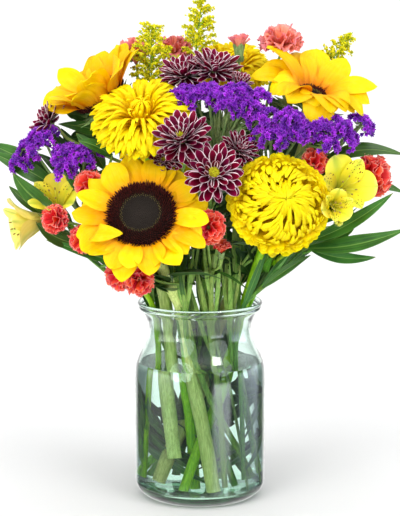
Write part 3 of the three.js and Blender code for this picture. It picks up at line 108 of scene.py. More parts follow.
# every stem: radius and the points on its line; the first of a node runs to the cut end in the vase
STEMS = {
    "sunflower_front_stem": [
        [6.0, [[-52.7, -104.9, 292.0], [-51.8, -96.0, 286.9], [-50.2, -88.7, 280.5], [-44.0, -73.7, 261.8], [-30.5, -50.3, 225.1], [-23.5, -40.3, 209.3], [-18.6, -34.7, 196.8], [-16.1, -32.0, 187.9], [-12.4, -29.0, 169.0], [-9.6, -28.8, 149.2], [-5.2, -30.8, 119.1], [4.0, -37.7, 69.3], [12.0, -38.0, 13.0]]],
    ],
    "sunflower_left_stem": [
        [6.0, [[-88.8, -14.3, 391.1], [-82.0, -9.7, 385.0], [-77.2, -6.8, 377.3], [-73.7, -5.1, 368.3], [-69.4, -3.5, 354.1], [-63.8, -2.4, 329.5], [-55.1, -2.5, 284.4], [-38.4, -2.2, 215.0], [-33.5, -2.4, 190.1], [-29.9, -4.4, 160.0], [-28.0, -8.8, 129.9], [-26.6, -14.4, 105.1], [-23.3, -27.0, 61.0], [-22.0, -30.0, 46.0]]],
    ],
    "sunflower_right_stem": [
        [6.0, [[102.6, -38.1, 390.0], [105.1, -32.1, 382.1], [105.3, -27.9, 373.5], [101.3, -22.5, 354.7], [95.4, -18.8, 335.7], [86.2, -15.4, 312.0], [75.7, -12.2, 288.8], [61.8, -8.0, 261.6], [37.2, 0.1, 217.5], [31.1, 2.1, 204.0], [25.9, 3.2, 190.2], [18.7, 3.0, 166.4], [10.7, 0.3, 142.5], [-2.6, -6.7, 104.5], [-21.1, -14.3, 57.0], [-36.0, -24.0, 20.0]]],
    ],
    "mum_left_stem": [
        [4.2, [[-52.2, -56.1, 367.0], [-51.3, -48.5, 360.3], [-50.2, -43.3, 352.2], [-48.9, -39.7, 343.1], [-46.7, -35.6, 328.9], [-40.5, -28.9, 294.5], [-32.0, -22.4, 255.0], [-22.9, -15.2, 215.8], [-18.6, -11.9, 191.0], [-15.9, -10.6, 165.8], [-14.2, -11.4, 140.4], [-13.0, -13.4, 125.1], [-9.5, -19.7, 94.6], [-8.3, -21.0, 84.3], [-5.6, -19.5, 43.4], [-4.0, -20.0, 13.0]]],
    ],
    "mum_right_stem": [
        [4.5, [[71.0, -85.3, 301.6], [70.2, -75.3, 299.7], [69.0, -67.5, 295.1], [67.5, -61.1, 288.7], [65.0, -52.9, 277.4], [60.2, -41.2, 256.3], [49.2, -20.9, 216.9], [44.3, -14.0, 199.0], [40.7, -10.9, 185.1], [35.6, -9.9, 166.2], [28.1, -12.4, 142.3], [13.8, -21.5, 99.4], [0.1, -27.5, 60.9], [-15.0, -40.0, 14.0]]],
    ],
    "mum_top_stem": [
        [4.2, [[30.0, 39.4, 407.6], [29.9, 46.1, 400.0], [29.4, 49.6, 391.3], [27.9, 51.3, 371.7], [26.1, 50.3, 351.7], [24.2, 47.6, 331.5], [21.0, 41.9, 301.5], [15.2, 31.9, 256.9], [9.2, 21.9, 212.4], [7.4, 18.8, 192.5], [6.7, 17.5, 177.3], [6.6, 17.1, 157.0], [7.2, 18.0, 136.7], [9.9, 24.7, 71.0], [12.0, 24.0, 14.0]]],
    ],
    "mum_back_stem": [
        [4.2, [[-37.4, 81.0, 302.0], [-39.9, 71.7, 298.3], [-40.6, 64.8, 292.3], [-39.5, 57.3, 280.8], [-37.1, 51.2, 267.8], [-34.8, 47.9, 258.8], [-31.8, 45.4, 249.5], [-18.7, 41.2, 216.8], [-11.6, 38.0, 192.9], [-7.6, 35.7, 168.0], [-5.1, 35.4, 142.5], [1.2, 38.4, 80.8], [8.0, 42.0, 14.0]]],
    ],
    "burgundy_mum_left_spray_stem": [
        [2.9, [[-37.6, -29.6, 322.5], [-35.0, -35.9, 309.7], [-32.7, -40.4, 296.4], [-31.3, -41.9, 287.2], [-29.4, -41.9, 272.9], [-27.2, -38.5, 253.4], [-22.5, -24.4, 198.7], [-20.0, -21.3, 178.6], [-16.1, -19.6, 158.6], [-6.1, -18.7, 124.0], [6.4, -15.6, 83.9], [20.3, -21.6, 45.2], [30.0, -24.0, 16.0]]],
        [1.67, [[-30.97, -41.58, 287.48], [-30.7, -64.7, 333.3], [-31.5, -71.6, 341.6], [-32.6, -77.2, 343.5]]],
        [1.63, [[-31.68, -41.5, 287.3], [-23.1, -66.9, 313.8], [-14.2, -88.5, 345.5], [-13.1, -97.7, 359.0], [-15.9, -105.5, 365.7]]],
        [1.74, [[-37.23, -29.16, 322.31], [-51.6, -26.7, 328.8], [-91.6, -24.6, 345.3], [-124.4, -20.7, 359.2], [-133.4, -21.1, 366.2], [-137.7, -22.7, 372.3], [-142.1, -24.5, 374.5]]],
        [1.69, [[-37.98, -29.66, 322.79], [-26.1, -28.4, 358.1], [-12.5, -26.5, 400.1], [-10.8, -27.4, 410.1], [-11.3, -29.0, 414.5], [-13.5, -32.2, 418.1]]],
    ],
    "burgundy_mum_right_spray_stem": [
        [2.9, [[12.2, -41.2, 323.0], [10.7, -47.2, 311.2], [9.7, -50.2, 303.1], [8.2, -52.2, 290.3], [7.2, -51.7, 281.4], [6.3, -49.8, 272.3], [5.2, -45.0, 258.4], [3.1, -24.0, 211.8], [2.5, -19.2, 197.5], [1.6, -15.6, 182.9], [-2.6, -10.0, 148.2], [-12.7, -3.1, 104.0], [-15.5, -1.3, 88.8], [-20.8, 5.0, 53.2], [-28.0, 12.0, 13.0]]],
        [1.7, [[8.22, -52.54, 290.58], [9.6, -75.6, 305.8], [12.2, -107.4, 332.0], [12.5, -117.8, 336.3]]],
        [1.71, [[7.97, -51.95, 290.73], [16.3, -65.0, 311.6], [30.2, -79.5, 347.0], [34.3, -86.9, 354.2]]],
        [1.71, [[12.41, -40.76, 322.58], [11.4, -36.1, 361.1], [11.0, -31.2, 404.6], [11.1, -31.6, 415.0], [12.4, -36.5, 423.8]]],
        [1.71, [[12.62, -41.54, 322.75], [19.3, -44.1, 337.8], [22.6, -45.0, 348.2], [31.0, -48.4, 396.7], [33.6, -51.4, 406.2], [35.4, -54.5, 410.2]]],
    ],
    "carnation_left_stem": [
        [2.6, [[-58.6, -20.0, 311.3], [-52.1, -31.3, 283.9], [-45.5, -37.5, 266.2], [-38.5, -40.9, 253.5], [-32.8, -42.7, 245.1], [-24.0, -44.7, 232.3], [-18.9, -45.6, 223.2], [-17.1, -45.8, 218.4], [-15.0, -45.7, 208.3], [-13.1, -41.7, 172.7], [-8.5, -39.5, 153.4], [2.2, -36.2, 125.1], [15.0, -30.1, 92.2], [44.0, -20.0, 28.0]]],
        [1.45, [[-18.7, -45.55, 223.24], [-21.9, -52.7, 223.9], [-32.5, -62.2, 226.1], [-44.1, -67.3, 230.7], [-56.1, -73.7, 238.4], [-57.7, -77.0, 239.0], [-57.1, -82.4, 236.9]]],
        [1.56, [[-18.68, -45.76, 222.82], [-28.8, -45.0, 232.3], [-46.6, -51.6, 238.3], [-57.3, -58.3, 240.6], [-66.1, -66.1, 241.8], [-69.3, -70.5, 241.3], [-71.2, -75.6, 239.5]]],
        [1.5, [[-32.66, -42.74, 245.31], [-68.5, -47.4, 255.6], [-98.4, -52.3, 269.1], [-105.4, -57.3, 271.3], [-106.8, -62.5, 270.1]]],
        [1.53, [[-45.84, -37.41, 266.42], [-81.6, -43.6, 271.4], [-120.1, -48.6, 281.7], [-129.1, -51.9, 284.9], [-132.1, -55.2, 286.1], [-132.9, -60.6, 287.0]]],
        [1.54, [[-45.45, -37.11, 266.6], [-68.4, -44.2, 283.8], [-95.0, -51.9, 310.8], [-100.3, -57.1, 316.8], [-101.5, -62.2, 318.1]]],
        [1.52, [[-58.72, -20.21, 311.33], [-59.4, 0.5, 361.9], [-61.8, 23.4, 419.7], [-62.5, 24.8, 429.4], [-63.1, 23.3, 433.4], [-64.1, 18.9, 436.1]]],
    ],
    "carnation_middle_stem": [
        [2.6, [[11.8, 0.0, 328.7], [12.4, -21.6, 307.6], [12.4, -28.0, 299.8], [12.5, -31.0, 295.7], [12.5, -36.5, 287.3], [12.5, -43.3, 273.8], [12.3, -46.9, 264.6], [11.8, -49.4, 255.2], [11.4, -50.7, 245.7], [11.0, -50.8, 236.4], [10.9, -49.7, 227.1], [10.9, -46.1, 213.4], [11.4, -37.3, 185.5], [12.2, -33.2, 161.0], [13.7, -32.9, 135.7], [18.1, -35.6, 89.8], [20.0, -34.2, 48.0], [22.0, -34.0, 17.0]]],
        [1.44, [[10.69, -50.75, 236.35], [17.5, -83.9, 244.7], [19.5, -93.1, 251.1], [19.8, -95.4, 256.6]]],
        [1.45, [[10.93, -50.89, 236.82], [8.8, -70.7, 253.8], [6.8, -94.0, 280.6], [6.9, -102.7, 286.2], [7.5, -108.4, 286.2]]],
        [1.46, [[12.79, -27.63, 299.89], [24.0, -29.1, 348.4], [35.9, -27.9, 410.7], [38.0, -27.8, 426.3], [37.4, -28.9, 436.5]]],
        [1.52, [[12.06, -0.3, 328.54], [-5.9, 15.5, 371.4], [-25.0, 32.6, 421.2], [-27.4, 33.7, 430.7], [-27.5, 32.3, 434.9], [-26.1, 28.5, 438.2]]],
    ],
    "carnation_right_stem": [
        [2.6, [[39.6, 0.0, 278.9], [38.4, -13.6, 257.7], [36.6, -21.3, 240.1], [35.3, -23.6, 231.0], [33.9, -24.7, 221.6], [31.0, -24.4, 202.4], [29.4, -23.1, 187.7], [29.2, -21.8, 172.7], [32.4, -19.8, 142.6], [37.1, -7.3, 87.2], [46.0, 4.0, 22.0]]],
        [1.44, [[35.23, -23.64, 230.82], [50.9, -34.2, 253.3], [79.9, -49.2, 296.0], [99.1, -58.9, 327.6], [103.6, -63.0, 335.5], [104.9, -66.4, 338.1], [105.1, -71.4, 339.0]]],
        [1.45, [[35.17, -23.31, 231.3], [57.5, -29.1, 248.4], [92.7, -33.9, 274.2], [147.1, -38.5, 322.7], [154.2, -40.5, 325.7], [156.7, -45.0, 325.0]]],
        [1.56, [[39.65, -0.13, 278.81], [49.7, -2.2, 319.0], [60.5, -4.1, 364.2], [70.4, 0.6, 421.2], [77.8, -6.5, 440.6], [77.9, -11.3, 448.9]]],
        [1.55, [[39.88, 0.01, 278.91], [52.7, 30.9, 280.4], [64.8, 55.5, 283.0], [74.9, 74.4, 287.3], [79.9, 82.7, 292.3]]],
    ],
    "alstroemeria_left_stem": [
        [2.9, [[-77.8, -40.0, 243.3], [-60.4, -27.5, 220.0], [-49.9, -20.4, 203.4], [-45.3, -17.1, 190.0], [-42.2, -14.8, 175.7], [-41.1, -13.7, 160.7], [-41.2, -12.8, 140.1], [-43.9, -10.6, 82.6], [-47.0, -8.0, 20.0]]],
        [1.83, [[-77.91, -39.75, 243.51], [-104.7, -40.2, 262.4], [-130.7, -39.1, 283.5], [-138.9, -42.6, 287.3], [-143.9, -44.7, 287.3]]],
        [1.77, [[-77.84, -39.83, 243.6], [-105.3, -29.9, 259.8], [-123.6, -24.6, 272.5], [-135.3, -24.9, 283.1], [-137.2, -27.1, 286.6], [-136.7, -31.6, 289.8]]],
    ],
    "alstroemeria_right_stem": [
        [2.9, [[73.9, -40.0, 243.3], [63.3, -17.7, 224.3], [56.6, -5.0, 210.6], [51.7, 2.3, 199.2], [48.6, 5.8, 191.1], [45.4, 8.2, 182.6], [36.7, 10.7, 160.1], [23.6, 11.3, 132.8], [0.5, 11.5, 92.4], [-20.6, 14.1, 56.5], [-44.0, 16.0, 16.0]]],
        [1.79, [[74.14, -40.02, 243.33], [101.6, -60.2, 273.5], [120.9, -75.3, 297.8], [124.6, -81.3, 304.0], [124.4, -84.9, 305.4], [121.4, -89.5, 304.3]]],
        [1.75, [[73.79, -39.77, 243.2], [106.3, -42.5, 281.8], [123.0, -45.6, 303.7], [128.4, -48.9, 310.9], [130.2, -52.2, 313.2], [130.6, -57.5, 313.6]]],
    ],
    "statice_left_spray": [
        [2.7, [[-138.7, -18.2, 316.8], [-124.5, -12.0, 297.2], [-121.6, -10.7, 293.4], [-118.6, -9.3, 289.6], [-115.5, -7.9, 285.9], [-82.9, 4.9, 249.2], [-63.1, 10.3, 226.8], [-48.6, 13.2, 207.0], [-37.9, 14.5, 185.4], [-22.6, 15.5, 143.6], [-2.9, 18.4, 96.6], [11.9, 16.9, 63.7], [34.0, 22.0, 13.0]]],
        [1.56, [[-124.24, -12.09, 297.27], [-145.8, -20.1, 314.2], [-167.6, -32.8, 337.7]]],
        [1.53, [[-121.47, -10.68, 293.21], [-142.5, -24.1, 323.5], [-158.8, -36.5, 350.0]]],
        [1.48, [[-118.19, -9.11, 289.84], [-134.1, -21.4, 323.2], [-149.7, -36.8, 361.7]]],
        [1.55, [[-121.77, -10.83, 293.38], [-126.9, -49.7, 344.9]]],
        [1.47, [[-121.63, -10.99, 293.43], [-129.3, -55.7, 334.9]]],
        [1.49, [[-115.38, -8.05, 286.31], [-113.2, -32.5, 315.7], [-110.7, -57.3, 345.5]]],
    ],
    "statice_middle_spray": [
        [2.7, [[15.9, -53.7, 370.4], [16.4, -42.7, 346.6], [16.6, -40.7, 341.8], [16.8, -38.8, 336.9], [17.2, -37.4, 332.1], [18.9, -30.3, 303.0], [18.4, -24.9, 283.4], [17.9, -21.0, 268.5], [17.7, -18.5, 258.6], [17.5, -10.0, 213.6], [17.0, -7.8, 188.5], [16.9, -8.1, 148.0], [15.9, -7.0, 132.6], [12.5, -4.4, 117.3], [3.7, 1.5, 87.6], [-1.9, 7.8, 58.6], [-10.0, 10.0, 13.0]]],
        [1.56, [[16.67, -40.62, 341.72], [-14.6, -65.0, 403.3]]],
        [1.45, [[15.99, -42.48, 346.39], [-2.7, -70.5, 400.7]]],
        [1.53, [[16.31, -40.47, 342.17], [7.9, -72.5, 405.4]]],
        [1.49, [[16.41, -40.7, 341.46], [19.5, -80.1, 402.4]]],
        [1.55, [[16.58, -39.22, 336.71], [20.4, -51.0, 355.7], [33.8, -82.2, 405.4]]],
        [1.55, [[16.63, -40.9, 341.45], [27.4, -87.9, 396.0]]],
        [1.53, [[16.43, -39.22, 336.55], [20.0, -49.6, 350.7], [40.8, -88.0, 396.9]]],
        [1.52, [[18.79, -25.26, 283.52], [15.8, 26.1, 329.8], [15.2, 51.2, 356.6], [14.4, 78.6, 388.3]]],
        [1.49, [[17.92, -21.45, 268.67], [33.9, 38.2, 311.1], [50.7, 92.4, 358.8]]],
    ],
    "statice_right_spray": [
        [2.7, [[72.8, -64.0, 348.5], [67.4, -50.3, 327.6], [66.3, -47.6, 323.4], [65.2, -44.9, 319.2], [64.1, -42.1, 315.0], [63.0, -39.4, 310.8], [60.8, -34.1, 302.4], [57.3, -26.1, 289.8], [44.0, 0.3, 247.5], [39.8, 8.4, 229.3], [35.7, 15.0, 205.6], [32.7, 18.2, 181.3], [32.1, 18.7, 166.5], [32.4, 18.7, 151.5], [36.0, 18.7, 116.1], [41.5, 19.3, 75.6], [48.0, 20.0, 30.0]]],
        [1.45, [[64.49, -41.65, 315.12], [59.9, -54.1, 344.5], [53.7, -70.4, 378.5], [54.5, -79.0, 402.9]]],
        [1.49, [[66.14, -47.48, 323.73], [58.3, -85.9, 383.9]]],
        [1.46, [[67.27, -50.2, 327.92], [66.2, -89.0, 369.4]]],
        [1.48, [[66.39, -47.5, 323.38], [82.1, -87.8, 381.4]]],
        [1.44, [[67.8, -50.02, 327.29], [80.0, -95.1, 366.9]]],
        [1.48, [[66.08, -47.67, 323.1], [93.7, -90.0, 373.1]]],
        [1.54, [[65.36, -44.68, 319.49], [91.6, -64.0, 347.6], [112.9, -82.2, 373.2]]],
        [1.51, [[65.04, -44.87, 319.41], [83.0, -57.7, 337.9], [100.1, -72.7, 357.6], [103.7, -76.1, 359.9], [111.4, -83.0, 358.8], [114.7, -86.2, 362.0]]],
        [1.55, [[63.07, -39.12, 311.2], [97.4, -56.9, 342.2], [129.2, -76.7, 374.8]]],
        [1.54, [[62.79, -39.74, 310.61], [100.2, -56.8, 337.0], [134.7, -76.7, 364.8]]],
        [1.56, [[60.63, -33.88, 302.48], [106.8, -45.8, 338.4], [150.0, -61.2, 376.4]]],
    ],
    "goldenrod_left_plume": [
        [2.2, [[-46.8, -6.0, 384.2], [-38.7, -1.7, 344.3], [-32.6, 1.1, 314.3], [-22.3, 3.9, 264.2], [-12.7, 4.4, 214.0], [-5.9, 4.5, 163.6], [-0.9, 5.6, 133.6], [8.1, 5.8, 93.8], [16.0, 5.6, 53.2], [24.0, 6.0, 13.0]]],
        [1.62, [[-47.14, -5.7, 383.79], [-46.8, -8.0, 400.2]]],
        [1.59, [[-38.67, -1.93, 344.09], [-23.3, 2.9, 384.8], [-5.9, 8.0, 430.4]]],
    ],
    "goldenrod_right_plume": [
        [2.2, [[107.5, 30.0, 387.6], [90.1, 31.7, 350.8], [73.0, 32.7, 313.8], [58.5, 32.1, 281.4], [37.6, 31.4, 240.3], [25.7, 29.8, 212.5], [17.4, 28.0, 183.8], [7.2, 27.5, 140.0], [-11.5, 30.7, 76.6], [-30.0, 34.0, 13.0]]],
        [1.55, [[107.49, 29.69, 387.55], [107.5, 28.0, 403.6]]],
    ],
    "greens_left_sprig": [
        [2.4, [[-112.0, -30.0, 250.0], [-98.0, -22.7, 236.2], [-90.2, -18.9, 229.6], [-54.3, -4.0, 204.9], [-51.6, -2.6, 201.7], [-48.2, -0.1, 194.8], [-43.4, 2.9, 179.0], [-37.0, 4.1, 156.0], [-15.7, 5.1, 91.8], [-3.4, 2.1, 51.9], [10.0, 4.0, 13.0]]],
        [1.4, [[-112.0, -29.96, 249.9], [-124.4, -28.2, 275.3], [-146.4, -20.0, 323.1]]],
        [1.37, [[-111.94, -29.98, 249.71], [-141.8, -30.0, 316.4]]],
        [1.42, [[-112.21, -29.55, 250.0], [-135.0, -46.0, 291.2]]],
        [1.37, [[-112.27, -29.98, 249.94], [-151.5, -34.0, 287.6]]],
        [1.43, [[-112.25, -30.23, 250.21], [-111.8, -52.0, 262.8]]],
        [1.43, [[-97.67, -22.85, 236.22], [-78.9, -58.0, 244.3]]],
        [1.42, [[-111.95, -29.68, 249.57], [-110.1, -37.7, 271.8], [-107.2, -56.0, 313.8]]],
        [1.39, [[-112.33, -29.99, 249.9], [-102.5, -40.4, 290.7], [-91.9, -52.0, 336.4]]],
        [1.45, [[-111.76, -30.37, 249.59], [-97.9, -44.9, 299.3], [-83.7, -60.0, 348.8]]],
    ],
    "greens_right_sprig": [
        [2.4, [[104.0, -44.0, 262.0], [97.5, -42.5, 254.1], [94.1, -41.8, 250.2], [80.2, -38.5, 235.0], [56.9, -32.1, 213.5], [53.0, -30.9, 209.9], [46.1, -28.8, 202.5], [41.7, -27.9, 194.7], [37.5, -27.1, 182.0], [35.2, -26.8, 168.0], [34.9, -27.4, 142.9], [37.3, -30.4, 86.0], [40.0, -34.0, 24.0]]],
        [1.4, [[103.99, -44.08, 261.69], [110.3, -47.6, 300.7], [116.9, -50.0, 340.0]]],
        [1.36, [[104.15, -43.65, 261.9], [106.6, -72.0, 269.8]]],
        [1.43, [[97.73, -42.68, 254.29], [103.0, -70.0, 261.7]]],
        [1.39, [[94.52, -42.1, 249.99], [107.5, -60.0, 258.2]]],
        [1.44, [[97.79, -42.56, 254.04], [111.5, -56.0, 261.5]]],
        [1.4, [[103.66, -44.35, 261.63], [127.4, -40.0, 292.5], [150.9, -36.0, 323.0]]],
        [1.4, [[56.64, -32.23, 213.49], [60.4, -40.0, 217.6]]],
        [1.44, [[103.9, -44.33, 262.29], [98.0, -54.5, 298.3], [91.1, -66.0, 339.9]]],
    ],
    "greens_back_sprig": [
        [2.4, [[0.0, 56.0, 330.0], [1.4, 53.2, 283.8], [2.6, 50.9, 247.9], [2.8, 50.5, 242.7], [3.5, 48.7, 222.3], [3.9, 45.7, 191.7], [2.9, 43.7, 166.2], [0.7, 43.3, 140.7], [-6.5, 44.7, 79.4], [-14.0, 46.0, 13.0]]],
        [1.36, [[2.86, 50.31, 243.15], [-30.7, 52.0, 251.0]]],
        [1.41, [[3.14, 50.61, 242.48], [0.0, 56.0, 250.4]]],
        [1.43, [[2.85, 50.06, 242.67], [30.7, 52.0, 251.0]]],
        [1.42, [[3.62, 48.37, 222.04], [-10.2, 50.0, 228.6]]],
        [1.39, [[3.07, 48.87, 222.33], [14.3, 50.0, 228.6]]],
        [1.45, [[1.33, 53.18, 283.44], [-20.5, 60.0, 291.2]]],
        [1.44, [[1.33, 53.35, 283.44], [22.5, 60.0, 291.2]]],
        [1.44, [[2.78, 50.68, 248.26], [-29.2, 40.7, 254.2], [-50.6, 36.0, 257.5]]],
        [1.34, [[2.57, 50.7, 248.19], [50.6, 36.0, 257.5]]],
    ],
}
# statice clumps: centre and radius
CLUMPS = {
    "statice_left_spray": [[-170.1, -34.0, 340.3, 9.5], [-160.9, -38.0, 353.3, 10.5], [-151.1, -38.0, 364.8, 9], [-127.2, -52.0, 347.9, 9.5], [-129.7, -58.0, 337.1, 8], [-110.4, -60.0, 348.8, 10.5]],
    "statice_middle_spray": [[-16.0, -66.0, 406.2, 8.5], [-3.8, -72.0, 403.8, 9], [7.5, -74.0, 408.6, 9], [19.6, -82.0, 405.4, 9], [34.5, -84.0, 408.4, 9], [27.9, -90.0, 398.6, 8.5], [41.9, -90.0, 399.5, 8.5], [14.4, 82.0, 391.8, 12], [51.8, 96.0, 361.8, 12]],
    "statice_right_spray": [[54.3, -80.0, 405.3, 6.5], [57.8, -88.0, 387.2, 10], [66.2, -92.0, 372.7, 11], [82.9, -90.0, 384.6, 10], [80.8, -98.0, 369.5, 10], [95.0, -92.0, 375.5, 8.5], [115.1, -84.0, 375.7, 9.5], [116.8, -88.0, 363.9, 8.5], [131.5, -78.0, 377.0, 8.5], [137.2, -78.0, 366.7, 8.5], [152.6, -62.0, 378.5, 8.5]],
}
# goldenrod plumes: foot, middle and tip of the axis, and radius
PLUMES = {
    "goldenrod_left_plume": [[[[-46.8, -8.0, 400.2], [-47.8, -2.0, 436.8], [-46.7, 0.0, 471.6]], 17], [[[-5.9, 8.0, 430.4], [-1.0, 14.0, 465.3], [2.9, 14.0, 504.2]], 13]],
    "goldenrod_right_plume": [[[[107.5, 28.0, 403.6], [129.2, 30.0, 433.2], [151.3, 26.0, 462.9]], 11]],
}
# leaves of the cut greens: base, middle, tip, width and how far the blade lies flat
LEAVES = {
    "greens_left_sprig": [
        [[-146.4, -20.0, 323.1], [-175.6, -18.0, 342.5], [-209.4, -10.0, 356.4], 20, 0.3],
        [[-141.8, -30.0, 316.4], [-170.4, -32.0, 334.2], [-203.3, -30.0, 349.6], 19, 0.3],
        [[-135.0, -46.0, 291.2], [-161.2, -52.0, 309.4], [-178.6, -56.0, 332.1], 20, -0.4],
        [[-151.5, -34.0, 287.6], [-170.7, -34.0, 303.2], [-185.5, -30.0, 316.4], 10, -0.3],
        [[-111.8, -52.0, 262.8], [-136.4, -56.0, 269.3], [-157.0, -60.0, 285.4], 17, 0.2],
        [[-78.9, -58.0, 244.3], [-111.3, -60.0, 256.3], [-148.3, -52.0, 266.7], 10, 0.2],
        [[-107.2, -56.0, 313.8], [-118.2, -60.0, 325.8], [-127.4, -62.0, 342.3], 17, -0.3],
        [[-91.9, -52.0, 336.4], [-103.2, -52.0, 353.7], [-118.7, -46.0, 369.4], 16, 0.3],
        [[-83.7, -60.0, 348.8], [-98.5, -66.0, 358.9], [-115.5, -66.0, 363.7], 13, 0.3],
    ],
    "greens_right_sprig": [
        [[116.9, -50.0, 340.0], [152.9, -52.0, 353.7], [195.2, -50.0, 348.7], 17, 0.4],
        [[106.6, -72.0, 269.8], [144.0, -78.0, 287.9], [182.1, -80.0, 315.8], 15, 0.3],
        [[103.0, -70.0, 261.7], [148.6, -72.0, 265.9], [196.6, -66.0, 279.5], 21, 0.5],
        [[107.5, -60.0, 258.2], [138.4, -58.0, 250.1], [169.6, -54.0, 250.5], 12, 0.2],
        [[111.5, -56.0, 261.5], [130.7, -56.0, 269.3], [148.2, -52.0, 277.4], 13, 0.4],
        [[150.9, -36.0, 323.0], [174.3, -34.0, 318.9], [198.2, -30.0, 309.6], 10, 0.3],
        [[60.4, -40.0, 217.6], [83.1, -52.0, 237.4], [106.6, -60.0, 253.4], 9, 0.3],
    ],
    "greens_back_sprig": [
        [[-30.7, 52.0, 251.0], [-73.0, 96.0, 286.6], [-109.6, 120.0, 315.3], 24, 0.4],
        [[-2.1, 58.0, 254.3], [4.2, 112.0, 284.5], [6.4, 138.0, 324.0], 23, 0.4],
        [[30.7, 52.0, 251.0], [73.1, 96.0, 281.3], [111.5, 116.0, 307.3], 24, 0.4],
        [[-10.2, 50.0, 228.6], [-41.9, 96.0, 231.6], [-74.7, 130.0, 232.8], 20, 0.4],
        [[14.3, 50.0, 228.6], [48.2, 96.0, 229.5], [81.0, 128.0, 228.7], 20, 0.4],
        [[-20.5, 60.0, 291.2], [-51.6, 86.0, 339.9], [-64.2, 96.0, 380.4], 22, 0.3],
        [[22.5, 60.0, 291.2], [51.6, 86.0, 339.9], [64.2, 96.0, 378.3], 22, 0.3],
        [[-50.6, 36.0, 257.5], [-92.7, 66.0, 253.1], [-135.2, 86.0, 260.6], 20, 0.4],
        [[50.6, 36.0, 257.5], [92.7, 66.0, 253.1], [135.0, 84.0, 260.9], 20, 0.4],
    ],
}

OUTER = [[0, 50], [4, 58], [12.6, 65], [118, 65], [132, 64.2], [142, 61.2], [152, 56], [160, 52.6], [167, 51],
         [174, 51.2], [182, 54], [190, 59], [196, 62.2], [198, 61.4]]
WATER_TOP = 136.0


# ---------------------------------------------------------------- small maths
def unit(v):
    v = np.asarray(v, float)
    return v / (np.linalg.norm(v, axis=-1, keepdims=True) + 1e-12)


def ease(a, b, x):
    t = np.clip((np.asarray(x, float) - a) / (b - a), 0, 1)
    return t * t * (3 - 2 * t)


def axes(face, spin=0.0):
    """Rows are the local x, y and z of a flower that looks along face."""
    z = unit(face)
    up = np.array([0, 0, 1.0]) if abs(z[2]) < 0.985 else np.array([0, 1.0, 0])
    x = unit(np.cross(up, z))
    y = np.cross(z, x)
    c, s = math.cos(spin), math.sin(spin)
    return np.array([c * x + s * y, -s * x + c * y, z])


def bez(points, u):
    u = np.asarray(u, float)[:, None]
    p = [np.asarray(q, float) for q in points]
    if len(p) == 3:
        return (1 - u) ** 2 * p[0] + 2 * u * (1 - u) * p[1] + u * u * p[2]
    return (1 - u) ** 3 * p[0] + 3 * u * (1 - u) ** 2 * p[1] + 3 * u * u * (1 - u) * p[2] + u ** 3 * p[3]


def along_path(points, step):
    """A smooth line through the points, resampled about every step millimetres."""
    p = np.asarray(points, float)
    q = np.vstack([2 * p[0] - p[1], p, 2 * p[-1] - p[-2]])
    out = []
    for i in range(1, len(q) - 2):
        n = max(2, int(np.linalg.norm(q[i + 1] - q[i]) / step) + 1)
        t = np.linspace(0, 1, n, endpoint=False)[:, None]
        a, b, c, d = q[i - 1], q[i], q[i + 1], q[i + 2]
        out.append(0.5 * (2 * b + (c - a) * t + (2 * a - 5 * b + 4 * c - d) * t ** 2 + (3 * b - a - 3 * c + d) * t ** 3))
    out.append(q[-2][None])
    return np.vstack(out)


# ---------------------------------------------------------------- mesh kit
class Kit:
    """Collects closed shapes, with a bake cell for each and the numbers that the materials read:
    along (0 at the root to 1 at the tip), across (-1 to 1) and chance (one number for each petal)."""

    def __init__(self):
        self.v, self.f, self.uv, self.m, self.c, self.a, self.n, self.cells = [], [], [], [], [], [], 0, 0

    def put(self, v, f, uv, cell, mat, along, across, chance):
        n = len(v)
        self.v.append(np.asarray(v, float))
        self.f.append(np.where(f < 0, -1, f + self.n))
        self.uv.append(uv)
        self.c.append(cell + self.cells)
        self.m.append((mat, len(f)))
        self.a.append(np.stack([np.broadcast_to(along, n), np.broadcast_to(across, n), np.broadcast_to(chance, n)], 1))
        self.n += n
        self.cells += int(cell.max()) + 1


_grids = {}


def grid_faces(a, b):
    if (a, b) not in _grids:
        top = np.arange(a * b).reshape(a, b)
        low = top.copy()
        low[1:-1, 1:-1] = a * b + np.arange((a - 2) * (b - 2)).reshape(a - 2, b - 2)
        i, j = np.meshgrid(np.arange(a - 1), np.arange(b - 1), indexing="ij")
        i, j = i.ravel(), j.ravel()
        corners = [(i, j), (i + 1, j), (i + 1, j + 1), (i, j + 1)]
        uv = np.stack([np.stack([y / (b - 1), x / (a - 1)], 1) for x, y in corners], 1)
        f1 = np.stack([top[c] for c in corners], 1)
        f2 = np.stack([low[c] for c in corners[::-1]], 1)
        _grids[a, b] = (
            np.vstack([f1, f2]),
            np.vstack([uv, uv[:, ::-1]]),
            np.repeat([0, 1], len(f1)),
            np.concatenate([np.repeat(np.linspace(0, 1, a), b), np.repeat(np.linspace(0, 1, a)[1:-1], b - 2)]),
            np.concatenate([np.tile(np.linspace(-1, 1, b), a), np.tile(np.linspace(-1, 1, b)[1:-1], a - 2)]),
        )
    return _grids[a, b]


def shell(kit, p, thick, mat, chance, at=None, turn=None):
    """A thin closed skin round the grid of points p, thin at its rim."""
    a, b = p.shape[:2]
    n = np.cross(np.gradient(p, axis=0), np.gradient(p, axis=1))
    n /= np.linalg.norm(n, axis=2, keepdims=True) + 1e-12
    h = np.full((a, b, 1), thick * 0.5)
    h[0], h[-1], h[:, 0], h[:, -1] = 0, 0, 0, 0
    v = np.vstack([(p + n * h).reshape(-1, 3), (p - n * h)[1:-1, 1:-1].reshape(-1, 3)])
    if turn is not None:
        v = v @ turn + at
    f, uv, cell, along, across = grid_faces(a, b)
    kit.put(v, f, uv, cell, mat, along, across, chance)


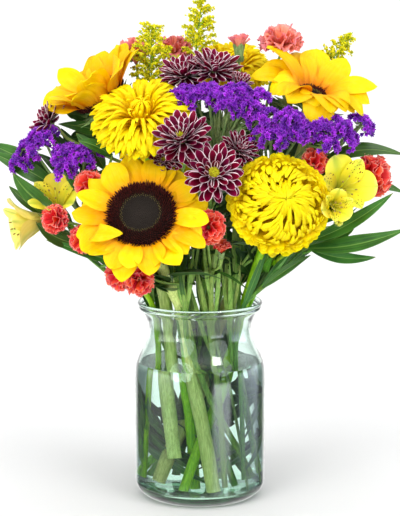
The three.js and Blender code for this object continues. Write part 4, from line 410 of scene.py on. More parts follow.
def strap(kit, spine, side, half, mat, chance, nv=4, cup=0.3, ripple=None, thick=0.3, at=None, turn=None, tip=None):
    """A petal or leaf: spine (n, 3), the direction of its width at each point, and its half width. cup lifts its edges."""
    t = unit(np.gradient(spine, axis=0))
    s = unit(side - np.sum(side * t, 1, keepdims=True) * t)
    n = np.cross(t, s)
    v = np.linspace(-1, 1, nv + 1)
    hw = np.asarray(half, float)[:, None]
    lift = np.asarray(cup, float) * np.ones(len(spine))
    z = lift[:, None] * hw * (v[None] ** 2 - 0.35)
    if ripple is not None:
        z = z + ripple
    p = spine[:, None] + s[:, None] * (v[None] * hw)[..., None] + n[:, None] * z[..., None]
    if tip is not None:
        p = p + t[:, None] * tip[..., None]
    shell(kit, p, thick, mat, chance, at, turn)


def loft(kit, rings, mat, chance, along=None, bulge=0.0):
    """A closed tube through the rings (n, k, 3), with its ends capped."""
    n, k = rings.shape[:2]
    t0, t1 = rings[0].mean(0), rings[-1].mean(0)
    if bulge:
        t0, t1 = t0 + (t0 - rings[1].mean(0)) * bulge, t1 + (t1 - rings[-2].mean(0)) * bulge
    v = np.vstack([rings.reshape(-1, 3), t0, t1])
    i, j = np.meshgrid(np.arange(n - 1), np.arange(k), indexing="ij")
    i, j = i.ravel(), j.ravel()
    j1 = (j + 1) % k
    f = np.stack([i * k + j, i * k + j1, (i + 1) * k + j1, (i + 1) * k + j], 1)
    uv = np.stack([np.stack([x / k, y / (n - 1)], 1) for x, y in [(j, i), (j + 1, i), (j + 1, i + 1), (j, i + 1)]], 1)
    j = np.arange(k)
    j1 = (j + 1) % k
    e = np.full(k, -1)
    c0 = np.stack([np.full(k, n * k), j1, j, e], 1)
    c1 = np.stack([np.full(k, n * k + 1), (n - 1) * k + j, (n - 1) * k + j1, e], 1)
    w = 2 * np.pi * j / k
    w1 = 2 * np.pi * (j + 1) / k
    disc = lambda q, cx: np.stack([cx + 0.22 * np.cos(q), 0.5 + 0.4 * np.sin(q)], 1)
    mid = lambda cx: np.tile([cx, 0.5], (k, 1))
    uc = np.vstack([np.stack([mid(0.25), disc(w1, 0.25), disc(w, 0.25), mid(0.25)], 1),
                    np.stack([mid(0.75), disc(w, 0.75), disc(w1, 0.75), mid(0.75)], 1)])
    s = np.linspace(0, 1, n) if along is None else np.asarray(along, float)
    kit.put(v, np.vstack([f, c0, c1]), np.vstack([uv, uc]), np.concatenate([np.zeros(len(f), int), np.ones(2 * k, int)]),
            mat, np.concatenate([np.repeat(s, k), [s[0], s[-1]]]),
            np.concatenate([np.tile(np.linspace(-1, 1, k), n), [0, 0]]), chance)


def tube(kit, path, radius, mat, chance, sides=8, ribs=0, rib=0.0, along=None, bulge=0.2, at=None, turn=None):
    """A round or ribbed stem along path (n, 3)."""
    if turn is not None:
        path = path @ turn + at
    t = unit(np.gradient(path, axis=0))
    n = len(path)
    x = np.zeros((n, 3))
    ref = np.array([0, 0, 1.0]) if abs(t[0][2]) < 0.8 else np.array([1.0, 0, 0])
    x[0] = unit(ref - (ref @ t[0]) * t[0])
    for i in range(1, n):
        x[i] = unit(x[i - 1] - (x[i - 1] @ t[i]) * t[i])
    y = np.cross(t, x)
    w = np.linspace(0, 2 * np.pi, sides, endpoint=False)
    r = np.asarray(radius, float) * np.ones(n)
    rr = r[:, None] * (1 + rib * np.cos(ribs * w)[None]) if ribs else r[:, None] * np.ones((1, sides))
    rings = path[:, None] + x[:, None] * (rr * np.cos(w))[..., None] + y[:, None] * (rr * np.sin(w))[..., None]
    loft(kit, rings, mat, chance, along, bulge)


def star(points, lobe, dip, height, base=0.0, low=None):
    """A small closed cup with a pointed rim: one template for scattering. Unit radius."""
    k = 2 * points
    w = np.arange(k) * 2 * np.pi / k
    r = np.where(np.arange(k) % 2 == 0, 1.0, lobe)
    rim = np.stack([r * np.cos(w), r * np.sin(w), np.where(np.arange(k) % 2 == 0, height, height * 0.8)], 1)
    mid = np.stack([0.45 * np.cos(w), 0.45 * np.sin(w), np.full(k, height * 0.52)], 1)
    v = np.vstack([rim, [[0, 0, height * dip]], [[0, 0, base]], mid * [0.75, 0.75, 0.55]])
    j = np.arange(k)
    j1 = (j + 1) % k
    e = np.full(k, -1)
    f = np.vstack([np.stack([np.full(k, k), j, j1, e], 1),
                   np.stack([j1, j, k + 2 + j, k + 2 + j1], 1),
                   np.stack([np.full(k, k + 1), k + 2 + j1, k + 2 + j, e], 1)])
    def uvs(cx, ra, wa):
        return np.stack([cx + 0.23 * ra * np.cos(wa), 0.5 + 0.46 * ra * np.sin(wa)], 1)
    w1 = w + 2 * np.pi / k
    uv = np.vstack([np.stack([uvs(0.25, 0, w), uvs(0.25, 1, w), uvs(0.25, 1, w1), uvs(0.25, 0, w)], 1),
                    np.stack([uvs(0.75, 1, w1), uvs(0.75, 1, w), uvs(0.75, 0.5, w), uvs(0.75, 0.5, w1)], 1),
                    np.stack([uvs(0.75, 0, w), uvs(0.75, 0.5, w1), uvs(0.75, 0.5, w), uvs(0.75, 0, w)], 1)])
    along = np.concatenate([np.ones(k), [0.45, 0.0], np.full(k, 0.4)])
    across = np.concatenate([np.where(j % 2 == 0, 1.0, 0.4), [0, 0], np.full(k, 0.2)])
    return v, f, uv, along, across


def bead(sides=6, rings=((0.0, 0.0), (0.72, 0.22), (1.0, 0.55), (0.62, 0.86), (0.0, 1.0))):
    """A small closed bead or bud from its profile of (radius, height)."""
    inner = rings[1:-1]
    w = np.arange(sides) * 2 * np.pi / sides
    v = [np.stack([r * np.cos(w), r * np.sin(w), np.full(sides, h)], 1) for r, h in inner]
    v = np.vstack(v + [np.array([[0, 0, rings[0][1]], [0, 0, rings[-1][1]]])])
    m = len(inner)
    f, uv = [], []
    j = np.arange(sides)
    j1 = (j + 1) % sides
    e = np.full(sides, -1)
    def at(jj, h):
        return np.stack([jj / sides, np.full(sides, h)], 1)
    for i in range(m - 1):
        f.append(np.stack([i * sides + j, i * sides + j1, (i + 1) * sides + j1, (i + 1) * sides + j], 1))
        uv.append(np.stack([at(j, inner[i][1]), at(j + 1, inner[i][1]), at(j + 1, inner[i + 1][1]), at(j, inner[i + 1][1])], 1))
    f.append(np.stack([np.full(sides, m * sides), j1, j, e], 1))
    uv.append(np.stack([at(j + 0.5, 0), at(j + 1, inner[0][1]), at(j, inner[0][1]), at(j + 0.5, 0)], 1))
    f.append(np.stack([np.full(sides, m * sides + 1), (m - 1) * sides + j, (m - 1) * sides + j1, e], 1))
    uv.append(np.stack([at(j + 0.5, 1), at(j, inner[-1][1]), at(j + 1, inner[-1][1]), at(j + 0.5, 1)], 1))
    along = np.concatenate([np.repeat([h for _, h in inner], sides), [rings[0][1], rings[-1][1]]])
    across = np.concatenate([np.tile(np.linspace(-1, 1, sides), m), [0, 0]])
    return v, np.vstack(f), np.vstack(uv), along, across


def scatter(kit, template, at, out, size, mat, chance, spin=None):
    """Copies of a template at each point, its z along out. size is (n, 3) or (n,), in millimetres."""
    v, f, uv, along, across = template
    at, out = np.asarray(at, float), unit(out)
    n, m = len(at), len(v)
    size = np.asarray(size, float)
    size = size[:, None] * np.ones((1, 3)) if size.ndim == 1 else size
    ref = np.where(np.abs(out[:, 2:]) < 0.9, [[0, 0, 1.0]], [[1.0, 0, 0]])
    x = unit(np.cross(ref, out))
    y = np.cross(out, x)
    if spin is None:
        spin = np.zeros(n)
    c, s = np.cos(spin)[:, None], np.sin(spin)[:, None]
    x, y = c * x + s * y, -s * x + c * y
    p = v[None] * size[:, None]
    p = at[:, None] + p[..., :1] * x[:, None] + p[..., 1:2] * y[:, None] + p[..., 2:] * out[:, None]
    ff = np.tile(f, (n, 1))
    add = np.repeat(np.arange(n) * m, len(f))[:, None]
    ff = np.where(ff < 0, -1, ff + add)
    kit.put(p.reshape(-1, 3), ff, np.tile(uv, (n, 1, 1)), np.repeat(np.arange(n), len(f)), mat,
            np.tile(along, n), np.tile(across, n), np.repeat(chance, m))


def finish_piece(kit, name, node, sharp=72):
    """Makes the mesh object, which rides on the one body and stands for its CAD node."""
    v = np.concatenate(kit.v) * 0.001
    f = np.concatenate(kit.f)
    uv = np.concatenate(kit.uv)
    cell = np.concatenate(kit.c)
    att = np.concatenate(kit.a)
    g = math.ceil(math.sqrt(kit.cells))
    uv = (np.stack([cell % g, cell // g], 1)[:, None] + 0.04 + 0.92 * uv) / g
    sizes = np.where(f[:, 3] < 0, 3, 4)
    keep = (np.arange(4)[None] < sizes[:, None]).ravel()
    me = bpy.data.meshes.new(name)
    me.vertices.add(len(v))
    me.vertices.foreach_set("co", v.astype(np.float32).ravel())
    loops = f.ravel()[keep]
    me.loops.add(len(loops))
    me.loops.foreach_set("vertex_index", loops.astype(np.int32))
    me.polygons.add(len(f))
    me.polygons.foreach_set("loop_start", np.concatenate([[0], np.cumsum(sizes)[:-1]]).astype(np.int32))
    names = []
    index = []
    for m, k in kit.m:
        if m not in names:
            names.append(m)
        index.append(np.full(k, names.index(m)))
    me.polygons.foreach_set("material_index", np.concatenate(index).astype(np.int32))
    for m in names:
        me.materials.append(material(m))
    me.update(calc_edges=True)
    layer = me.uv_layers.new(name="OFBake")
    layer.data.foreach_set("uv", uv.reshape(-1, 2)[keep].astype(np.float32).ravel())
    for k, key in enumerate(("along", "across", "chance")):
        me.attributes.new(key, "FLOAT", "POINT").data.foreach_set("value", att[:, k].astype(np.float32))
    me.shade_smooth()
    me.set_sharp_from_angle(angle=math.radians(sharp))
    me.validate()
    ob = bpy.data.objects.new(name, me)
    scene.collection.objects.link(ob)
    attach(ob, "root")
    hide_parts(node)
    return ob


# ---------------------------------------------------------------- materials
class Net:
    def __init__(self, name):
        self.mat = bpy.data.materials.new(name)
        self.mat.use_nodes = True
        self.t = self.mat.node_tree
        self.t.nodes.clear()
        self.out = self.t.nodes.new("ShaderNodeOutputMaterial")

    def node(self, kind, **props):
        n = self.t.nodes.new(kind)
        for k, v in props.items():
            setattr(n, k, v)
        return n

    def put(self, socket, value):
        if isinstance(value, bpy.types.NodeSocket):
            self.t.links.new(value, socket)
        elif isinstance(value, (tuple, list)) and len(value) == 3 and len(getattr(socket, "default_value", ())) == 4:
            socket.default_value = (*value, 1)
        else:
            socket.default_value = value

    def attr(self, name):
        return self.node("ShaderNodeAttribute", attribute_name=name).outputs["Fac"]

    def math(self, op, a, b=0.0, c=None, clamp=False):
        n = self.node("ShaderNodeMath", operation=op, use_clamp=clamp)
        self.put(n.inputs[0], a)
        self.put(n.inputs[1], b)
        if c is not None:
            self.put(n.inputs[2], c)
        return n.outputs[0]

    def rise(self, x, a, b, low=0.0, high=1.0):
        n = self.node("ShaderNodeMapRange", interpolation_type="SMOOTHSTEP")
        for s, v in zip(n.inputs[:5], (x, a, b, low, high)):
            self.put(s, v)
        return n.outputs[0]

    def mix(self, fac, a, b, blend="MIX"):
        n = self.node("ShaderNodeMix", data_type="RGBA", blend_type=blend)
        self.put(n.inputs[0], fac)
        self.put(n.inputs[6], a)
        self.put(n.inputs[7], b)
        return n.outputs[2]

    def ramp(self, fac, stops):
        n = self.node("ShaderNodeValToRGB")
        self.put(n.inputs[0], fac)
        e = n.color_ramp.elements
        while len(e) < len(stops):
            e.new(0.5)
        for el, (p, c) in zip(e, stops):
            el.position = p
            el.color = (*c, 1) if len(c) == 3 else c
        return n.outputs[0]

    def join(self, x, y, z):
        n = self.node("ShaderNodeCombineXYZ")
        for s, v in zip(n.inputs, (x, y, z)):
            self.put(s, v)
        return n.outputs[0]

    def noise(self, vector, scale, detail=3.0, rough=0.55, lac=2.0):
        n = self.node("ShaderNodeTexNoise")
        self.put(n.inputs["Vector"], vector)
        self.put(n.inputs["Scale"], scale)
        self.put(n.inputs["Detail"], detail)
        self.put(n.inputs["Roughness"], rough)
        return n.outputs["Fac"]

    def place(self):
        return self.node("ShaderNodeTexCoord").outputs["Object"]

    def hue(self, colour, h=0.5, s=1.0, v=1.0):
        n = self.node("ShaderNodeHueSaturation")
        self.put(n.inputs["Hue"], h)
        self.put(n.inputs["Saturation"], s)
        self.put(n.inputs["Value"], v)
        self.put(n.inputs["Color"], colour)
        return n.outputs[0]

    def bump(self, height, strength=0.4, distance=0.0003):
        n = self.node("ShaderNodeBump")
        n.inputs["Strength"].default_value = strength
        n.inputs["Distance"].default_value = distance
        self.put(n.inputs["Height"], height)
        return n.outputs[0]

    def surface(self, colour, rough, normal=None, through=0.0, glow=None, **fixed):
        p = self.node("ShaderNodeBsdfPrincipled")
        self.put(p.inputs["Base Color"], colour)
        self.put(p.inputs["Roughness"], rough)
        if normal is not None:
            self.put(p.inputs["Normal"], normal)
        for k, v in fixed.items():
            p.inputs[k.replace("_", " ")].default_value = v
        shader = p.outputs[0]
        if through:
            t = self.node("ShaderNodeBsdfTranslucent")
            self.put(t.inputs["Color"], colour if glow is None else glow)
            if normal is not None:
                self.put(t.inputs["Normal"], normal)
            m = self.node("ShaderNodeMixShader")
            m.inputs[0].default_value = through
            self.t.links.new(shader, m.inputs[1])
            self.t.links.new(t.outputs[0], m.inputs[2])
            shader = m.outputs[0]
        self.t.links.new(shader, self.out.inputs["Surface"])
        return p


def petal_skin(n, stops, vein=0.10, fine=26.0, shift=0.02, bright=0.16, rough=0.5, through=0.3, bump=0.35, edge=None,
               edge_at=(0.72, 0.95), tips=None, mottle=0.08):
    """The shared look of petals: a colour run from root to tip, long veins, a small shift for each petal, soft mottling."""
    s, t, c = n.attr("along"), n.attr("across"), n.attr("chance")
    col = n.ramp(s, stops)
    veins = n.noise(n.join(n.math("MULTIPLY", t, fine * 0.5), n.math("MULTIPLY", s, 1.6), n.math("MULTIPLY", c, 37.0)), 1.0, 2.0, 0.6)
    blot = n.noise(n.place(), 160.0, 3.0, 0.6)
    if edge is not None:
        far = n.math("ABSOLUTE", t)
        wob = n.math("MULTIPLY_ADD", n.noise(n.join(n.math("MULTIPLY", s, 7.0), n.math("MULTIPLY", c, 51.0), t), 1.0, 2.0), 0.22, n.math("ADD", far, -0.11))
        m = n.rise(wob, *edge_at)
        if tips is not None:
            m = n.math("MAXIMUM", m, n.rise(n.math("MULTIPLY_ADD", veins, 0.12, n.math("ADD", s, -0.06)), *tips))
        col = n.mix(m, col, edge)
    col = n.mix(n.rise(veins, 0.35, 0.7, 0.0, vein * 2.2), col, n.hue(col, 0.49, 1.05, 0.62))
    col = n.mix(n.rise(blot, 0.4, 0.75, 0.0, mottle * 2), col, n.hue(col, 0.505, 0.9, 1.18))
    col = n.hue(col, n.math("MULTIPLY_ADD", c, shift, 0.5 - shift / 2), 1.0, n.math("MULTIPLY_ADD", c, bright, 1.0 - bright * 0.55))
    height = n.math("MULTIPLY_ADD", veins, 1.0, n.math("MULTIPLY", blot, 0.35))
    r = n.rise(blot, 0.3, 0.7, rough - 0.06, rough + 0.08)
    return n.surface(col, r, n.bump(height, bump, 0.00035), through, glow=n.hue(col, 0.5, 1.08, 1.0), Specular_IOR_Level=0.18)


def make_sun(n):
    petal_skin(n, [(0.0, (0.75, 0.22, 0.0)), (0.14, (1.0, 0.50, 0.0)), (0.36, (1.0, 0.69, 0.0)), (0.8, (1.0, 0.77, 0.0)),
                   (1.0, (1.0, 0.81, 0.004))], vein=0.10, fine=22, shift=0.018, bright=0.14, rough=0.48, through=0.34, bump=0.45)


def make_mum(n):
    petal_skin(n, [(0.0, (0.97, 0.68, 0.0)), (0.35, (1.0, 0.84, 0.0)), (0.75, (1.0, 0.91, 0.004)), (1.0, (1.0, 0.94, 0.02))],
               vein=0.05, fine=12, shift=0.012, bright=0.10, rough=0.55, through=0.5, bump=0.3)


def make_burgundy(n):
    petal_skin(n, [(0.0, (0.04, 0.0, 0.006)), (0.4, (0.12, 0.0, 0.016)), (0.85, (0.26, 0.0, 0.042)), (1.0, (0.36, 0.01, 0.08))],
               vein=0.10, fine=14, shift=0.02, bright=0.3, rough=0.42, through=0.14, bump=0.4, mottle=0.03,
               edge=(1.0, 0.80, 0.86), edge_at=(0.74, 0.90), tips=(0.94, 0.995))


def make_coral(n):
    petal_skin(n, [(0.0, (0.92, 0.035, 0.02)), (0.45, (1.0, 0.075, 0.05)), (0.8, (1.0, 0.16, 0.11)), (0.92, (1.0, 0.32, 0.25)),
                   (1.0, (1.0, 0.60, 0.52))], vein=0.12, fine=26, shift=0.03, bright=0.26, rough=0.5, through=0.3, bump=0.5)


def make_coral_pale(n):
    petal_skin(n, [(0.0, (0.95, 0.30, 0.15)), (0.45, (1.0, 0.36, 0.26)), (0.8, (1.0, 0.40, 0.36)), (0.93, (1.0, 0.26, 0.30)), (1.0, (1.0, 0.58, 0.56))],
               vein=0.16, fine=26, shift=0.04, bright=0.24, rough=0.5, through=0.34, bump=0.5)


def lily_skin(n, flecked, pale=False):
    s, t, c = n.attr("along"), n.attr("across"), n.attr("chance")
    veins = n.noise(n.join(n.math("MULTIPLY", t, 9.0), n.math("MULTIPLY", s, 1.3), n.math("MULTIPLY", c, 31.0)), 1.0, 2.0, 0.55)
    col = n.ramp(s, [(0.0, (0.62, 0.64, 0.10)), (0.3, (0.96, 0.84, 0.04)), (0.7, (1.0, 0.92, 0.09)), (1.0, (0.98, 0.95, 0.34))])
    if pale:
        col = n.ramp(s, [(0.0, (0.62, 0.64, 0.12)), (0.3, (0.96, 0.86, 0.20)), (0.7, (1.0, 0.92, 0.28)), (1.0, (0.99, 0.95, 0.50))])
    mid = n.math("SUBTRACT", 1.0, n.math("ABSOLUTE", t))
    green = n.math("MULTIPLY", n.rise(mid, 0.55, 1.0), n.rise(s, 0.15, 0.9, 0.15, 0.6))
    tipg = n.rise(s, 0.86, 1.0, 0.0, 0.55)
    col = n.mix(n.math("MAXIMUM", green, tipg), col, (0.42, 0.62, 0.04))
    col = n.mix(n.rise(veins, 0.42, 0.7, 0.0, 0.35), col, (0.84, 0.78, 0.08))
    if flecked:
        f = n.node("ShaderNodeTexVoronoi", feature="F1")
        n.put(f.inputs["Vector"], n.join(n.math("MULTIPLY", t, 3.2), n.math("MULTIPLY", s, 9.0), n.math("MULTIPLY", c, 17.0)))
        f.inputs["Scale"].default_value = 1.35
        zone = n.math("MULTIPLY", n.rise(s, 0.3, 0.42), n.rise(s, 0.86, 0.7))
        dots = n.math("MULTIPLY", n.rise(f.outputs["Distance"], 0.30, 0.2), zone)
        col = n.mix(dots, col, (0.16, 0.025, 0.006))
    col = n.hue(col, n.math("MULTIPLY_ADD", c, 0.02, 0.49), 1.0, n.math("MULTIPLY_ADD", c, 0.14, 0.93))
    n.surface(col, n.rise(veins, 0.3, 0.7, 0.36, 0.5), n.bump(veins, 0.4, 0.0004), 0.4, Specular_IOR_Level=0.4)


def make_lily(n):
    lily_skin(n, False)


def make_lily_pale(n):
    lily_skin(n, False, True)


def make_lily_flecked(n):
    lily_skin(n, True)


def make_violet(n):
    s, t, c = n.attr("along"), n.attr("across"), n.attr("chance")
    grain = n.noise(n.place(), 900.0, 2.0)
    col = n.ramp(s, [(0.0, (0.08, 0.12, 0.025)), (0.25, (0.045, 0.0, 0.10)), (0.6, (0.13, 0.0, 0.34)), (0.92, (0.26, 0.004, 0.62)),
                     (1.0, (0.50, 0.12, 0.86))])
    col = n.hue(col, n.math("MULTIPLY_ADD", c, 0.05, 0.48), 1.0, n.math("MULTIPLY_ADD", c, 0.7, 0.55))
    col = n.mix(n.rise(grain, 0.45, 0.7, 0.0, 0.35), col, n.hue(col, 0.5, 0.8, 1.5))
    n.surface(col, n.rise(grain, 0.3, 0.7, 0.55, 0.75), n.bump(grain, 0.5, 0.0003), 0.25, Specular_IOR_Level=0.3)


def make_golden(n):
    s, c = n.attr("along"), n.attr("chance")
    grain = n.noise(n.place(), 1400.0, 2.0)
    col = n.ramp(c, [(0.0, (0.48, 0.56, 0.02)), (0.3, (0.82, 0.80, 0.01)), (0.7, (0.97, 0.88, 0.01)), (1.0, (1.0, 0.93, 0.05))])
    col = n.mix(n.rise(s, 0.35, 0.0, 0.0, 0.6), col, (0.36, 0.48, 0.02))
    n.surface(col, n.rise(grain, 0.3, 0.7, 0.5, 0.7), n.bump(grain, 0.5, 0.0002), 0.3, Specular_IOR_Level=0.3)


def leaf_skin(n, dark, light, mid, rough=0.33, through=0.16, fine=20.0):
    s, t, c = n.attr("along"), n.attr("across"), n.attr("chance")
    lines = n.noise(n.join(n.math("MULTIPLY", t, fine), n.math("MULTIPLY", s, 1.1), n.math("MULTIPLY", c, 29.0)), 1.0, 2.0, 0.5)
    blot = n.noise(n.place(), 55.0, 4.0, 0.6)
    col = n.mix(n.rise(n.math("MULTIPLY_ADD", lines, 0.6, n.math("MULTIPLY", blot, 0.4)), 0.35, 0.65), dark, light)
    rib = n.rise(n.math("ABSOLUTE", t), 0.10, 0.02, 0.0, 0.75)
    col = n.mix(rib, col, mid)
    col = n.mix(n.rise(n.math("ABSOLUTE", t), 0.86, 1.0, 0.0, 0.35), col, mid)
    col = n.mix(n.rise(s, 0.93, 1.0, 0.0, 0.4), col, (0.30, 0.26, 0.05))
    col = n.hue(col, n.math("MULTIPLY_ADD", c, 0.03, 0.485), 1.0, n.math("MULTIPLY_ADD", c, 0.5, 0.75))
    h = n.math("MULTIPLY_ADD", lines, 1.0, n.math("MULTIPLY", rib, -1.2))
    n.surface(col, n.rise(blot, 0.3, 0.7, rough - 0.05, rough + 0.12), n.bump(h, 0.4, 0.0004), through,
              glow=n.hue(col, 0.48, 1.1, 1.7), Specular_IOR_Level=0.5)


def make_leaf(n):
    leaf_skin(n, (0.022, 0.085, 0.012), (0.06, 0.19, 0.02), (0.20, 0.36, 0.07))


def make_leaf_bright(n):
    leaf_skin(n, (0.05, 0.17, 0.012), (0.13, 0.34, 0.02), (0.30, 0.50, 0.08), fine=14.0)


def make_leaf_dark(n):
    leaf_skin(n, (0.020, 0.065, 0.012), (0.050, 0.135, 0.022), (0.11, 0.22, 0.05), rough=0.42, through=0.12, fine=9.0)


def stem_skin(n, dark, light, warm, rough=0.45, fine=9.0):
    s, t, c = n.attr("along"), n.attr("across"), n.attr("chance")
    run = n.noise(n.join(n.math("MULTIPLY", n.math("SINE", n.math("MULTIPLY", t, 3.14159)), fine), n.math("MULTIPLY", s, 26.0), n.math("MULTIPLY", c, 41.0)), 1.0, 3.0, 0.55)
    place = n.node("ShaderNodeMapping")
    place.inputs["Scale"].default_value = (1.0, 1.0, 0.12)
    n.put(place.inputs["Vector"], n.place())
    streak = n.noise(place.outputs[0], 700.0, 3.0, 0.6)
    blot = n.noise(n.place(), 70.0, 4.0, 0.6)
    col = n.mix(n.rise(n.math("MULTIPLY_ADD", run, 0.5, n.math("MULTIPLY", streak, 0.5)), 0.36, 0.64), dark, light)
    col = n.mix(n.rise(blot, 0.52, 0.78, 0.0, 0.6), col, warm)
    col = n.hue(col, n.math("MULTIPLY_ADD", c, 0.03, 0.485), 1.0, n.math("MULTIPLY_ADD", c, 0.34, 0.82))
    n.surface(col, n.rise(blot, 0.3, 0.7, rough - 0.07, rough + 0.12), n.bump(n.math("MULTIPLY_ADD", streak, 0.7, n.math("MULTIPLY", run, 0.5)), 0.45, 0.0004),
              0.0, Specular_IOR_Level=0.3, Subsurface_Weight=0.12, Subsurface_Radius=(0.5, 1.0, 0.2), Subsurface_Scale=0.002)


# the sunflower stems: a pale green that is partly their own colour and partly painted light, lightened to stand in for
# the light that reaches the stems inside the vase through the glass
def make_stem_thick(n):
    stem_skin(n, (0.44, 0.54, 0.13), (0.76, 0.84, 0.30), (0.84, 0.84, 0.36), 0.5)


def make_stem_mid(n):
    stem_skin(n, (0.13, 0.28, 0.045), (0.34, 0.54, 0.11), (0.46, 0.54, 0.16), 0.45)


def make_stem_dark(n):
    stem_skin(n, (0.055, 0.17, 0.018), (0.16, 0.36, 0.04), (0.28, 0.34, 0.07), 0.42)


def make_stem_bright(n):
    stem_skin(n, (0.16, 0.40, 0.004), (0.38, 0.70, 0.014), (0.56, 0.72, 0.05), 0.4)


def make_calyx(n):
    stem_skin(n, (0.11, 0.20, 0.06), (0.25, 0.38, 0.13), (0.34, 0.40, 0.16), 0.5, 14.0)


def make_wing(n):
    stem_skin(n, (0.12, 0.20, 0.06), (0.30, 0.42, 0.15), (0.36, 0.42, 0.16), 0.55, 12.0)


def make_disc_outer(n):
    s, c = n.attr("along"), n.attr("chance")
    grain = n.noise(n.place(), 1500.0, 2.0)
    col = n.ramp(s, [(0.0, (0.012, 0.002, 0.002)), (0.6, (0.034, 0.005, 0.005)), (1.0, (0.095, 0.016, 0.012))])
    col = n.mix(n.rise(c, 0.6, 1.0, 0.0, 0.5), col, (0.10, 0.016, 0.010))
    n.surface(col, n.rise(grain, 0.3, 0.7, 0.65, 0.85), n.bump(grain, 0.6, 0.0003), 0.0, Specular_IOR_Level=0.15)


def make_disc_inner(n):
    s, c = n.attr("along"), n.attr("chance")
    grain = n.noise(n.place(), 1700.0, 2.0)
    col = n.ramp(s, [(0.0, (0.006, 0.004, 0.003)), (0.7, (0.014, 0.010, 0.008)), (1.0, (0.034, 0.027, 0.022))])
    col = n.mix(n.rise(c, 0.2, 1.0, 0.0, 0.5), col, (0.020, 0.016, 0.013))
    n.surface(col, n.rise(grain, 0.3, 0.7, 0.6, 0.8), n.bump(grain, 0.6, 0.0003), 0.0, Specular_IOR_Level=0.12)


def make_disc_ring(n):
    s, c = n.attr("along"), n.attr("chance")
    grain = n.noise(n.place(), 1700.0, 2.0)
    col = n.ramp(s, [(0.0, (0.02, 0.014, 0.006)), (1.0, (0.17, 0.13, 0.035))])
    n.surface(col, n.rise(grain, 0.3, 0.7, 0.6, 0.8), n.bump(grain, 0.6, 0.0003), 0.0, Specular_IOR_Level=0.25)


def make_eye(n):
    s, c = n.attr("along"), n.attr("chance")
    grain = n.noise(n.place(), 1500.0, 2.0)
    col = n.ramp(s, [(0.0, (0.20, 0.22, 0.01)), (1.0, (0.72, 0.66, 0.02))])
    col = n.hue(col, n.math("MULTIPLY_ADD", c, 0.04, 0.48), 1.0, n.math("MULTIPLY_ADD", c, 0.4, 0.8))
    n.surface(col, n.rise(grain, 0.3, 0.7, 0.55, 0.75), n.bump(grain, 0.5, 0.0003), 0.15, Specular_IOR_Level=0.3)


def make_anther(n):
    s, c = n.attr("along"), n.attr("chance")
    grain = n.noise(n.place(), 1500.0, 2.0)
    col = n.mix(n.rise(grain, 0.35, 0.65), (0.22, 0.12, 0.03), (0.42, 0.30, 0.06))
    n.surface(col, n.rise(grain, 0.3, 0.7, 0.6, 0.8), n.bump(grain, 0.5, 0.0003), 0.0, Specular_IOR_Level=0.3)


def make_glass(n):
    sway = n.noise(n.place(), 9.0, 2.0, 0.5)
    seed = n.noise(n.place(), 42.0, 3.0, 0.6)
    smear = n.noise(n.place(), 26.0, 4.0, 0.65)
    h = n.math("MULTIPLY_ADD", sway, 1.0, n.math("MULTIPLY", seed, 0.16))
    g = n.surface((0.93, 0.985, 0.965), n.rise(smear, 0.45, 0.8, 0.0, 0.035), n.bump(h, 0.35, 0.0009), 0.0,
                  Transmission_Weight=1.0, IOR=1.5)
    a = n.node("ShaderNodeVolumeAbsorption")
    a.inputs["Color"].default_value = (0.50, 0.76, 0.60, 1)
    a.inputs["Density"].default_value = 62.0
    n.t.links.new(a.outputs[0], n.out.inputs["Volume"])


def make_water(n):
    still = n.noise(n.place(), 30.0, 2.0, 0.5)
    n.surface((0.985, 1.0, 0.995), n.rise(still, 0.4, 0.8, 0.0, 0.012), n.bump(still, 0.12, 0.0005), 0.0,
              Transmission_Weight=1.0, IOR=1.333)
    a = n.node("ShaderNodeVolumeAbsorption")
    a.inputs["Color"].default_value = (0.70, 0.92, 0.86, 1)
    a.inputs["Density"].default_value = 3.0
    n.t.links.new(a.outputs[0], n.out.inputs["Volume"])


def make_floor(n):
    grain = n.noise(n.place(), 3.0, 3.0)
    n.surface(n.mix(n.rise(grain, 0.3, 0.7), (0.755, 0.755, 0.755), (0.775, 0.775, 0.775)), 0.9, None, 0.0, Specular_IOR_Level=0.1)


MAKERS = {"sun": make_sun, "mum": make_mum, "burgundy": make_burgundy, "coral": make_coral, "coral_pale": make_coral_pale,
          "lily": make_lily, "lily_flecked": make_lily_flecked, "lily_pale": make_lily_pale, "violet": make_violet, "golden": make_golden, "leaf": make_leaf,
          "leaf_bright": make_leaf_bright, "leaf_dark": make_leaf_dark, "stem_thick": make_stem_thick, "stem_mid": make_stem_mid,
          "stem_dark": make_stem_dark, "stem_bright": make_stem_bright, "calyx": make_calyx, "wing": make_wing,
          "disc_outer": make_disc_outer, "disc_inner": make_disc_inner, "disc_ring": make_disc_ring, "eye": make_eye,
          "anther": make_anther, "glass": make_glass, "water": make_water, "floor": make_floor}
_made = {}


def material(name):
    if name not in _made:
        net = Net(name)
        MAKERS[name](net)
        _made[name] = net.mat
    return _made[name]


# ---------------------------------------------------------------- flowers
GOLD = math.pi * (3 - math.sqrt(5))


def petal_width(u, w, low=0.34, belly=0.5, point=2.0, power=0.72):
    """Half width along a petal: narrow foot, full belly, rounded point."""
    a = low + (1 - low) * np.sin(np.pi / 2 * np.clip(u / belly, 0, 1)) ** 1.15
    b = np.clip(1 - np.clip((u - belly) / (1 - belly), 0, 1) ** point, 0, 1) ** power
    return 0.5 * w * np.minimum(a, b) + 0.12


def tip_spacing(n):
    return np.sin(np.linspace(0, np.pi / 2, n + 1)) ** 0.92


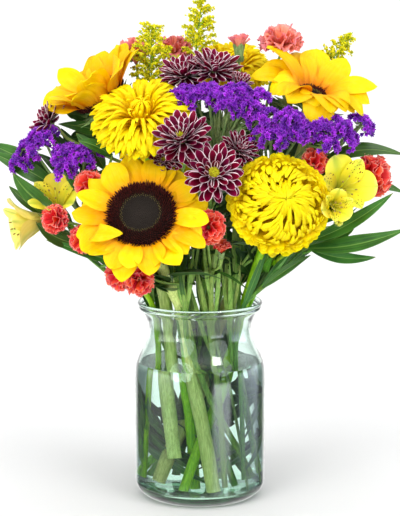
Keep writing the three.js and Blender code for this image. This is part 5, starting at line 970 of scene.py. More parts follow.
def sunflower_petals(kit, at, face, R, near, far, seed, count, length, width, folded=(), loose=8.0, foot=27.0):
    """Ray petals in two rows. near and far are the angles at which a petal leaves, bends and ends, in degrees above the
    disc, on the side towards the viewer and on the side away."""
    rng = np.random.default_rng(seed)
    A = axes(face)
    toward = A @ unit(VIEW - at)
    phi_n = math.atan2(toward[1], toward[0])
    u = tip_spacing(18)
    z = np.array([0, 0, 1.0])
    for k in range(count):
        back = k % 2
        phi = 2 * math.pi * (k + rng.uniform(-0.36, 0.36)) / count
        e, t = np.array([math.cos(phi), math.sin(phi), 0]), np.array([-math.sin(phi), math.cos(phi), 0])
        g = (0.5 + 0.5 * math.cos(phi - phi_n)) ** 1.0
        shift = rng.normal(0, loose)
        a = [math.radians(f * (1 - g) + n * g + shift + rng.normal(0, loose * q) - (2 if back else 0)) for n, f, q in zip(near, far, (0.3, 0.8, 1.6))]
        L = length * rng.uniform(0.84, 1.12) * (1.04 if back else 0.96)
        W = width * rng.uniform(0.82, 1.14)
        sway = rng.uniform(-6, 6)
        p0 = e * (foot + (0.8 if back else 0)) + z * ((-5.2 if back else -2.8) + (27 - foot) * 0.6)
        p1 = p0 + (e * math.cos(a[0]) + z * math.sin(a[0])) * 0.34 * L
        p2 = p1 + (e * math.cos(a[1]) + z * math.sin(a[1])) * 0.36 * L + t * sway * 0.5
        p3 = p2 + (e * math.cos(a[2]) + z * math.sin(a[2])) * 0.36 * L + t * sway * 0.6
        spine = bez([p0, p1, p2, p3], u)
        hw = petal_width(u, W, 0.42, rng.uniform(0.48, 0.62), rng.uniform(1.7, 2.7), rng.uniform(0.62, 0.86))
        side = np.tile(t, (len(u), 1)) + (z - e * 0.3) * (rng.uniform(-0.5, 0.5) * u[:, None] + rng.uniform(-0.18, 0.18))
        v = np.linspace(-1, 1, 9)
        groove = -0.75 * np.exp(-(v / 0.16) ** 2) + 0.42 * np.cos(v * rng.uniform(7.5, 9.5) + rng.uniform(-1, 1))
        wave = rng.uniform(0.9, 2.6) * np.sin(u[:, None] * rng.uniform(4, 8) + v[None] * rng.uniform(1, 2.4) + rng.uniform(0, 6))
        ripple = groove[None] * (1 - 0.4 * u[:, None]) * np.minimum(1, hw[:, None] / 6) + wave * u[:, None] * np.abs(v)[None] ** 1.5
        cup = rng.uniform(-0.12, 0.36) * (1 - 0.55 * u)
        strap(kit, spine, side, hw, "sun", rng.uniform(), 8, cup, ripple, 0.42, at, A)
    for (r0, a0), (r1, a1, z1), (r2, a2, z2), (x3, y3, z3), W in folded:
        p = lambda r, a, z: np.array([r * math.cos(math.radians(a)), r * math.sin(math.radians(a)), z])
        tip = np.array([x3, y3, z3])
        spine = bez([p(r0, a0, -3), p(r1, a1, z1), p(r2, a2, z2), tip], u)
        d = unit(tip - p(r0, a0, 0))
        side = np.tile(np.cross([0, 0, 1.0], d) + np.array([0, 0, 0.15]), (len(u), 1))
        v = np.linspace(-1, 1, 9)
        ripple = (0.4 * np.cos(v * 8)[None] * (1 - 0.5 * u[:, None]))
        strap(kit, spine, side, petal_width(u, W, 0.45, 0.5, 2.2, 0.75), "sun", rng.uniform(), 8, 0.24 * (1 - u), ripple, 0.42, at, A)


SPIKE = bead(5, ((0.0, 0.0), (1.0, 0.10), (0.92, 0.55), (0.34, 0.88), (0.0, 1.0)))
DOME = bead(6, ((0.0, -0.4), (1.0, 0.0), (0.85, 0.5), (0.45, 0.85), (0.0, 0.95)))
FLARE = star(5, 0.52, 0.35, 1.0)


def sunflower_disc(kit, at, face, seed, R=31.0):
    q = R / 31.0
    rng = np.random.default_rng(seed)
    A = axes(face)
    # the cushion that carries the florets, with its green underside
    k = 40
    w = np.linspace(0, 2 * np.pi, k, endpoint=False)
    prof = [(3.6, -16), (7, -15.4), (14, -13.6), (22, -10.6), (28.2, -6.8), (30.6, -3.2), (30.4, -0.8), (28.6, 1.2), (24, 2.6), (19, 2.8), (15, 1.6), (9, 0.4), (4, 0.1)]
    rings = np.stack([np.stack([q * r * np.cos(w) * (1 + 0.012 * np.cos(5 * w)), q * r * np.sin(w) * (1 + 0.012 * np.cos(5 * w)), np.full(k, z)], 1) for r, z in prof])
    top = rings[5:]
    low = rings[:7]
    loft(kit, low @ A + at, "calyx", 0.5)
    loft(kit, top @ A + at, "disc_inner", 0.5)
    # florets in their spirals
    n = 1150
    i = np.arange(n)
    r = 31.4 * np.sqrt((i + 0.5) / n)
    a = i * GOLD
    hz = np.interp(r, [0, 9, 15, 19, 24, 28.6, 31.5], [0.1, 0.4, 1.6, 2.8, 2.6, 1.2, -2.4])
    lean = np.interp(r, [0, 14, 19, 27, 31.5], [0.0, -0.15, 0.05, 0.42, 1.25])
    p = np.stack([q * r * np.cos(a), q * r * np.sin(a), hz - 0.3], 1)
    out = np.stack([np.cos(a) * lean, np.sin(a) * lean, np.ones(n)], 1) + rng.normal(0, 0.10, (n, 3))
    inner = r < 17.2
    ring = (r >= 17.2) & (r < 19.4)
    outer = r >= 19.4
    c = rng.uniform(size=n)
    for mask, mat, tpl, size in (
            (inner, "disc_inner", DOME, (0.80, 1.1)), (ring, "disc_ring", SPIKE, (0.5, 2.2)), (outer, "disc_outer", SPIKE, (0.62, 4.4))):
        m = int(mask.sum())
        s = np.stack([np.full(m, size[0]) * rng.uniform(0.85, 1.2, m)] * 2 + [size[1] * rng.uniform(0.7, 1.25, m)], 1)
        if mat == "disc_outer":
            s[:, 2] *= np.interp(r[mask], [19.4, 24, 31.5], [0.75, 1.0, 1.15])
        scatter(kit, tpl, p[mask] @ A + at, out[mask] @ A, s, mat, c[mask], rng.uniform(0, 6, m))
    # dark forked tips that stand out round the rim
    m = 150
    a = np.linspace(0, 2 * np.pi, m, endpoint=False) + rng.normal(0, 0.02, m)
    rr = rng.uniform(27.5, 31.2, m)
    p = np.stack([q * rr * np.cos(a), q * rr * np.sin(a), np.interp(rr, [27, 31], [1.6, -1.4])], 1)
    out = np.stack([np.cos(a), np.sin(a), rng.uniform(0.35, 1.3, m)], 1) + rng.normal(0, 0.15, (m, 3))
    s = np.stack([np.full(m, 0.5)] * 2 + [rng.uniform(3.0, 5.4, m)], 1)
    scatter(kit, SPIKE, p @ A + at, out @ A, s, "disc_outer", rng.uniform(size=m), rng.uniform(0, 6, m))


def bracts(kit, at, face, seed, R=30.0, depth=16.0):
    """The green pointed leaves behind a sunflower's petals."""
    rng = np.random.default_rng(seed)
    A = axes(face)
    u = tip_spacing(8)
    for k in range(26):
        phi = k * GOLD
        e, t, z = np.array([math.cos(phi), math.sin(phi), 0]), np.array([-math.sin(phi), math.cos(phi), 0]), np.array([0, 0, 1.0])
        r0 = 9 + 12 * (k % 3) / 2
        L = rng.uniform(0.85, 1.1)
        spine = bez([e * r0 + z * (-depth + 1 + (k % 3) * 2.0), e * (R * 0.78) + z * (-depth - 0.5 + (k % 3) * 1.5),
                     e * (R * 1.12 * L) + z * (-9 - rng.uniform(0, 4)) + t * rng.uniform(-4, 4)], u)
        strap(kit, spine, np.tile(t, (len(u), 1)), petal_width(u, rng.uniform(8, 11), 0.7, 0.3, 1.1, 1.0), "calyx", rng.uniform(), 4, -0.2, None, 0.6, at, A)


def pompon(kit, at, face, R, seed, count=270, incurve=(20, 72), widths=(1.8, 3.3, 5.6, 7.2, 7.2), spiky=0.0, sweep=10.0, swirl=0.0,
           rim=(30, 9.0), tuft=0.25, mat="mum"):
    """A yellow pompon mum: a whorl of incurved petals, opening to broader ones that spread and droop at its rim."""
    rng = np.random.default_rng(seed)
    A = axes(face)
    z = np.array([0, 0, 1.0])
    top, low = 0.54 * R, 0.32 * R

    def dome(th, grow=1.0):
        h = top if th < math.pi / 2 else low
        return R * math.sin(th) * grow, h * math.cos(th) * grow

    hubs = []   # petal tips gather in loose tufts
    for i in range(17):
        th, phi = math.radians(10 + 66 * math.sqrt((i + 0.4) / 17)), i * GOLD * 1.03 + rng.uniform(-0.35, 0.35)
        r, h = dome(th, 1.0)
        hubs.append(np.array([r * math.cos(phi), r * math.sin(phi), h]))
    hubs = np.array(hubs)
    for i in range(count):
        f = (i + 0.6) / count
        th = math.radians(4 + 96 * f ** 0.57) + rng.normal(0, 0.05)
        deg = math.degrees(th)
        phi = i * GOLD + rng.normal(0, 0.10)
        inc = 1 - float(ease(incurve[0], incurve[1], deg))
        turn = swirl * inc * rng.uniform(0.7, 1.2)
        ring = lambda w: np.array([math.cos(phi + w), math.sin(phi + w), 0])
        e, e2, e3 = ring(0), ring(0.3 * turn), ring(turn)
        t = np.array([-math.sin(phi + 0.6 * turn), math.cos(phi + 0.6 * turn), 0])
        u = tip_spacing(9 if deg > 25 else 7)
        r_in, z_in = 0.24 * R * math.sin(min(th, 1.5)), -0.16 * R + 0.16 * R * math.cos(th)
        root = e * r_in + z * z_in
        jit = rng.uniform(0.95, 1.04) + spiky * rng.uniform(-0.04, 0.12) * (deg > 55)
        ra, za = dome(th + math.radians(9 * inc - 7 * (1 - inc)), 0.78)
        rb, zb = dome(th + math.radians(4 * inc - 3 * (1 - inc)), 1.04 * jit)
        rc, zc = dome(max(0.02, th - math.radians(27 * inc - sweep * (1 - inc))), (1.0 - 0.03 * inc) * jit)
        lift = (1 - inc) * rng.uniform(-0.03, 0.09) * R
        twist = rng.uniform(-0.07, 0.07) * R * (0.5 + f)
        c2 = e2 * rb * (0.94 + 0.02 * inc) + z * (zb + lift) + t * twist * 0.4
        c3 = e3 * rc + z * (zc + lift * 0.3) + t * twist
        hub = hubs[np.argmin(np.linalg.norm(hubs - c3, axis=1))]
        pull = tuft * (0.25 + 0.75 * inc) * rng.uniform(0.6, 1.2)
        c2 = c2 + (hub - c2) * pull * 0.35
        c3 = c3 + (hub - c3) * pull + unit(c3) * rng.uniform(-0.02, 0.05) * R * inc
        spine = bez([root, e * ra + z * (za + lift), c2, c3], u)
        W = np.interp(deg, [0, 20, 60, 90, 108], widths) * R / 46 * rng.uniform(0.82, 1.16)
        hw = petal_width(u, W, 0.55, rng.uniform(0.62, 0.76), rng.uniform(1.7, 2.5) - 0.6 * spiky, rng.uniform(0.6, 0.85) + 0.25 * spiky)
        side = np.tile(t, (len(u), 1)) + z * rng.uniform(-0.22, 0.22) * u[:, None]
        cup = (0.42 * inc + 0.26 * (1 - inc)) * np.interp(u, [0, 0.5, 1], [1.0, 0.8, 0.6]) * rng.uniform(0.6, 1.3)
        strap(kit, spine, side, hw, mat, rng.uniform(), 4, cup, None, 0.34, at, A)
    for i in range(rim[0]):
        phi = 2 * math.pi * (i + rng.uniform(-0.45, 0.45)) / rim[0]
        e, t = np.array([math.cos(phi), math.sin(phi), 0]), np.array([-math.sin(phi), math.cos(phi), 0])
        u = tip_spacing(10)
        reach = R * rng.uniform(0.95, 1.10 if spiky else 1.06)
        h = rng.uniform(-0.26, 0.10) * R
        curl = rng.uniform(-0.10, 0.16) * R
        spine = bez([e * 0.25 * R - z * 0.14 * R, e * 0.6 * R + z * (h * 0.6 + 0.06 * R), e * 0.86 * R + z * (h + 0.04 * R) + t * rng.uniform(-2, 2),
                     e * reach + z * (h + curl) + t * rng.uniform(-5, 5)], u)
        W = rim[1] * rng.uniform(0.75, 1.2)
        hw = petal_width(u, W, 0.4, rng.uniform(0.6, 0.72), 2.4 - 0.8 * spiky, 0.62 + 0.35 * spiky)
        side = np.tile(t, (len(u), 1)) + z * rng.uniform(-0.6, 0.6) * u[:, None]
        wave = rng.uniform(0.2, 0.7) * np.sin(6 * u[:, None] + 2 * np.linspace(-1, 1, 7)[None] + rng.uniform(0, 6)) * u[:, None]
        strap(kit, spine, side, hw, mat, rng.uniform(), 6, rng.uniform(0.0, 0.5) * (1 - 0.3 * u), wave, 0.36, at, A)


def daisy_mum(kit, at, face, R, depth, seed, eye=0, hint=False, layers=None, mat="burgundy"):
    """A burgundy mum with spoon-shaped, pale-edged petals in layers."""
    rng = np.random.default_rng(seed)
    A = axes(face)
    z = np.array([0, 0, 1.0])
    u = tip_spacing(8)
    layers = layers or [(7, 76, 0.35), (10, 61, 0.55), (12, 44, 0.77), (14, 26, 0.93), (14, 8, 1.02), (9, -8, 1.0)]
    off = rng.uniform(0, 6)
    for q, (n, rise, reach) in enumerate(layers):
        if eye and q < eye:
            continue
        for k in range(n):
            phi = off + q * 0.7 + 2 * math.pi * (k + rng.uniform(-0.22, 0.22)) / n
            e, t = np.array([math.cos(phi), math.sin(phi), 0]), np.array([-math.sin(phi), math.cos(phi), 0])
            a = math.radians(rise + rng.uniform(-6, 6))
            L = R * reach * rng.uniform(0.9, 1.07)
            d = e * math.cos(a) + z * math.sin(a)
            root = e * R * 0.07 + z * (-0.14 * R)
            bend = rng.uniform(0.02, 0.16) * L
            spine = bez([root, root + d * L * 0.45 - z * bend * 0.4 + e * bend * 0.3, root + d * L * 0.8 + z * bend * 0.2 + t * rng.uniform(-0.05, 0.05) * L,
                         root + d * L + z * bend + t * rng.uniform(-0.09, 0.09) * L], u)
            W = R * np.interp(reach, [0.36, 1.0], [0.17, 0.29]) * rng.uniform(0.84, 1.16)
            hw = petal_width(u, W, 0.42, 0.66, rng.uniform(1.9, 2.6), 0.7)
            strap(kit, spine, np.tile(t, (len(u), 1)), hw, mat, rng.uniform(), 5, 0.52 * np.interp(u, [0, 0.6, 1], [1, 1, 0.7]), None, 0.34, at, A)
    if eye:
        m = 70
        i = np.arange(m)
        r = R * 0.16 * np.sqrt((i + 0.5) / m)
        p = np.stack([r * np.cos(i * GOLD), r * np.sin(i * GOLD), 0.10 * R - (r / R) ** 2 * R * 0.9], 1)
        out = np.stack([p[:, 0] * 0.2, p[:, 1] * 0.2, np.ones(m)], 1)
        scatter(kit, DOME, p @ A + at, out @ A, np.stack([np.full(m, R * 0.026)] * 2 + [np.full(m, R * 0.06)], 1), "eye", rng.uniform(size=m))
        w = np.linspace(0, 2 * np.pi, 20, endpoint=False)
        rings = np.stack([np.stack([r * np.cos(w), r * np.sin(w), np.full(20, h)], 1) for r, h in
                          ((0.08 * R, -0.2 * R), (0.15 * R, -0.05 * R), (0.165 * R, 0.03 * R), (0.12 * R, 0.075 * R), (0.04 * R, 0.10 * R))])
        loft(kit, rings @ A + at, "eye", 0.3)
    else:
        m = 12
        i = np.arange(m)
        r = R * 0.10 * np.sqrt((i + 0.5) / m)
        p = np.stack([r * np.cos(i * GOLD), r * np.sin(i * GOLD), np.full(m, -0.02 * R)], 1)
        out = np.stack([p[:, 0] * 0.5 / R * 8, p[:, 1] * 0.5 / R * 8, np.ones(m)], 1)
        scatter(kit, SPIKE, p @ A + at, out @ A, np.stack([np.full(m, R * 0.035)] * 2 + [np.full(m, R * 0.22)], 1), "eye" if hint else mat, rng.uniform(size=m))
    green_cup(kit, at, A, R * 0.24, -depth - 0.5, -0.04 * R, 9)


def green_cup(kit, at, A, r, low, high, teeth):
    """The small green cup under a daisy-like bloom."""
    k = teeth * 2
    w = np.arange(k) * 2 * np.pi / k
    zig = np.where(np.arange(k) % 2 == 0, 1.0, 0.0)
    prof = [(0.34, low), (0.62, low + 0.12 * (high - low)), (0.92, low + 0.45 * (high - low)), (1.0, low + 0.75 * (high - low))]
    rings = [np.stack([r * q * np.cos(w), r * q * np.sin(w), np.full(k, h)], 1) for q, h in prof]
    rings.append(np.stack([r * 1.02 * np.cos(w), r * 1.02 * np.sin(w), high + zig * 0.25 * (high - low)], 1))
    rings.append(np.stack([r * 0.7 * np.cos(w), r * 0.7 * np.sin(w), np.full(k, high - 0.15 * (high - low))], 1))
    loft(kit, np.array(rings) @ A + at, "calyx", 0.6)


def calyx_tube(kit, at, A, r0, r1, low, high, teeth=5):
    """A carnation's long green calyx with its pointed rim."""
    k = teeth * 4
    w = np.arange(k) * 2 * np.pi / k
    zig = 0.5 + 0.5 * np.cos(teeth * w)
    prof = [(0.45, 0.0), (0.9, 0.04), (1.0, 0.14), (1.0, 0.35), (1.06, 0.65), (1.16, 0.9)]
    H = high - low
    rings = [np.stack([(r0 + (r1 - r0) * h) * q * np.cos(w), (r0 + (r1 - r0) * h) * q * np.sin(w), np.full(k, low + h * H)], 1) for q, h in prof]
    rings.append(np.stack([r1 * 1.22 * np.cos(w), r1 * 1.22 * np.sin(w), low + H * (0.92 + 0.24 * zig)], 1))
    rings.append(np.stack([r1 * 0.8 * np.cos(w), r1 * 0.8 * np.sin(w), np.full(k, low + H * 0.86)], 1))
    loft(kit, np.array(rings) @ A + at, "calyx", 0.4)
    for j in range(4):   # the two pairs of small scales at its foot
        a = j * math.pi / 2
        e, t, z = np.array([math.cos(a), math.sin(a), 0]), np.array([-math.sin(a), math.cos(a), 0]), np.array([0, 0, 1.0])
        u = tip_spacing(5)
        spine = bez([e * r0 * 0.8 + z * (low + 0.02 * H), e * r0 * 1.25 + z * (low + 0.16 * H), e * r0 * 1.12 + z * (low + 0.42 * H)], u)
        strap(kit, spine, np.tile(t, (len(u), 1)), petal_width(u, r0 * 1.5, 0.8, 0.4, 1.6, 0.8), "calyx", 0.3, 4, -0.5, None, 0.35, at, A)


def ruffle(kit, at, face, R, depth, seed, count=34, spread=(6, 104), mat="coral", flare=1.0, front=0.66, droop=0.0, broad=1.0):
    """A carnation: crumpled, toothed petals packed into a ball over a green calyx."""
    rng = np.random.default_rng(seed)
    A = axes(face)
    z = np.array([0, 0, 1.0])
    nu, nv = 6, 10
    u = np.array([0, 0.28, 0.52, 0.72, 0.87, 0.95, 1.0])
    v = np.linspace(-1, 1, nv + 1)
    for i in range(count):
        f = (i + 0.5) / count
        th = math.radians(spread[0] + (spread[1] - spread[0]) * f ** 0.6 + rng.normal(0, 3))
        phi = i * GOLD + rng.normal(0, 0.15)
        e, t = np.array([math.cos(phi), math.sin(phi), 0]), np.array([-math.sin(phi), math.cos(phi), 0])
        h = front * R if th < math.pi / 2 else 0.52 * R
        g = rng.uniform(0.88, 1.08)
        tip = e * R * math.sin(th) * g * flare + z * (h * math.cos(th) * g - droop * R * math.sin(th) ** 4)
        root = e * 0.10 * R - z * 0.42 * R
        mid = root * 0.45 + tip * 0.55 + z * 0.20 * R * math.sin(th) - e * 0.05 * R
        spine = bez([root, mid, tip], u)
        W = R * rng.uniform(0.80, 1.25) * broad
        hw = 0.5 * W * (0.16 + 0.84 * u ** 1.25)
        k1, k2 = rng.uniform(3.5, 6.0), rng.uniform(8, 12)
        ph1, ph2 = rng.uniform(0, 6.3, 2)
        amp = R * rng.uniform(0.12, 0.20)
        ripple = amp * np.sin(v[None] * k1 + ph1) * (u[:, None] ** 2) + 0.42 * amp * np.sin(v[None] * k2 + ph2 + 2 * u[:, None]) * (u[:, None] ** 4)
        ripple = ripple + rng.normal(0, 0.015 * R, ripple.shape) * u[:, None] ** 3
        teeth = np.where(np.arange(nv + 1) % 2 == 0, 0.5, -0.5) * rng.uniform(0.05, 0.085) * R + rng.normal(0, 0.016 * R, nv + 1)
        fan = -(v ** 2) * rng.uniform(0.08, 0.22) * R
        tipz = (teeth + fan)[None] * (u[:, None] ** 8) + fan[None] * 0.3 * u[:, None] ** 3 * 0
        s = unit(t + z * rng.uniform(-0.5, 0.5) + e * rng.uniform(-0.35, 0.35))
        cup = rng.uniform(-0.15, 0.5) * u
        strap(kit, spine, np.tile(s, (len(u), 1)), hw, mat, rng.uniform(), nv, cup, ripple, 0.3, at, A, tip=tipz)
    calyx_tube(kit, at, A, 0.21 * R + 0.6, 0.30 * R + 0.4, -depth - 0.5, -0.30 * R)


def carnation_bud(kit, at, face, R, depth, seed, mat="coral_pale"):
    """A half-open carnation: a long calyx with a short frill standing out of it."""
    rng = np.random.default_rng(seed)
    A = axes(face)
    z = np.array([0, 0, 1.0])
    nv = 8
    u = np.array([0, 0.3, 0.55, 0.75, 0.9, 1.0])
    v = np.linspace(-1, 1, nv + 1)
    for i in range(16):
        f = (i + 0.5) / 16
        phi = i * GOLD
        e, t = np.array([math.cos(phi), math.sin(phi), 0]), np.array([-math.sin(phi), math.cos(phi), 0])
        out = R * (0.15 + 1.05 * math.sqrt(f)) * rng.uniform(0.9, 1.08)
        hi = R * rng.uniform(0.80, 1.15) * (1.05 - 0.30 * f)
        spine = bez([e * 0.16 * R - z * depth * 0.35, e * 0.34 * R + z * 0.05 * R, e * out + z * hi], u)
        W = R * rng.uniform(0.6, 0.85)
        hw = 0.5 * W * (0.35 + 0.65 * u ** 1.2)
        amp = 0.10 * R
        ripple = amp * np.sin(v[None] * rng.uniform(3.5, 6) + rng.uniform(0, 6)) * u[:, None] ** 2
        teeth = np.where(np.arange(nv + 1) % 2 == 0, 0.5, -0.5) * 0.07 * R - v ** 2 * 0.1 * R
        strap(kit, spine, np.tile(t, (len(u), 1)), hw, mat, rng.uniform(), nv, 0.3 * u, ripple, 0.3, at, A, tip=teeth[None] * u[:, None] ** 6)
    calyx_tube(kit, at, A, 0.36 * R, 0.50 * R, -depth - 0.5, 0.0)


ANTHER = bead(6, ((0.0, 0.0), (0.8, 0.12), (1.0, 0.5), (0.8, 0.88), (0.0, 1.0)))


def lily(kit, at, face, R, depth, seed, shut=0.0, plain=False):
    """An alstroemeria: three broad outer and three narrow flecked inner petals round six stamens."""
    rng = np.random.default_rng(seed)
    A = axes(face, rng.uniform(-0.4, 0.4))
    z = np.array([0, 0, 1.0])
    u = tip_spacing(14)
    for k in range(6):
        inner = k % 2
        phi = math.radians(90 + 60 * k) + rng.uniform(-0.08, 0.08)
        e, t = np.array([math.cos(phi), math.sin(phi), 0]), np.array([-math.sin(phi), math.cos(phi), 0])
        reach = R * (0.96 if inner else 1.04) * (1 - 0.45 * shut) * rng.uniform(0.95, 1.04)
        up = (0.16 * R if inner else 0.08 * R) + shut * 0.5 * R
        spine = bez([e * 1.6 - z * depth, e * (0.20 * R) - z * depth * 0.5, e * (0.52 * R * (1 - 0.35 * shut)) + z * (0.02 * R + 0.3 * up),
                     e * reach + z * up * rng.uniform(0.4, 1.4)], u)
        W = R * (0.62 if inner else 1.08) * rng.uniform(0.95, 1.06)
        hw = petal_width(u, W, 0.16, 0.64 if inner else 0.66, 2.0 if inner else 2.6, 0.8 if inner else 0.62)
        v = np.linspace(-1, 1, 9)
        fold = -0.9 * np.exp(-(v / 0.14) ** 2)[None] * np.minimum(1, hw[:, None] / 4) * (0.6 + 0.4 * u[:, None])
        wave = 0.7 * np.sin(u[:, None] * 7 + v[None] * 1.7 + rng.uniform(0, 6)) * u[:, None] * np.abs(v)[None]
        strap(kit, spine, np.tile(t, (len(u), 1)), hw, ("lily_flecked" if inner else "lily") if not plain else "lily_pale", rng.uniform(), 8,
              0.42 * np.interp(u, [0, 0.5, 1], [1.2, 0.7, 0.25]), fold + wave, 0.4, at, A)
    for k in range(6):
        phi = math.radians(70 + 60 * k) + rng.uniform(-0.2, 0.2)
        e = np.array([math.cos(phi), math.sin(phi), 0])
        tip = e * R * rng.uniform(0.20, 0.32) + z * rng.uniform(-0.02, 0.16) * R - np.array([0, 0.10 * R, 0])
        path = bez([e * 1.0 - z * depth * 0.8, e * 0.10 * R - z * depth * 0.3, tip], np.linspace(0, 1, 7))
        tube(kit, path @ A + at, np.linspace(0.45, 0.3, 7), "lily", rng.uniform(), 5)
        scatter(kit, ANTHER, [(tip - z * 0.3) @ A + at], [(e * 0.4 + z) @ A], np.array([[0.85, 0.85, 3.0]]), "anther", np.array([rng.uniform()]))
    w = np.arange(12) * 2 * np.pi / 12
    prof = [(1.2, -depth - 1.0), (2.3, -depth + 0.6), (2.8, -depth + 3.2), (2.3, -depth + 6.0), (1.7, -depth + 7.4)]
    rings = np.stack([np.stack([r * (1 + 0.1 * np.cos(6 * w)) * np.cos(w), r * (1 + 0.1 * np.cos(6 * w)) * np.sin(w), np.full(12, h)], 1) for r, h in prof])
    loft(kit, rings @ A + at, "stem_bright", 0.5)


FLORET = star(5, 0.62, 0.30, 1.0)


def statice(kit, clump, seed, centre):
    """A clump of papery violet florets, in curved rows along short winged twigs."""
    x, y, zc, r = clump
    rng = np.random.default_rng(seed)
    c = np.array([x, y, zc])
    r = r * 1.12
    face = unit(c - centre + np.array([0, -18.0, 42.0]))
    A = axes(face, rng.uniform(0, 6.3))
    z = np.array([0, 0, 1.0])
    tube(kit, bez([-z * 0.95 * r, z * 0, z * 0.3 * r], np.linspace(0, 1, 6)) @ A + c, np.linspace(1.5, 1.1, 6), "wing", 0.5, 8, 4, 0.25)
    rows = 5 if r > 10 else 4
    P, O, S = [], [], []
    for k in range(rows):
        ang = 2 * math.pi * (k + rng.uniform(-0.2, 0.2)) / rows
        e, t = np.array([math.cos(ang), math.sin(ang), 0]), np.array([-math.sin(ang), math.cos(ang), 0])
        lean = rng.uniform(-0.5, 0.5)
        path = bez([z * 0.05 * r, e * 0.40 * r + z * 0.62 * r, e * 0.98 * r + z * 0.42 * r + t * lean * r * 0.5,
                    e * 1.16 * r - z * 0.10 * r + t * lean * r], np.linspace(0, 1, 12))
        tube(kit, path, np.linspace(1.3, 0.6, 12) * r / 9, "wing", 0.4, 6, at=c, turn=A)
        tang = unit(np.gradient(path, axis=0))
        up = unit(np.cross(tang, np.cross(z + e * 0.4, tang)))
        m = int(12 + 0.7 * r)
        for q in range(m):
            w = 0.10 + 0.90 * (q + rng.uniform(0.1, 0.9)) / m
            j = min(10, int(w * 11))
            b = w * 11 - j
            p = path[j] * (1 - b) + path[j + 1] * b
            roll = (q % 3 - 1) * 0.85 + rng.normal(0, 0.25)
            o = unit(up[j] * math.cos(roll) + np.cross(tang[j], up[j]) * math.sin(roll) + tang[j] * (0.25 + 0.5 * (w > 0.9)) + rng.normal(0, 0.16, 3))
            P.append(p + o * 0.5)
            O.append(o)
            g = rng.uniform(2.3, 3.7)
            S.append((g, g, rng.uniform(4.2, 6.2)))
    n = len(P)
    scatter(kit, FLORET, np.array(P) @ A + c, np.array(O) @ A, np.array(S), "violet", rng.uniform(size=n), rng.uniform(0, 6, n))
    m = int(r * 3)   # green bracts between and under them
    i = np.arange(m)
    th = np.arccos(np.clip(0.6 - 1.3 * (i + 0.5) / m, -1, 1))
    d = np.stack([np.sin(th) * np.cos(i * GOLD), np.sin(th) * np.sin(i * GOLD), np.cos(th)], 1)
    scatter(kit, SPIKE, (d * r * 0.35) @ A + c, unit(d + [0, 0, 0.6]) @ A, np.stack([np.full(m, 0.8)] * 2 + [np.full(m, 0.55 * r)], 1),
            "wing", rng.uniform(size=m))


SPECK = star(4, 0.5, 0.45, 1.0)


def goldenrod(kit, axis, R, seed, grow=1.45):
    """A feathery plume: side shoots that arch away from the axis, each with rows of tiny florets."""
    rng = np.random.default_rng(seed)
    a, b, c = (np.array(q, float) for q in axis)
    u = np.linspace(0, 1, 24)
    main = bez([a, b, c], u)
    t = unit(np.gradient(main, axis=0))
    tube(kit, main, np.linspace(1.1, 0.35, 24), "stem_mid", 0.4, 6)
    shoots = int(26 + R * 1.25)
    R = R * grow
    pts, outs, sizes = [], [], []
    for k in range(shoots):
        f = 0.04 + 0.90 * (k + 0.5) / shoots
        i = min(23, int(f * 23))
        o = main[i]
        ax = axes(t[i])
        ang = k * GOLD + rng.normal(0, 0.2)
        side = ax[0] * math.cos(ang) + ax[1] * math.sin(ang)
        L = R * np.interp(f, [0, 0.15, 0.4, 0.7, 1.0], [0.75, 1.0, 1.05, 0.68, 0.30]) * rng.uniform(0.8, 1.12)
        rise = L * rng.uniform(0.5, 0.95)
        path = bez([o, o + side * L * 0.45 + t[i] * rise * 0.75, o + side * L + t[i] * rise * rng.uniform(0.6, 1.0)], np.linspace(0, 1, 8))
        tube(kit, path, np.linspace(0.5, 0.22, 8), "stem_bright", 0.4, 4)
        m = int(9 + L * 1.45)
        for q in range(m):
            w = rng.uniform(0.18, 1.0)
            j = w * 7
            i0 = min(6, int(j))
            p = path[i0] * (1 - (j - i0)) + path[i0 + 1] * (j - i0)
            d = unit(rng.normal(0, 1, 3) + t[i] * 0.9)
            pts.append(p + d * rng.uniform(0.5, 1.8))
            outs.append(d)
            sizes.append(rng.uniform(1.0, 1.8))
    for q in range(22):
        w = rng.uniform(0.72, 1.0)
        i = int(w * 23)
        d = unit(rng.normal(0, 1, 3) + t[i])
        pts.append(main[i] + d * rng.uniform(0.5, 1.6))
        outs.append(d)
        sizes.append(rng.uniform(0.7, 1.1))
    n = len(pts)
    s = np.array(sizes)
    scatter(kit, SPECK, np.array(pts) - np.array(outs) * 0.8, np.array(outs), np.stack([s, s, s * 1.7], 1), "golden", rng.uniform(size=n), rng.uniform(0, 6, n))


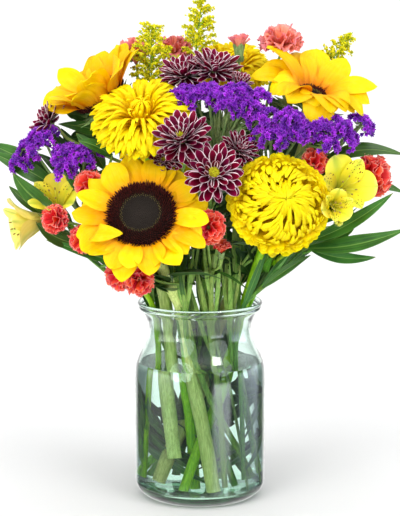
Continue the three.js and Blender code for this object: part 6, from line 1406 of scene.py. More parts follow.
# ---------------------------------------------------------------- leaves and stems
def broad_leaf(kit, base, middle, tip, width, turn, mat, chance, nu=20, nv=8, thick=0.45, seed=0):
    """A strap-like leaf with a folded midrib and a waved edge, on the same line as its solid."""
    rng = np.random.default_rng(seed)
    A, B, C = (np.array(q, float) for q in (base, middle, tip))
    u = np.linspace(0, 1, nu + 1)
    ctrl = 2 * B - (A + C) / 2
    path = bez([A, ctrl, C], u)
    t = unit(np.gradient(path, axis=0))
    front = np.array([0, -1, 0.1]) if A[1] <= 20 else unit(np.array([C[0] * 0.6, C[1], 0.0]))
    look = front * (1 - abs(turn)) + np.array([0, 0, 1.0]) * abs(turn)
    side = unit(np.cross(look, t))
    hw = 0.5 * width * np.sin(np.pi * np.clip(0.045 + 0.955 * u, 0, 1)) ** 0.82 * (1 - 0.25 * u) * 1.04 + 0.16
    v = np.linspace(-1, 1, nv + 1)
    fold = 0.22 * (np.abs(v)[None] - 0.4) * hw[:, None]
    wave = 0.5 * np.sin(u[:, None] * rng.uniform(9, 14) + rng.uniform(0, 6)) * np.sign(v)[None] * np.abs(v)[None] ** 2 * np.minimum(1, hw[:, None] / 5)
    ribs = 0.10 * np.cos(v * 12)[None] * np.minimum(1, hw[:, None] / 5)
    strap(kit, path, side, hw, mat, chance, nv, 0.0, fold + wave + ribs, thick)
    return path


def lance(kit, root, tip, width, look, mat, chance, bend, nu=12, nv=6):
    """A smaller leaf from root to tip, bent by the vector bend."""
    u = tip_spacing(nu)
    path = bez([root, (root + tip) / 2 + bend, tip], u)
    t = unit(np.gradient(path, axis=0))
    side = unit(np.cross(look, t))
    hw = petal_width(u, width, 0.16, 0.42, 1.25, 0.95)
    v = np.linspace(-1, 1, nv + 1)
    fold = 0.26 * (np.abs(v)[None] - 0.4) * hw[:, None]
    strap(kit, path, side, hw, mat, chance, nv, 0.0, fold, 0.4)


def lobed(kit, root, tip, width, look, mat, chance, bend, nu=16, nv=6):
    """A mum's leaf, with rounded lobes down both edges."""
    u = np.linspace(0, 1, nu + 1)
    path = bez([root, (root + tip) / 2 + bend, tip], u)
    t = unit(np.gradient(path, axis=0))
    side = unit(np.cross(look, t))
    body = np.sin(np.pi * np.clip(0.04 + 0.96 * u, 0, 1)) ** 0.7 * (0.55 + 0.45 * np.sin(np.pi * np.clip(u * 1.15 - 0.05, 0, 1)))
    lobes = 1 + 0.28 * np.sin(u * 21 + 1.2)
    hw = 0.5 * width * body * lobes * np.where(u < 0.16, 0.25 + u * 4.7, 1) + 0.2
    v = np.linspace(-1, 1, nv + 1)
    fold = 0.3 * (np.abs(v)[None] - 0.4) * hw[:, None]
    strap(kit, path, side, hw, mat, chance, nv, 0.0, fold, 0.4)


# ---------------------------------------------------------------- the bouquet
# leaves that close the bouquet behind its blooms: kind, material, foot, tip, width
FILL = {
    "sunflower_left_stem": [
        ("lobed", "leaf_dark", (-90.3, -2, 376.3), (-130.5, -14, 386), 25), ("lobed", "leaf_dark", (-86.5, 0, 364.3), (-127.3, -8, 362.1), 23),
        ("lobed", "leaf_dark", (-94.6, 6, 379.5), (-114, 4, 397.4), 20), ("lance", "leaf", (-91.9, -10, 366.2), (-137.8, -22, 376), 13),
        ("lance", "leaf_dark", (-94.1, -6, 357), (-136.7, -14, 353.8), 14)],
    "statice_left_spray": [
        ("lance", "leaf_dark", (-123.4, -12, 332), (-150, -16, 372.6), 15), ("lance", "leaf_dark", (-115.8, -8, 335.5), (-135.5, -14, 371.4), 14),
        ("lance", "leaf", (-127.8, -8, 319.7), (-158.7, -10, 346.5), 12), ("lobed", "leaf_dark", (-100.3, -6, 327.4), (-131.2, -10, 347.5), 22),
        ("lance", "leaf", (-93.8, -16, 340.3), (-112.4, -26, 360.8), 10)],
    "mum_top_stem": [
        ("lobed", "leaf_dark", (27.8, 14, 329.1), (46.2, 2, 375.9), 27), ("lobed", "leaf_dark", (13.9, 12, 337.3), (17.7, 4, 387.6), 27),
        ("lobed", "leaf_dark", (0, 16, 346.9), (-3.9, 6, 391.3), 25), ("lobed", "leaf_dark", (39.7, 12, 331.4), (68.9, 2, 372), 27),
        ("lobed", "leaf_dark", (35.6, 12, 369.1), (37.3, 4, 401.3), 24), ("lobed", "leaf_dark", (14.2, 27, 205.7), (24.1, 20, 255.8), 25),
        ("lobed", "leaf_dark", (22.2, 20, 206.9), (38, 12, 253), 24), ("lobed", "leaf_dark", (4, 27, 204.6), (-4, 24, 251.2), 25),
        ("lobed", "leaf_dark", (16.2, 28, 232.2), (22, 18, 282.5), 25), ("lobed", "leaf_dark", (26.1, 20, 259.9), (29.8, 8, 307.9), 25),
        ("lobed", "leaf_dark", (2, 12, 126), (8, 8, 172), 26), ("lobed", "leaf_dark", (16, 14, 122), (26, 10, 166), 24),
        ("lobed", "leaf_dark", (-6, 16, 148), (-14, 14, 192), 22), ("lobed", "leaf_dark", (18, 8, 148), (22, 4, 194), 22),
        ("lobed", "leaf_dark", (4, 4, 96), (-2, 0, 142), 24), ("lobed", "leaf_dark", (-2, -12, 128), (2, -14, 170), 18),
        ("lobed", "leaf_dark", (8, -16, 120), (14, -18, 160), 16), ("lobed", "leaf_dark", (24, -14, 130), (30, -12, 165), 14)],
    "sunflower_right_stem": [
        ("lobed", "leaf_dark", (80.1, -16, 338.3), (99.1, -20, 371.9), 26), ("lobed", "leaf_dark", (70.4, -14, 342.1), (76, -14, 377.3), 24),
        ("lobed", "leaf_dark", (97.9, -12, 339.9), (124.6, -18, 364), 24), ("lance", "leaf", (107.7, -10, 349.5), (141, -18, 373.7), 13),
        ("lobed", "leaf_dark", (87.7, -14, 375.3), (66, -18, 400.9), 22)],
    "mum_left_stem": [
        ("lobed", "leaf_dark", (-10, 2, 209.1), (-19.9, 4, 242.1), 22), ("lobed", "leaf_dark", (-23.9, 0, 211.5), (-39.9, 4, 236.1), 22)],
    "mum_right_stem": [
        ("lobed", "leaf_dark", (37.8, -2, 211.8), (57.8, 4, 244.2), 22)],
    "statice_middle_spray": [
        ("lance", "wing", (16.1, -62, 362.3), (13.2, -70, 390.1), 3.4), ("lance", "wing", (16.5, -62, 362.6), (15.8, -73, 394.2), 3.4),
        ("lance", "wing", (16.8, -62, 362.8), (18.6, -76, 392.5), 3.4), ("lance", "wing", (17.1, -62, 363), (22, -70, 395.5), 3.4),
        ("lance", "wing", (17.5, -62, 363.3), (24.5, -73, 393.4), 3.4), ("lance", "wing", (17.8, -62, 363.5), (28.4, -76, 396.4), 3.4),
        ("lance", "wing", (18.1, -62, 363.7), (30.7, -70, 393.2), 3.4), ("lance", "wing", (18.5, -62, 364), (35.2, -73, 395.5), 3.4),
        ("lance", "wing", (18.8, -62, 364.2), (36, -76, 391.5), 3.4), ("lance", "wing", (19.1, -62, 364.5), (40, -70, 391.3), 3.4),
        ("lance", "wing", (19.5, -62, 364.7), (40, -73, 387.3), 3.4), ("lance", "wing", (19.8, -62, 364.9), (43.7, -76, 387.3), 3.4),
        ("lance", "wing", (20.1, -62, 365.2), (43.1, -70, 382.7), 3.4), ("lance", "wing", (20.5, -62, 365.4), (46.5, -73, 382.2), 3.4),
        ("lance", "wing", (20.8, -62, 365.6), (44.9, -76, 378.8), 3.4), ("lance", "wing", (21.1, -62, 365.9), (48.3, -70, 377.1), 3.4),
        ("lance", "wing", (21.4, -62, 366.1), (46, -73, 374.2), 3.4)],
    "statice_right_spray": [
        ("lance", "wing", (59.2, -52, 353.7), (39.2, -58, 365.8), 3.2), ("lance", "wing", (59.2, -52, 353.7), (42.2, -61, 370.2), 3.2),
        ("lance", "wing", (59.2, -52, 353.7), (46, -64, 373.8), 3.2), ("lance", "wing", (59.2, -52, 353.7), (50.7, -58, 375.7), 3.2),
        ("lance", "wing", (59.2, -52, 353.7), (55.6, -61, 377.2), 3.2), ("lance", "wing", (59.2, -52, 353.7), (60.7, -64, 377.6), 3.2),
        ("lance", "wing", (59.2, -52, 353.7), (66, -58, 376.1), 3.2), ("lance", "wing", (59.2, -52, 353.7), (70.5, -61, 374.2), 3.2),
        ("lance", "wing", (59.2, -52, 353.7), (74.5, -64, 371.3), 3.2)],
}
BY_NAME = {b[0]: b for b in BLOOMS}
VIEW = np.array([0, -1757.0, 524.4])
KEEP_CLEAR = [(np.array(b[2]), b[4]) for b in BLOOMS] + [(np.array(c[:3]), c[3]) for v in CLUMPS.values() for c in v]


# the bouquet's outline as seen from the front, in mm on the plane through the vase's axis
OUTLINE = ((-58, 206), (-76, 218), (-96, 240), (-120, 254), (-152, 266), (-172, 288), (-180, 320), (-180, 345), (-158, 388), (-138, 394), (-80, 410),
           (-30, 426), (30, 426), (100, 412), (144, 388), (166, 366), (166, 326), (168, 292), (146, 268), (98, 246), (62, 214), (58, 206))


def stray(p):
    """True when a point shows outside the bouquet's outline."""
    k = -VIEW[1] / (p[1] - VIEW[1])
    x, z = p[0] * k, VIEW[2] + (p[2] - VIEW[2]) * k
    inside = False
    for (ax, az), (bx, bz) in zip(OUTLINE, OUTLINE[1:] + OUTLINE[:1]):
        if (az > z) != (bz > z) and x < (bx - ax) * (z - az) / (bz - az) + ax:
            inside = not inside
    return not inside


def hides(p, keep=0.92):
    """True when a point stands before a bloom, or inside one, as seen from the front."""
    d = unit(p - VIEW)
    for c, R in KEEP_CLEAR:
        w = c - VIEW
        along = w @ d
        off = np.linalg.norm(w - along * d)
        if off < keep * R and np.linalg.norm(p - VIEW) < along + 0.3 * R:
            return True
        if np.linalg.norm(p - c) < 0.9 * R:
            return True
    return False


def inside_vase(p, gap=3.0):
    r = math.hypot(p[0], p[1])
    return p[2] < 205 and r > 44


def strands(kit, node, mat, sides=14, ribs=0, rib=0.0, knots=0.0, thin=None, spread=1.0):
    """Every stem of a node, from its cut end to the blooms or leaves that it carries."""
    rng = np.random.default_rng(sum(map(ord, node)))
    paths = []
    for q, (r, pts) in enumerate(STEMS[node]):
        path = along_path(pts, 4.0)
        d = np.concatenate([[0], np.cumsum(np.linalg.norm(np.diff(path, axis=0), axis=1))])
        s = d / d[-1]
        main = q == 0
        rad = r * spread * ((0.95 + 0.10 * s) if main else (1.0 - 0.12 * s))
        rad = rad * (1 + 0.02 * np.sin(d * 0.11 + rng.uniform(0, 6)))
        if knots:
            for k in np.arange(rng.uniform(12, 30), d[-1], knots * rng.uniform(0.9, 1.15)):
                rad = rad * (1 + 0.34 * np.exp(-((d - k) / 2.0) ** 2))
        tube(kit, path, rad, mat if main or thin is None else thin, rng.uniform(), sides if main else max(8, sides - 4), ribs if main else 0, rib,
             d / 400.0, 0.0 if main else 0.3)
        paths.append((path, d, r * spread))
    return paths


def foliage(kit, paths, seed, count, zone, size, width, mat, kind="lance", out=(0.9, 0.35), keep=0.92):
    """Leaves up the stems, wherever there is room between the blooms."""
    rng = np.random.default_rng(seed)
    pool = []
    for path, d, r in paths:
        for i in range(2, len(path) - 1):
            if zone[0] < path[i][2] < zone[1]:
                pool.append((path[i], unit(path[i - 1] - path[i]), r))
    made = 0
    for _ in range(count * 60):
        if made == count or not pool:
            break
        p, t, r = pool[rng.integers(len(pool))]
        a = rng.uniform(0, 2 * math.pi)
        flat = np.array([math.cos(a), math.sin(a), 0.0])
        radial = np.array([p[0], p[1], 0.0])
        radial = radial / (np.linalg.norm(radial) + 25)
        d = unit(flat * out[0] + radial * 0.9 + np.array([0, 0, rng.uniform(-0.35, out[1] + 0.55)]))
        L = rng.uniform(*size)
        root = p + unit(d - (d @ t) * t) * r * 0.5
        tip = root + d * L
        bend = np.array([0, 0, rng.uniform(0.05, 0.20) * L])
        mid = (root + tip) / 2 + bend * 0.5
        q3 = root * 0.25 + tip * 0.75 + bend * 0.35
        if any(hides(x, keep) or stray(x) for x in (mid, q3, tip)) or any(inside_vase(x) for x in (mid, tip)):
            continue
        if mid[2] < 206 or tip[2] < 206 or not (-203 < tip[0] < 192 and -143 < tip[1] < 124 and tip[2] < 492):
            continue
        if math.hypot(mid[0], mid[1]) < 60 and mid[2] < 212:
            continue
        look = unit(np.array([rng.uniform(-0.4, 0.4), rng.uniform(-0.9, 0.2), 0.75]))
        if abs(look @ d) > 0.9:
            continue
        w = rng.uniform(*width)
        (lobed if kind == "lobed" else lance)(kit, root, tip, w, look, mat, rng.uniform(), bend)
        made += 1
    return made


def blades(kit, paths, seed, count, zone, size, width, mat, wander=0.26):
    """Narrow leaves that run up beside the stems, through the neck of the vase."""
    rng = np.random.default_rng(seed)
    pool = [(path[i], unit(path[i - 1] - path[i]), r) for path, d, r in paths[:1] for i in range(2, len(path) - 1) if zone[0] < path[i][2] < zone[1]]
    made = 0
    for _ in range(count * 60):
        if made == count or not pool:
            break
        p, t, r = pool[rng.integers(len(pool))]
        w = rng.normal(0, 1, 3)
        d = unit(t + unit(w - (w @ t) * t) * wander * rng.uniform(0.3, 1.0))
        L = rng.uniform(*size)
        root = p + unit(w - (w @ t) * t) * r * 0.7
        tip = root + d * L
        mid = (root + tip) / 2
        bad = hides(mid, 0.8) or hides(tip, 0.8)
        for q in (root * 0.7 + tip * 0.3, mid, root * 0.3 + tip * 0.7, tip):
            rr = math.hypot(q[0], q[1])
            bad = bad or (q[2] < 202 and rr > (44 if q[2] > 150 else 56)) or (q[2] < 214 and rr > 55)
        if bad or tip[2] < 120 or any(q[2] > 214 and stray(q) for q in (mid, root * 0.3 + tip * 0.7, tip)):
            continue
        look = unit(np.array([rng.uniform(-0.6, 0.6), -1.0, rng.uniform(-0.2, 0.3)]))
        lance(kit, root, tip, rng.uniform(*width), look, mat, rng.uniform(), unit(w) * rng.uniform(1, 5), 14, 4)
        made += 1


def wall_leaves(kit, paths, seed, count, mat="leaf"):
    """Long leaves under water that lean on the glass."""
    rng = np.random.default_rng(seed)
    pool = [(path[i], r) for path, d, r in paths[:1] for i in range(2, len(path) - 1) if 20 < path[i][2] < 75 and math.hypot(*path[i][:2]) > 20]
    for _ in range(count):
        if not pool:
            return
        p, r = pool[rng.integers(len(pool))]
        a = math.atan2(p[1], p[0]) + rng.uniform(-0.5, 0.5)
        e = np.array([math.cos(a), math.sin(a), 0])
        if e[1] < -0.45:
            e = np.array([math.copysign(1.0, e[0]), rng.uniform(-0.3, 0.5), 0])
            e = e / np.linalg.norm(e)
        L = rng.uniform(38, 72)
        h = min(p[2] + L, 126)
        tip = e * rng.uniform(49, 54) + np.array([0, 0, h])
        mid = e * 53 + np.array([0, 0, (p[2] + h) / 2])
        lance(kit, p, tip, rng.uniform(8, 15), unit(e * [1, 1, 0] + [0.05, -0.2, 0]), mat, rng.uniform(), mid - (p + tip) / 2, 16, 6)


def drowned(kit, paths, seed, count, mat="leaf_dark"):
    """Leaves left on the stems inside the vase, mostly towards its back."""
    rng = np.random.default_rng(seed)
    pool = [(path[i], unit(path[i - 1] - path[i]), r) for path, d, r in paths[:1] for i in range(2, len(path) - 1) if 30 < path[i][2] < 175]
    made = 0
    for _ in range(count * 80):
        if made == count or not pool:
            break
        p, t, r = pool[rng.integers(len(pool))]
        a = rng.uniform(0, 2 * math.pi)
        d = unit(np.array([math.cos(a), math.sin(a) + 0.5, rng.uniform(-1.1, 0.9)]))
        L = rng.uniform(26, 50)
        root = p + unit(d - (d @ t) * t) * r * 0.5
        tip = root + d * L
        bend = np.array([0, 0, rng.uniform(-0.1, 0.15) * L])
        wide = 46 if tip[2] > 128 else 55
        if math.hypot(tip[0], tip[1]) > wide - 4 or not 14 < tip[2] < 186 or tip[1] < -2:
            continue
        w = rng.uniform(14, 24)
        q = (root + tip) / 2 + bend
        if math.hypot(q[0], q[1]) + w / 2 > (58 if q[2] < 128 else 47):
            continue
        look = unit(np.array([rng.uniform(-0.5, 0.5), -1.0, rng.uniform(-0.3, 0.5)]))
        if abs(look @ d) > 0.85:
            continue
        lobed(kit, root, tip, w, look, mat, rng.uniform(), bend)
        made += 1


def fill(kit, node, paths):
    """The leaves of FILL, each on a short stalk from the nearest stem."""
    rng = np.random.default_rng(len(node))
    for kind, mat, foot, tip, width in FILL.get(node, ()):
        foot, tip = np.array(foot, float), np.array(tip, float)
        every = np.vstack([path for path, d, r in paths])
        gap = np.linalg.norm(every - foot, axis=1) + np.abs(every[:, 2] - foot[2] + 12) * 0.4
        root = every[int(np.argmin(gap))]
        L = np.linalg.norm(tip - foot)
        stalk = bez([root, (root + foot) / 2 - np.array([0, 0, 4.0]), foot, foot + (tip - foot) * 0.12], np.linspace(0, 1, 10))
        tube(kit, stalk, np.linspace(1.0, 0.6, 10), "stem_dark" if mat != "wing" else "wing", rng.uniform(), 6)
        look = unit(np.array([rng.uniform(-0.35, 0.35), -1.0, rng.uniform(0.0, 0.5)]))
        bend = np.array([0, rng.uniform(-0.05, 0.1) * L, rng.uniform(0.02, 0.09) * L])
        (lobed if kind == "lobed" else lance)(kit, foot, tip, width, look, mat, rng.uniform(), bend)


def small_bud(kit, root, tip, r, mat, colour, seed):
    """A side bud on its own short stalk."""
    root, tip = np.array(root, float), np.array(tip, float)
    mid = (root + tip) / 2 + np.array([0, 0, -0.12 * np.linalg.norm(tip - root)])
    path = bez([root, mid, tip], np.linspace(0, 1, 9))
    tube(kit, path, np.linspace(1.2, 1.0, 9), mat, 0.4, 8)
    A = axes(tip - mid)
    calyx_tube(kit, tip, A, 0.62 * r, 0.72 * r, -0.4 * r, 0.9 * r)
    n = 7
    i = np.arange(n)
    p = np.stack([0.28 * r * np.cos(i * GOLD), 0.28 * r * np.sin(i * GOLD), np.full(n, 0.3 * r)], 1)
    out = np.stack([0.3 * np.cos(i * GOLD), 0.3 * np.sin(i * GOLD), np.ones(n)], 1)
    scatter(kit, bead(8), p @ A + tip, out @ A, np.stack([np.full(n, 0.36 * r)] * 2 + [np.full(n, 1.15 * r)], 1), colour, np.linspace(0.2, 0.8, n))


# ---- sunflowers
FOLD = [((30, 214), (55, 207, 5), (50, 214, 19), (-13, -25, 10), 19.0)]
RAYS = (
    ("front", (14, 3, -4), (14, 3, -4), 27, 11, 35.5, 23.5, FOLD),
    ("left", (86, 62, 26), (42, 22, 2), 22, 12, 39.0, 26.0, ()),
    ("right", (72, -4, -64), (38, 16, -8), 22, 13, 48.0, 28.0, ()),
)
TURNED = {"sunflower_left": (-0.52, -0.33, 0.79), "sunflower_right": (0.25, -0.42, 0.87)}
for name, near, far, count, seed, length, width, fold in RAYS:
    node = "sunflower_" + name
    _, _, at, face, R, depth = BY_NAME[node]
    at = np.array(at)
    if node in TURNED:   # turned about the top of its stem
        at = at - depth * unit(np.array(face)) + depth * unit(np.array(TURNED[node]))
        face = TURNED[node]
    kit = Kit()
    foot, disc = {"front": (27.0, 31.0), "left": (21.0, 24.0), "right": (13.0, 16.0)}[name]
    sunflower_petals(kit, at, face, R, near, far, seed, count, length, width, fold, 8.0, foot)
    finish_piece(kit, node + "_ray_petals", node + "_petals", 80)
    kit = Kit()
    sunflower_disc(kit, at, face, seed + 20, disc)
    finish_piece(kit, node + "_seed_disc", node + "_disc", 80)
    kit = Kit()
    paths = strands(kit, node + "_stem", "stem_thick", 22, 11, 0.035)
    bracts(kit, at, face, seed + 40)
    foliage(kit, paths, seed + 60, 20, (215, 385), (34, 62), (15, 24), "leaf_dark")
    wall_leaves(kit, paths, seed + 75, 2)
    blades(kit, paths, seed + 80, 5, (150, 260), (45, 90), (3.5, 6.0), "leaf")
    fill(kit, node + "_stem", paths)
    finish_piece(kit, node + "_stalk", node + "_stem", 60)

# ---- yellow pompon mums
MUMS = (("left", 21, 480, (8, 34), (1.5, 2.9, 4.8, 6.0, 6.4), 1.0, 15.0, 0.22, (34, 7.5), 0.24),
        ("right", 22, 560, (62, 98), (1.6, 2.8, 4.4, 6.8, 8.0), 0.0, 3.0, 0.16, (30, 12.0), 0.20),
        ("top", 23, 350, (12, 50), (1.7, 3.0, 5.2, 7.0, 7.2), 0.7, 12.0, 0.2, (28, 8.0), 0.2),
        ("back", 24, 330, (20, 66), (1.8, 3.2, 5.6, 7.6, 8.0), 0.4, 8.0, 0.3, (28, 9.5), 0.3))
for name, seed, count, inc, widths, spiky, sweep, swirl, rim, tuft in MUMS:
    node = "mum_" + name
    _, _, at, face, R, depth = BY_NAME[node]
    at = np.array(at)
    kit = Kit()
    pompon(kit, at, face, R, seed, count, inc, widths, spiky, sweep, swirl, rim, tuft)
    A = axes(face)
    w = np.linspace(0, 2 * np.pi, 24, endpoint=False)
    core = np.stack([np.stack([r * R * np.cos(w), r * R * np.sin(w), np.full(24, h * R)], 1) for r, h in
                     ((0.12, -0.30), (0.22, -0.26), (0.28, -0.12), (0.24, 0.04), (0.12, 0.12))])
    loft(kit, core @ A + at, "mum", 0.2, along=[0.2] * 5)
    green_cup(kit, at, A, 0.34 * R, -depth - 0.6, -0.20 * R, 12)
    finish_piece(kit, node + "_petals", node + "_bloom", 80)
    kit = Kit()
    paths = strands(kit, node + "_stem", "stem_bright" if name in ("left", "right") else "stem_mid", 16, 7, 0.03)
    foliage(kit, paths, seed + 60, 18 if name in ("left", "right") else 34, (212, 400), (30, 56), (16, 28), "leaf_dark", "lobed")
    drowned(kit, paths, seed + 70, 5)
    wall_leaves(kit, paths, seed + 75, 3)
    fill(kit, node + "_stem", paths)
    finish_piece(kit, node + "_stalk", node + "_stem", 60)

# ---- burgundy daisy mums
for k in range(1, 9):
    node = "burgundy_mum_%d" % k
    _, _, at, face, R, depth = BY_NAME[node]
    if k == 6:
        R = 22
    kit = Kit()
    lay = None if R > 16 else [(6, 74, 0.7), (9, 62, 0.85), (11, 48, 0.98), (11, 30, 1.0)]
    daisy_mum(kit, np.array(at), face, R, depth, 40 + k, 1 if k == 5 else 0, k in (4, 8), lay)
    finish_piece(kit, node + "_petals", node + "_bloom", 80)
for side, seed in (("left", 51), ("right", 52)):
    node = "burgundy_mum_%s_spray_stem" % side
    kit = Kit()
    paths = strands(kit, node, "stem_dark", 12, 6, 0.04, thin="stem_mid")
    foliage(kit, paths, seed, 18, (215, 400), (22, 44), (11, 20), "leaf_dark", "lobed")
    finish_piece(kit, "burgundy_mum_%s_stalks" % side, node, 60)

# ---- spray carnations
for k in range(1, 15):
    node = "carnation_%d" % k
    _, _, at, face, R, depth = BY_NAME[node]
    at = np.array(at)
    kit = Kit()
    if k == 8:
        carnation_bud(kit, at, face, R, depth, 60 + k)
    elif k == 7:
        ruffle(kit, at, face, R, depth, 60 + k, 18, (4, 62), "coral", 1.0, 1.0)
    elif k == 9:
        ruffle(kit, at, face, R * 1.06, depth, 60 + k, 34, (8, 106), "coral_pale", 1.14, 0.6, 0.30, 1.1)
    elif k in (10, 11):
        ruffle(kit, at, face, R * 1.28, depth, 60 + k, 32, (8, 104), "coral_pale", 1.1, 0.6, 0.25, 1.05)
    elif k == 13:
        ruffle(kit, at, face, R * 1.1, depth, 60 + k, 36, (4, 100), "coral", 1.1, 0.85)
    else:
        ruffle(kit, at, face, R, depth, 60 + k, 28)
    finish_piece(kit, node + "_petals", node + "_bloom", 80)
for side, seed in (("left", 81), ("middle", 82), ("right", 83)):
    node = "carnation_%s_stem" % side
    kit = Kit()
    paths = strands(kit, node, "stem_mid", 12, 0, 0.0, 46.0)
    foliage(kit, paths, seed, 14, (215, 400), (30, 55), (3.2, 5.0), "leaf", out=(0.5, 0.8), keep=0.8)
    blades(kit, paths, seed + 80, 12, (140, 280), (45, 95), (3.0, 5.0), "stem_mid")
    if side == "right":   # two thin loose stalks that lean across the vase
        for head, heel, r in (((12, -18, 178), (43, -27, 11.5), 1.5), ((26, -20, 172), (53, -8, 14), 1.3)):
            line = bez([head, (np.array(head) + heel) / 2 + [3, -6, 0], heel], np.linspace(0, 1, 24))
            tube(kit, line, np.linspace(r * 0.9, r, 24), "wing", 0.7, 8)
    finish_piece(kit, "carnation_%s_stalks" % side, node, 60)

# ---- alstroemeria
for k in range(1, 5):
    node = "alstroemeria_%d" % k
    _, _, at, face, R, depth = BY_NAME[node]
    at, stalk_end = np.array(at), np.array(at) - depth * unit(np.array(face))
    face, R = {1: ((-0.91, -0.30, -0.16), 28), 2: (face, 25), 3: (face, 29), 4: ((0.18, -0.96, 0.14), 17)}[k]
    at = stalk_end + depth * unit(np.array(face))
    kit = Kit()
    lily(kit, at, face, R, depth, 90 + k, {1: 0.16, 4: 0.2}.get(k, 0.0), k == 1)
    finish_piece(kit, node + "_petals", node + "_bloom", 80)
for side, seed in (("left", 101), ("right", 102)):
    node = "alstroemeria_%s_stem" % side
    kit = Kit()
    paths = strands(kit, node, "stem_bright", 14, 0, 0.0)
    foliage(kit, paths, seed, 9, (212, 300), (30, 50), (7, 11), "leaf_bright", out=(0.8, 0.2), keep=0.85)
    wall_leaves(kit, paths, seed + 75, 4, "leaf_bright")
    blades(kit, paths, seed + 80, 8, (150, 240), (50, 95), (5.0, 8.0), "leaf_bright")
    if side == "right":
        small_bud(kit, [121.0, -75.3, 297.8], [128.0, -106.0, 292.0], 5.0, "stem_bright", "lily", 5)
    finish_piece(kit, "alstroemeria_%s_stalk" % side, node, 60)

# ---- statice
for side, seed in (("left", 111), ("middle", 112), ("right", 113)):
    node = "statice_%s_spray" % side
    kit = Kit()
    paths = strands(kit, node, "wing", 12, 4, 0.22, spread=0.94)
    fill(kit, node, paths)
    for i, clump in enumerate(CLUMPS[node]):
        foot = min((np.array(pts[-1]) for _, pts in STEMS[node][1:]), key=lambda q: np.linalg.norm(q - np.array(clump[:3])))
        root = [np.array(pts[0]) for _, pts in STEMS[node][1:] if np.allclose(pts[-1], foot)][0]
        statice(kit, clump, seed * 10 + i, root)
    finish_piece(kit, node + "_florets", node, 60)

# ---- goldenrod
for side, seed in (("left", 121), ("right", 123)):
    node = "goldenrod_%s_plume" % side
    kit = Kit()
    paths = strands(kit, node, "stem_mid", 10, 0, 0.0)
    for i, (axis, R) in enumerate(PLUMES[node]):
        goldenrod(kit, axis, R, seed + i, 1.42 if side == "left" else 1.5)
    foliage(kit, paths, seed + 7, 8, (300, 430), (20, 34), (3.0, 5.0), "leaf", out=(0.6, 0.7), keep=0.7)
    finish_piece(kit, node + "_florets", node, 60)

# ---- cut greens
for side, seed in (("left", 131), ("right", 132), ("back", 133)):
    node = "greens_%s_sprig" % side
    rng = np.random.default_rng(seed)
    kit = Kit()
    paths = strands(kit, node, "stem_dark", 10, 0, 0.0)
    blades(kit, paths, seed + 80, 14, (150, 280), (50, 100), (4.0, 7.5), "leaf")
    wall_leaves(kit, paths, seed + 75, 3)
    for i, (base, middle, tip, width, turn) in enumerate(LEAVES[node]):
        broad_leaf(kit, base, middle, tip, width, turn, "leaf_dark" if side == "back" and i % 3 == 0 else "leaf", rng.uniform(), seed=seed * 20 + i)
    finish_piece(kit, node + "_leaves", node, 70)


# ---------------------------------------------------------------- vase and water
def smooth_profile(points, step):
    p = np.array(points, float)
    return along_path(np.column_stack([p[:, 1], p[:, 0], np.zeros(len(p))]), step)[:, :2]   # (r, z)


def lathe(kit, profile, mat, sides=144):
    w = np.linspace(0, 2 * np.pi, sides, endpoint=False)
    rings = np.stack([np.stack([r * np.cos(w), r * np.sin(w), np.full(sides, z)], 1) for r, z in profile])
    loft(kit, rings, mat, 0.5)


outer = smooth_profile([[0.0, 50.5], [1.2, 54.5], [4.6, 59.6], [8.6, 63.0], [13.5, 64.8], [20, 65], [60, 65], [100, 65], [118, 65], [132, 64.2],
                        [142, 61.2], [152, 56], [160, 52.6], [167, 51], [174, 51.2], [182, 54], [188.6, 57.6]], 1.6)
lip = smooth_profile([[189.4, 58.3], [190.6, 60.3], [192.0, 61.1], [193.2, 60.9], [194.0, 60.7], [195.0, 61.7], [196.4, 62.3], [197.7, 61.6],
                      [198.2, 60.4], [197.7, 59.2], [196.2, 58.3], [193.6, 57.3]], 0.45)
inner = smooth_profile([[190, 55.6], [182, 51], [174, 48.2], [167, 48], [160, 49.8], [152, 53], [142, 58], [132, 60.8], [118, 61.5], [60, 61.5],
                        [24, 61.5], [17, 60.6], [12.6, 58.0], [10.2, 53.0], [9.3, 46.0], [9.0, 36.0], [9.0, 20.0], [9.0, 5.0]], 1.6)
under = np.array([[5, 1.9], [20, 1.8], [34, 1.5], [42, 1.0], [46.5, 0.35], [48.6, 0.0]])
kit = Kit()
lathe(kit, np.vstack([under, outer, lip, inner]), "glass")
finish_piece(kit, "vase_glass", "vase", 60)

wall = inner[::-1]
wall = wall[wall[:, 1] < WATER_TOP + 1.9]
wall = np.column_stack([wall[:, 0] + 0.15 * (wall[:, 0] > 40), wall[:, 1] - 0.15 * (wall[:, 1] < 12)])
rim = wall[-1]
top = np.array([[rim[0] - d, WATER_TOP + (rim[1] - WATER_TOP) * math.exp(-d / 1.3)] for d in (0.35, 0.8, 1.4, 2.2, 3.2, 4.6, 7, 12, 24, 42, 55)])
kit = Kit()
lathe(kit, np.vstack([wall, top]), "water")
finish_piece(kit, "vase_water", "water", 60)


# ---------------------------------------------------------------- floor, light and finish
side = 60.0
floor_mesh = bpy.data.meshes.new("floor")
floor_mesh.from_pydata([(-side, -side, 0), (side, -side, 0), (side, side, 0), (-side, side, 0)], [], [(0, 1, 2, 3)])
floor_mesh.materials.append(material("floor"))
floor = bpy.data.objects.new("floor", floor_mesh)
floor.location = (0, 0, -0.0002)
scene.collection.objects.link(floor)
floor.visible_glossy = False
floor.visible_transmission = False

world = bpy.data.worlds.new("world")
scene.world = world
world.use_nodes = True
wt = world.node_tree
wt.nodes.clear()


def wnode(kind, **props):
    n = wt.nodes.new(kind)
    for k, v in props.items():
        setattr(n, k, v)
    return n


# bright overhead and behind, dark low at the sides and behind the viewer, so that the glass has its dark outline
sky = wnode("ShaderNodeTexCoord")
split = wnode("ShaderNodeSeparateXYZ")
wt.links.new(sky.outputs["Generated"], split.inputs[0])


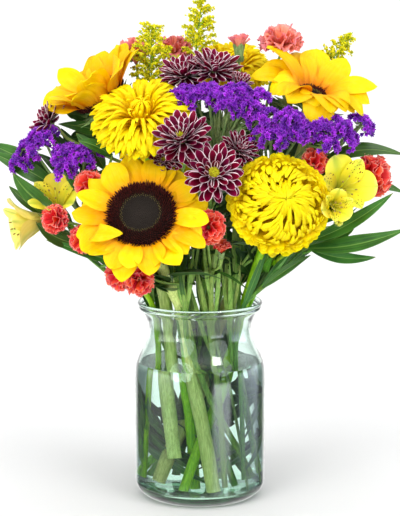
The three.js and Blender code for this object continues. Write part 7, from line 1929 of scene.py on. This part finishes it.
def rise(socket, a, b, low=0.0, high_value=1.0):
    n = wnode("ShaderNodeMapRange", interpolation_type="SMOOTHSTEP")
    wt.links.new(socket, n.inputs[0])
    for i, x in enumerate((a, b, low, high_value)):
        n.inputs[i + 1].default_value = x
    return n.outputs[0]


both = wnode("ShaderNodeMath", operation="MAXIMUM")
wt.links.new(rise(split.outputs[1], 0.76, 0.90), both.inputs[0])
wt.links.new(rise(split.outputs[2], 0.56, 0.80), both.inputs[1])
three = wnode("ShaderNodeMath", operation="MAXIMUM")
wt.links.new(both.outputs[0], three.inputs[0])
wt.links.new(rise(split.outputs[2], -0.26, -0.55), three.inputs[1])
tone = wnode("ShaderNodeMix", data_type="RGBA")
wt.links.new(three.outputs[0], tone.inputs[0])
tone.inputs[6].default_value = (0.17, 0.185, 0.19, 1)
tone.inputs[7].default_value = (1.0, 1.0, 1.0, 1)
back = wnode("ShaderNodeBackground")
back.inputs["Strength"].default_value = 1.34
wt.links.new(tone.outputs[2], back.inputs[0])
sink = wnode("ShaderNodeOutputWorld")
wt.links.new(back.outputs[0], sink.inputs[0])


def panel(name, at, aim, size, power, colour=(1, 1, 1), fade=None):
    data = bpy.data.lights.new(name, "AREA")
    data.shape = "RECTANGLE"
    data.size, data.size_y = size
    data.energy = power
    data.color = colour
    if fade is not None:   # soft sides, and a run from bright at its top to faint at its foot
        data.use_nodes = True
        lt = data.node_tree
        lamp = next(n for n in lt.nodes if n.type == "EMISSION")
        spot = lt.nodes.new("ShaderNodeNewGeometry")
        part = lt.nodes.new("ShaderNodeSeparateXYZ")
        lt.links.new(spot.outputs["Parametric"], part.inputs[0])

        def slope(socket, a, b, low, top):
            n = lt.nodes.new("ShaderNodeMapRange")
            n.interpolation_type = "SMOOTHSTEP"
            lt.links.new(socket, n.inputs[0])
            for i, x in enumerate((a, b, low, top)):
                n.inputs[i + 1].default_value = x
            return n.outputs[0]

        def times(a, b):
            n = lt.nodes.new("ShaderNodeMath")
            n.operation = "MULTIPLY"
            lt.links.new(a, n.inputs[0])
            lt.links.new(b, n.inputs[1])
            return n.outputs[0]

        u, v = part.outputs[0], part.outputs[1]
        soft, foot, cap = fade
        sides = times(slope(u, 0.0, soft, 0.0, 1.0), slope(u, 1.0, 1.0 - soft, 0.0, 1.0))
        run = times(slope(v, 0.0, 0.9, foot, 1.0), slope(v, 1.0, 1.0 - cap, 0.0, 1.0))
        lt.links.new(times(sides, run), lamp.inputs["Strength"])
    ob = bpy.data.objects.new(name, data)
    ob.location = at
    d = np.array(aim, float) - np.array(at, float)
    z = unit(-d)
    x = unit(np.cross([0, 0, 1.0], z)) if abs(z[2]) < 0.99 else np.array([1.0, 0, 0])
    y = np.cross(z, x)
    ob.matrix_world = Matrix(((x[0], y[0], z[0], at[0]), (x[1], y[1], z[1], at[1]), (x[2], y[2], z[2], at[2]), (0, 0, 0, 1)))
    scene.collection.objects.link(ob)
    return ob


def ring_at(azimuth, distance, height):
    """A place round the vase: azimuth in degrees from the viewer's side, to the right."""
    a = math.radians(azimuth)
    return (distance * math.sin(a), -distance * math.cos(a), height)


def soft_sun(name, azimuth, elevation, angle, strength):
    data = bpy.data.lights.new(name, "SUN")
    data.angle = math.radians(angle)
    data.energy = strength
    ob = bpy.data.objects.new(name, data)
    ob.rotation_euler = (math.radians(90 - elevation), 0, math.radians(azimuth))
    ob.visible_glossy = False
    scene.collection.objects.link(ob)
    return ob


soft_sun("key", -36, 16, 44, 2.75)
soft_sun("fill", 44, 24, 40, 1.45)
soft_sun("sky", 8, 60, 70, 0.75)
# what the glass mirrors, seen by nothing else: azimuth, distance, height, width, tall, power, colour, softness
GLOWS = (("left", -68, 1.0, 0.03, 1.55, 0.62, 16.0, (0.95, 1.0, 0.96), (0.10, 0.10, 0.20)),
         ("middle", 38, 1.0, -0.15, 0.72, 0.46, 10.0, (0.86, 0.93, 1.0), (0.24, 0.06, 0.34)),
         ("side", 96, 1.0, -0.02, 1.30, 0.74, 20.0, (0.74, 0.86, 1.0), (0.30, 0.10, 0.20)),
         ("upper_left", -104, 1.6, 0.85, 1.5, 1.5, 11.0, (0.95, 1.0, 1.0), (0.4, 0.2, 0.4)),
         ("upper_right", 108, 1.6, 0.85, 1.9, 1.5, 26.0, (0.80, 0.88, 1.0), (0.4, 0.2, 0.4)),
         ("window", 38, 2.0, 1.95, 0.95, 0.50, 40.0, (1, 1, 1), (0.30, 0.8, 0.30)))
for name, azimuth, distance, height, width, tall, power, colour, fade in GLOWS:
    glow = panel("glow_" + name, ring_at(azimuth, distance, height), (0, 0, 0.1), (width, tall), power, colour, fade)
    glow.visible_diffuse = False
    glow.visible_transmission = False
    glow.visible_volume_scatter = False

scene.view_settings.view_transform = "Standard"
scene.view_settings.look = "None"

low, high = [], []
for ob in scene.objects:
    if ob.type == "MESH" and ob is not floor and not ob.hide_render:
        co = np.empty(len(ob.data.vertices) * 3, np.float32)
        ob.data.vertices.foreach_get("co", co)
        m = np.array(ob.matrix_world)
        co = co.reshape(-1, 3) @ m[:3, :3].T + m[:3, 3]
        low.append(co.min(0))
        high.append(co.max(0))
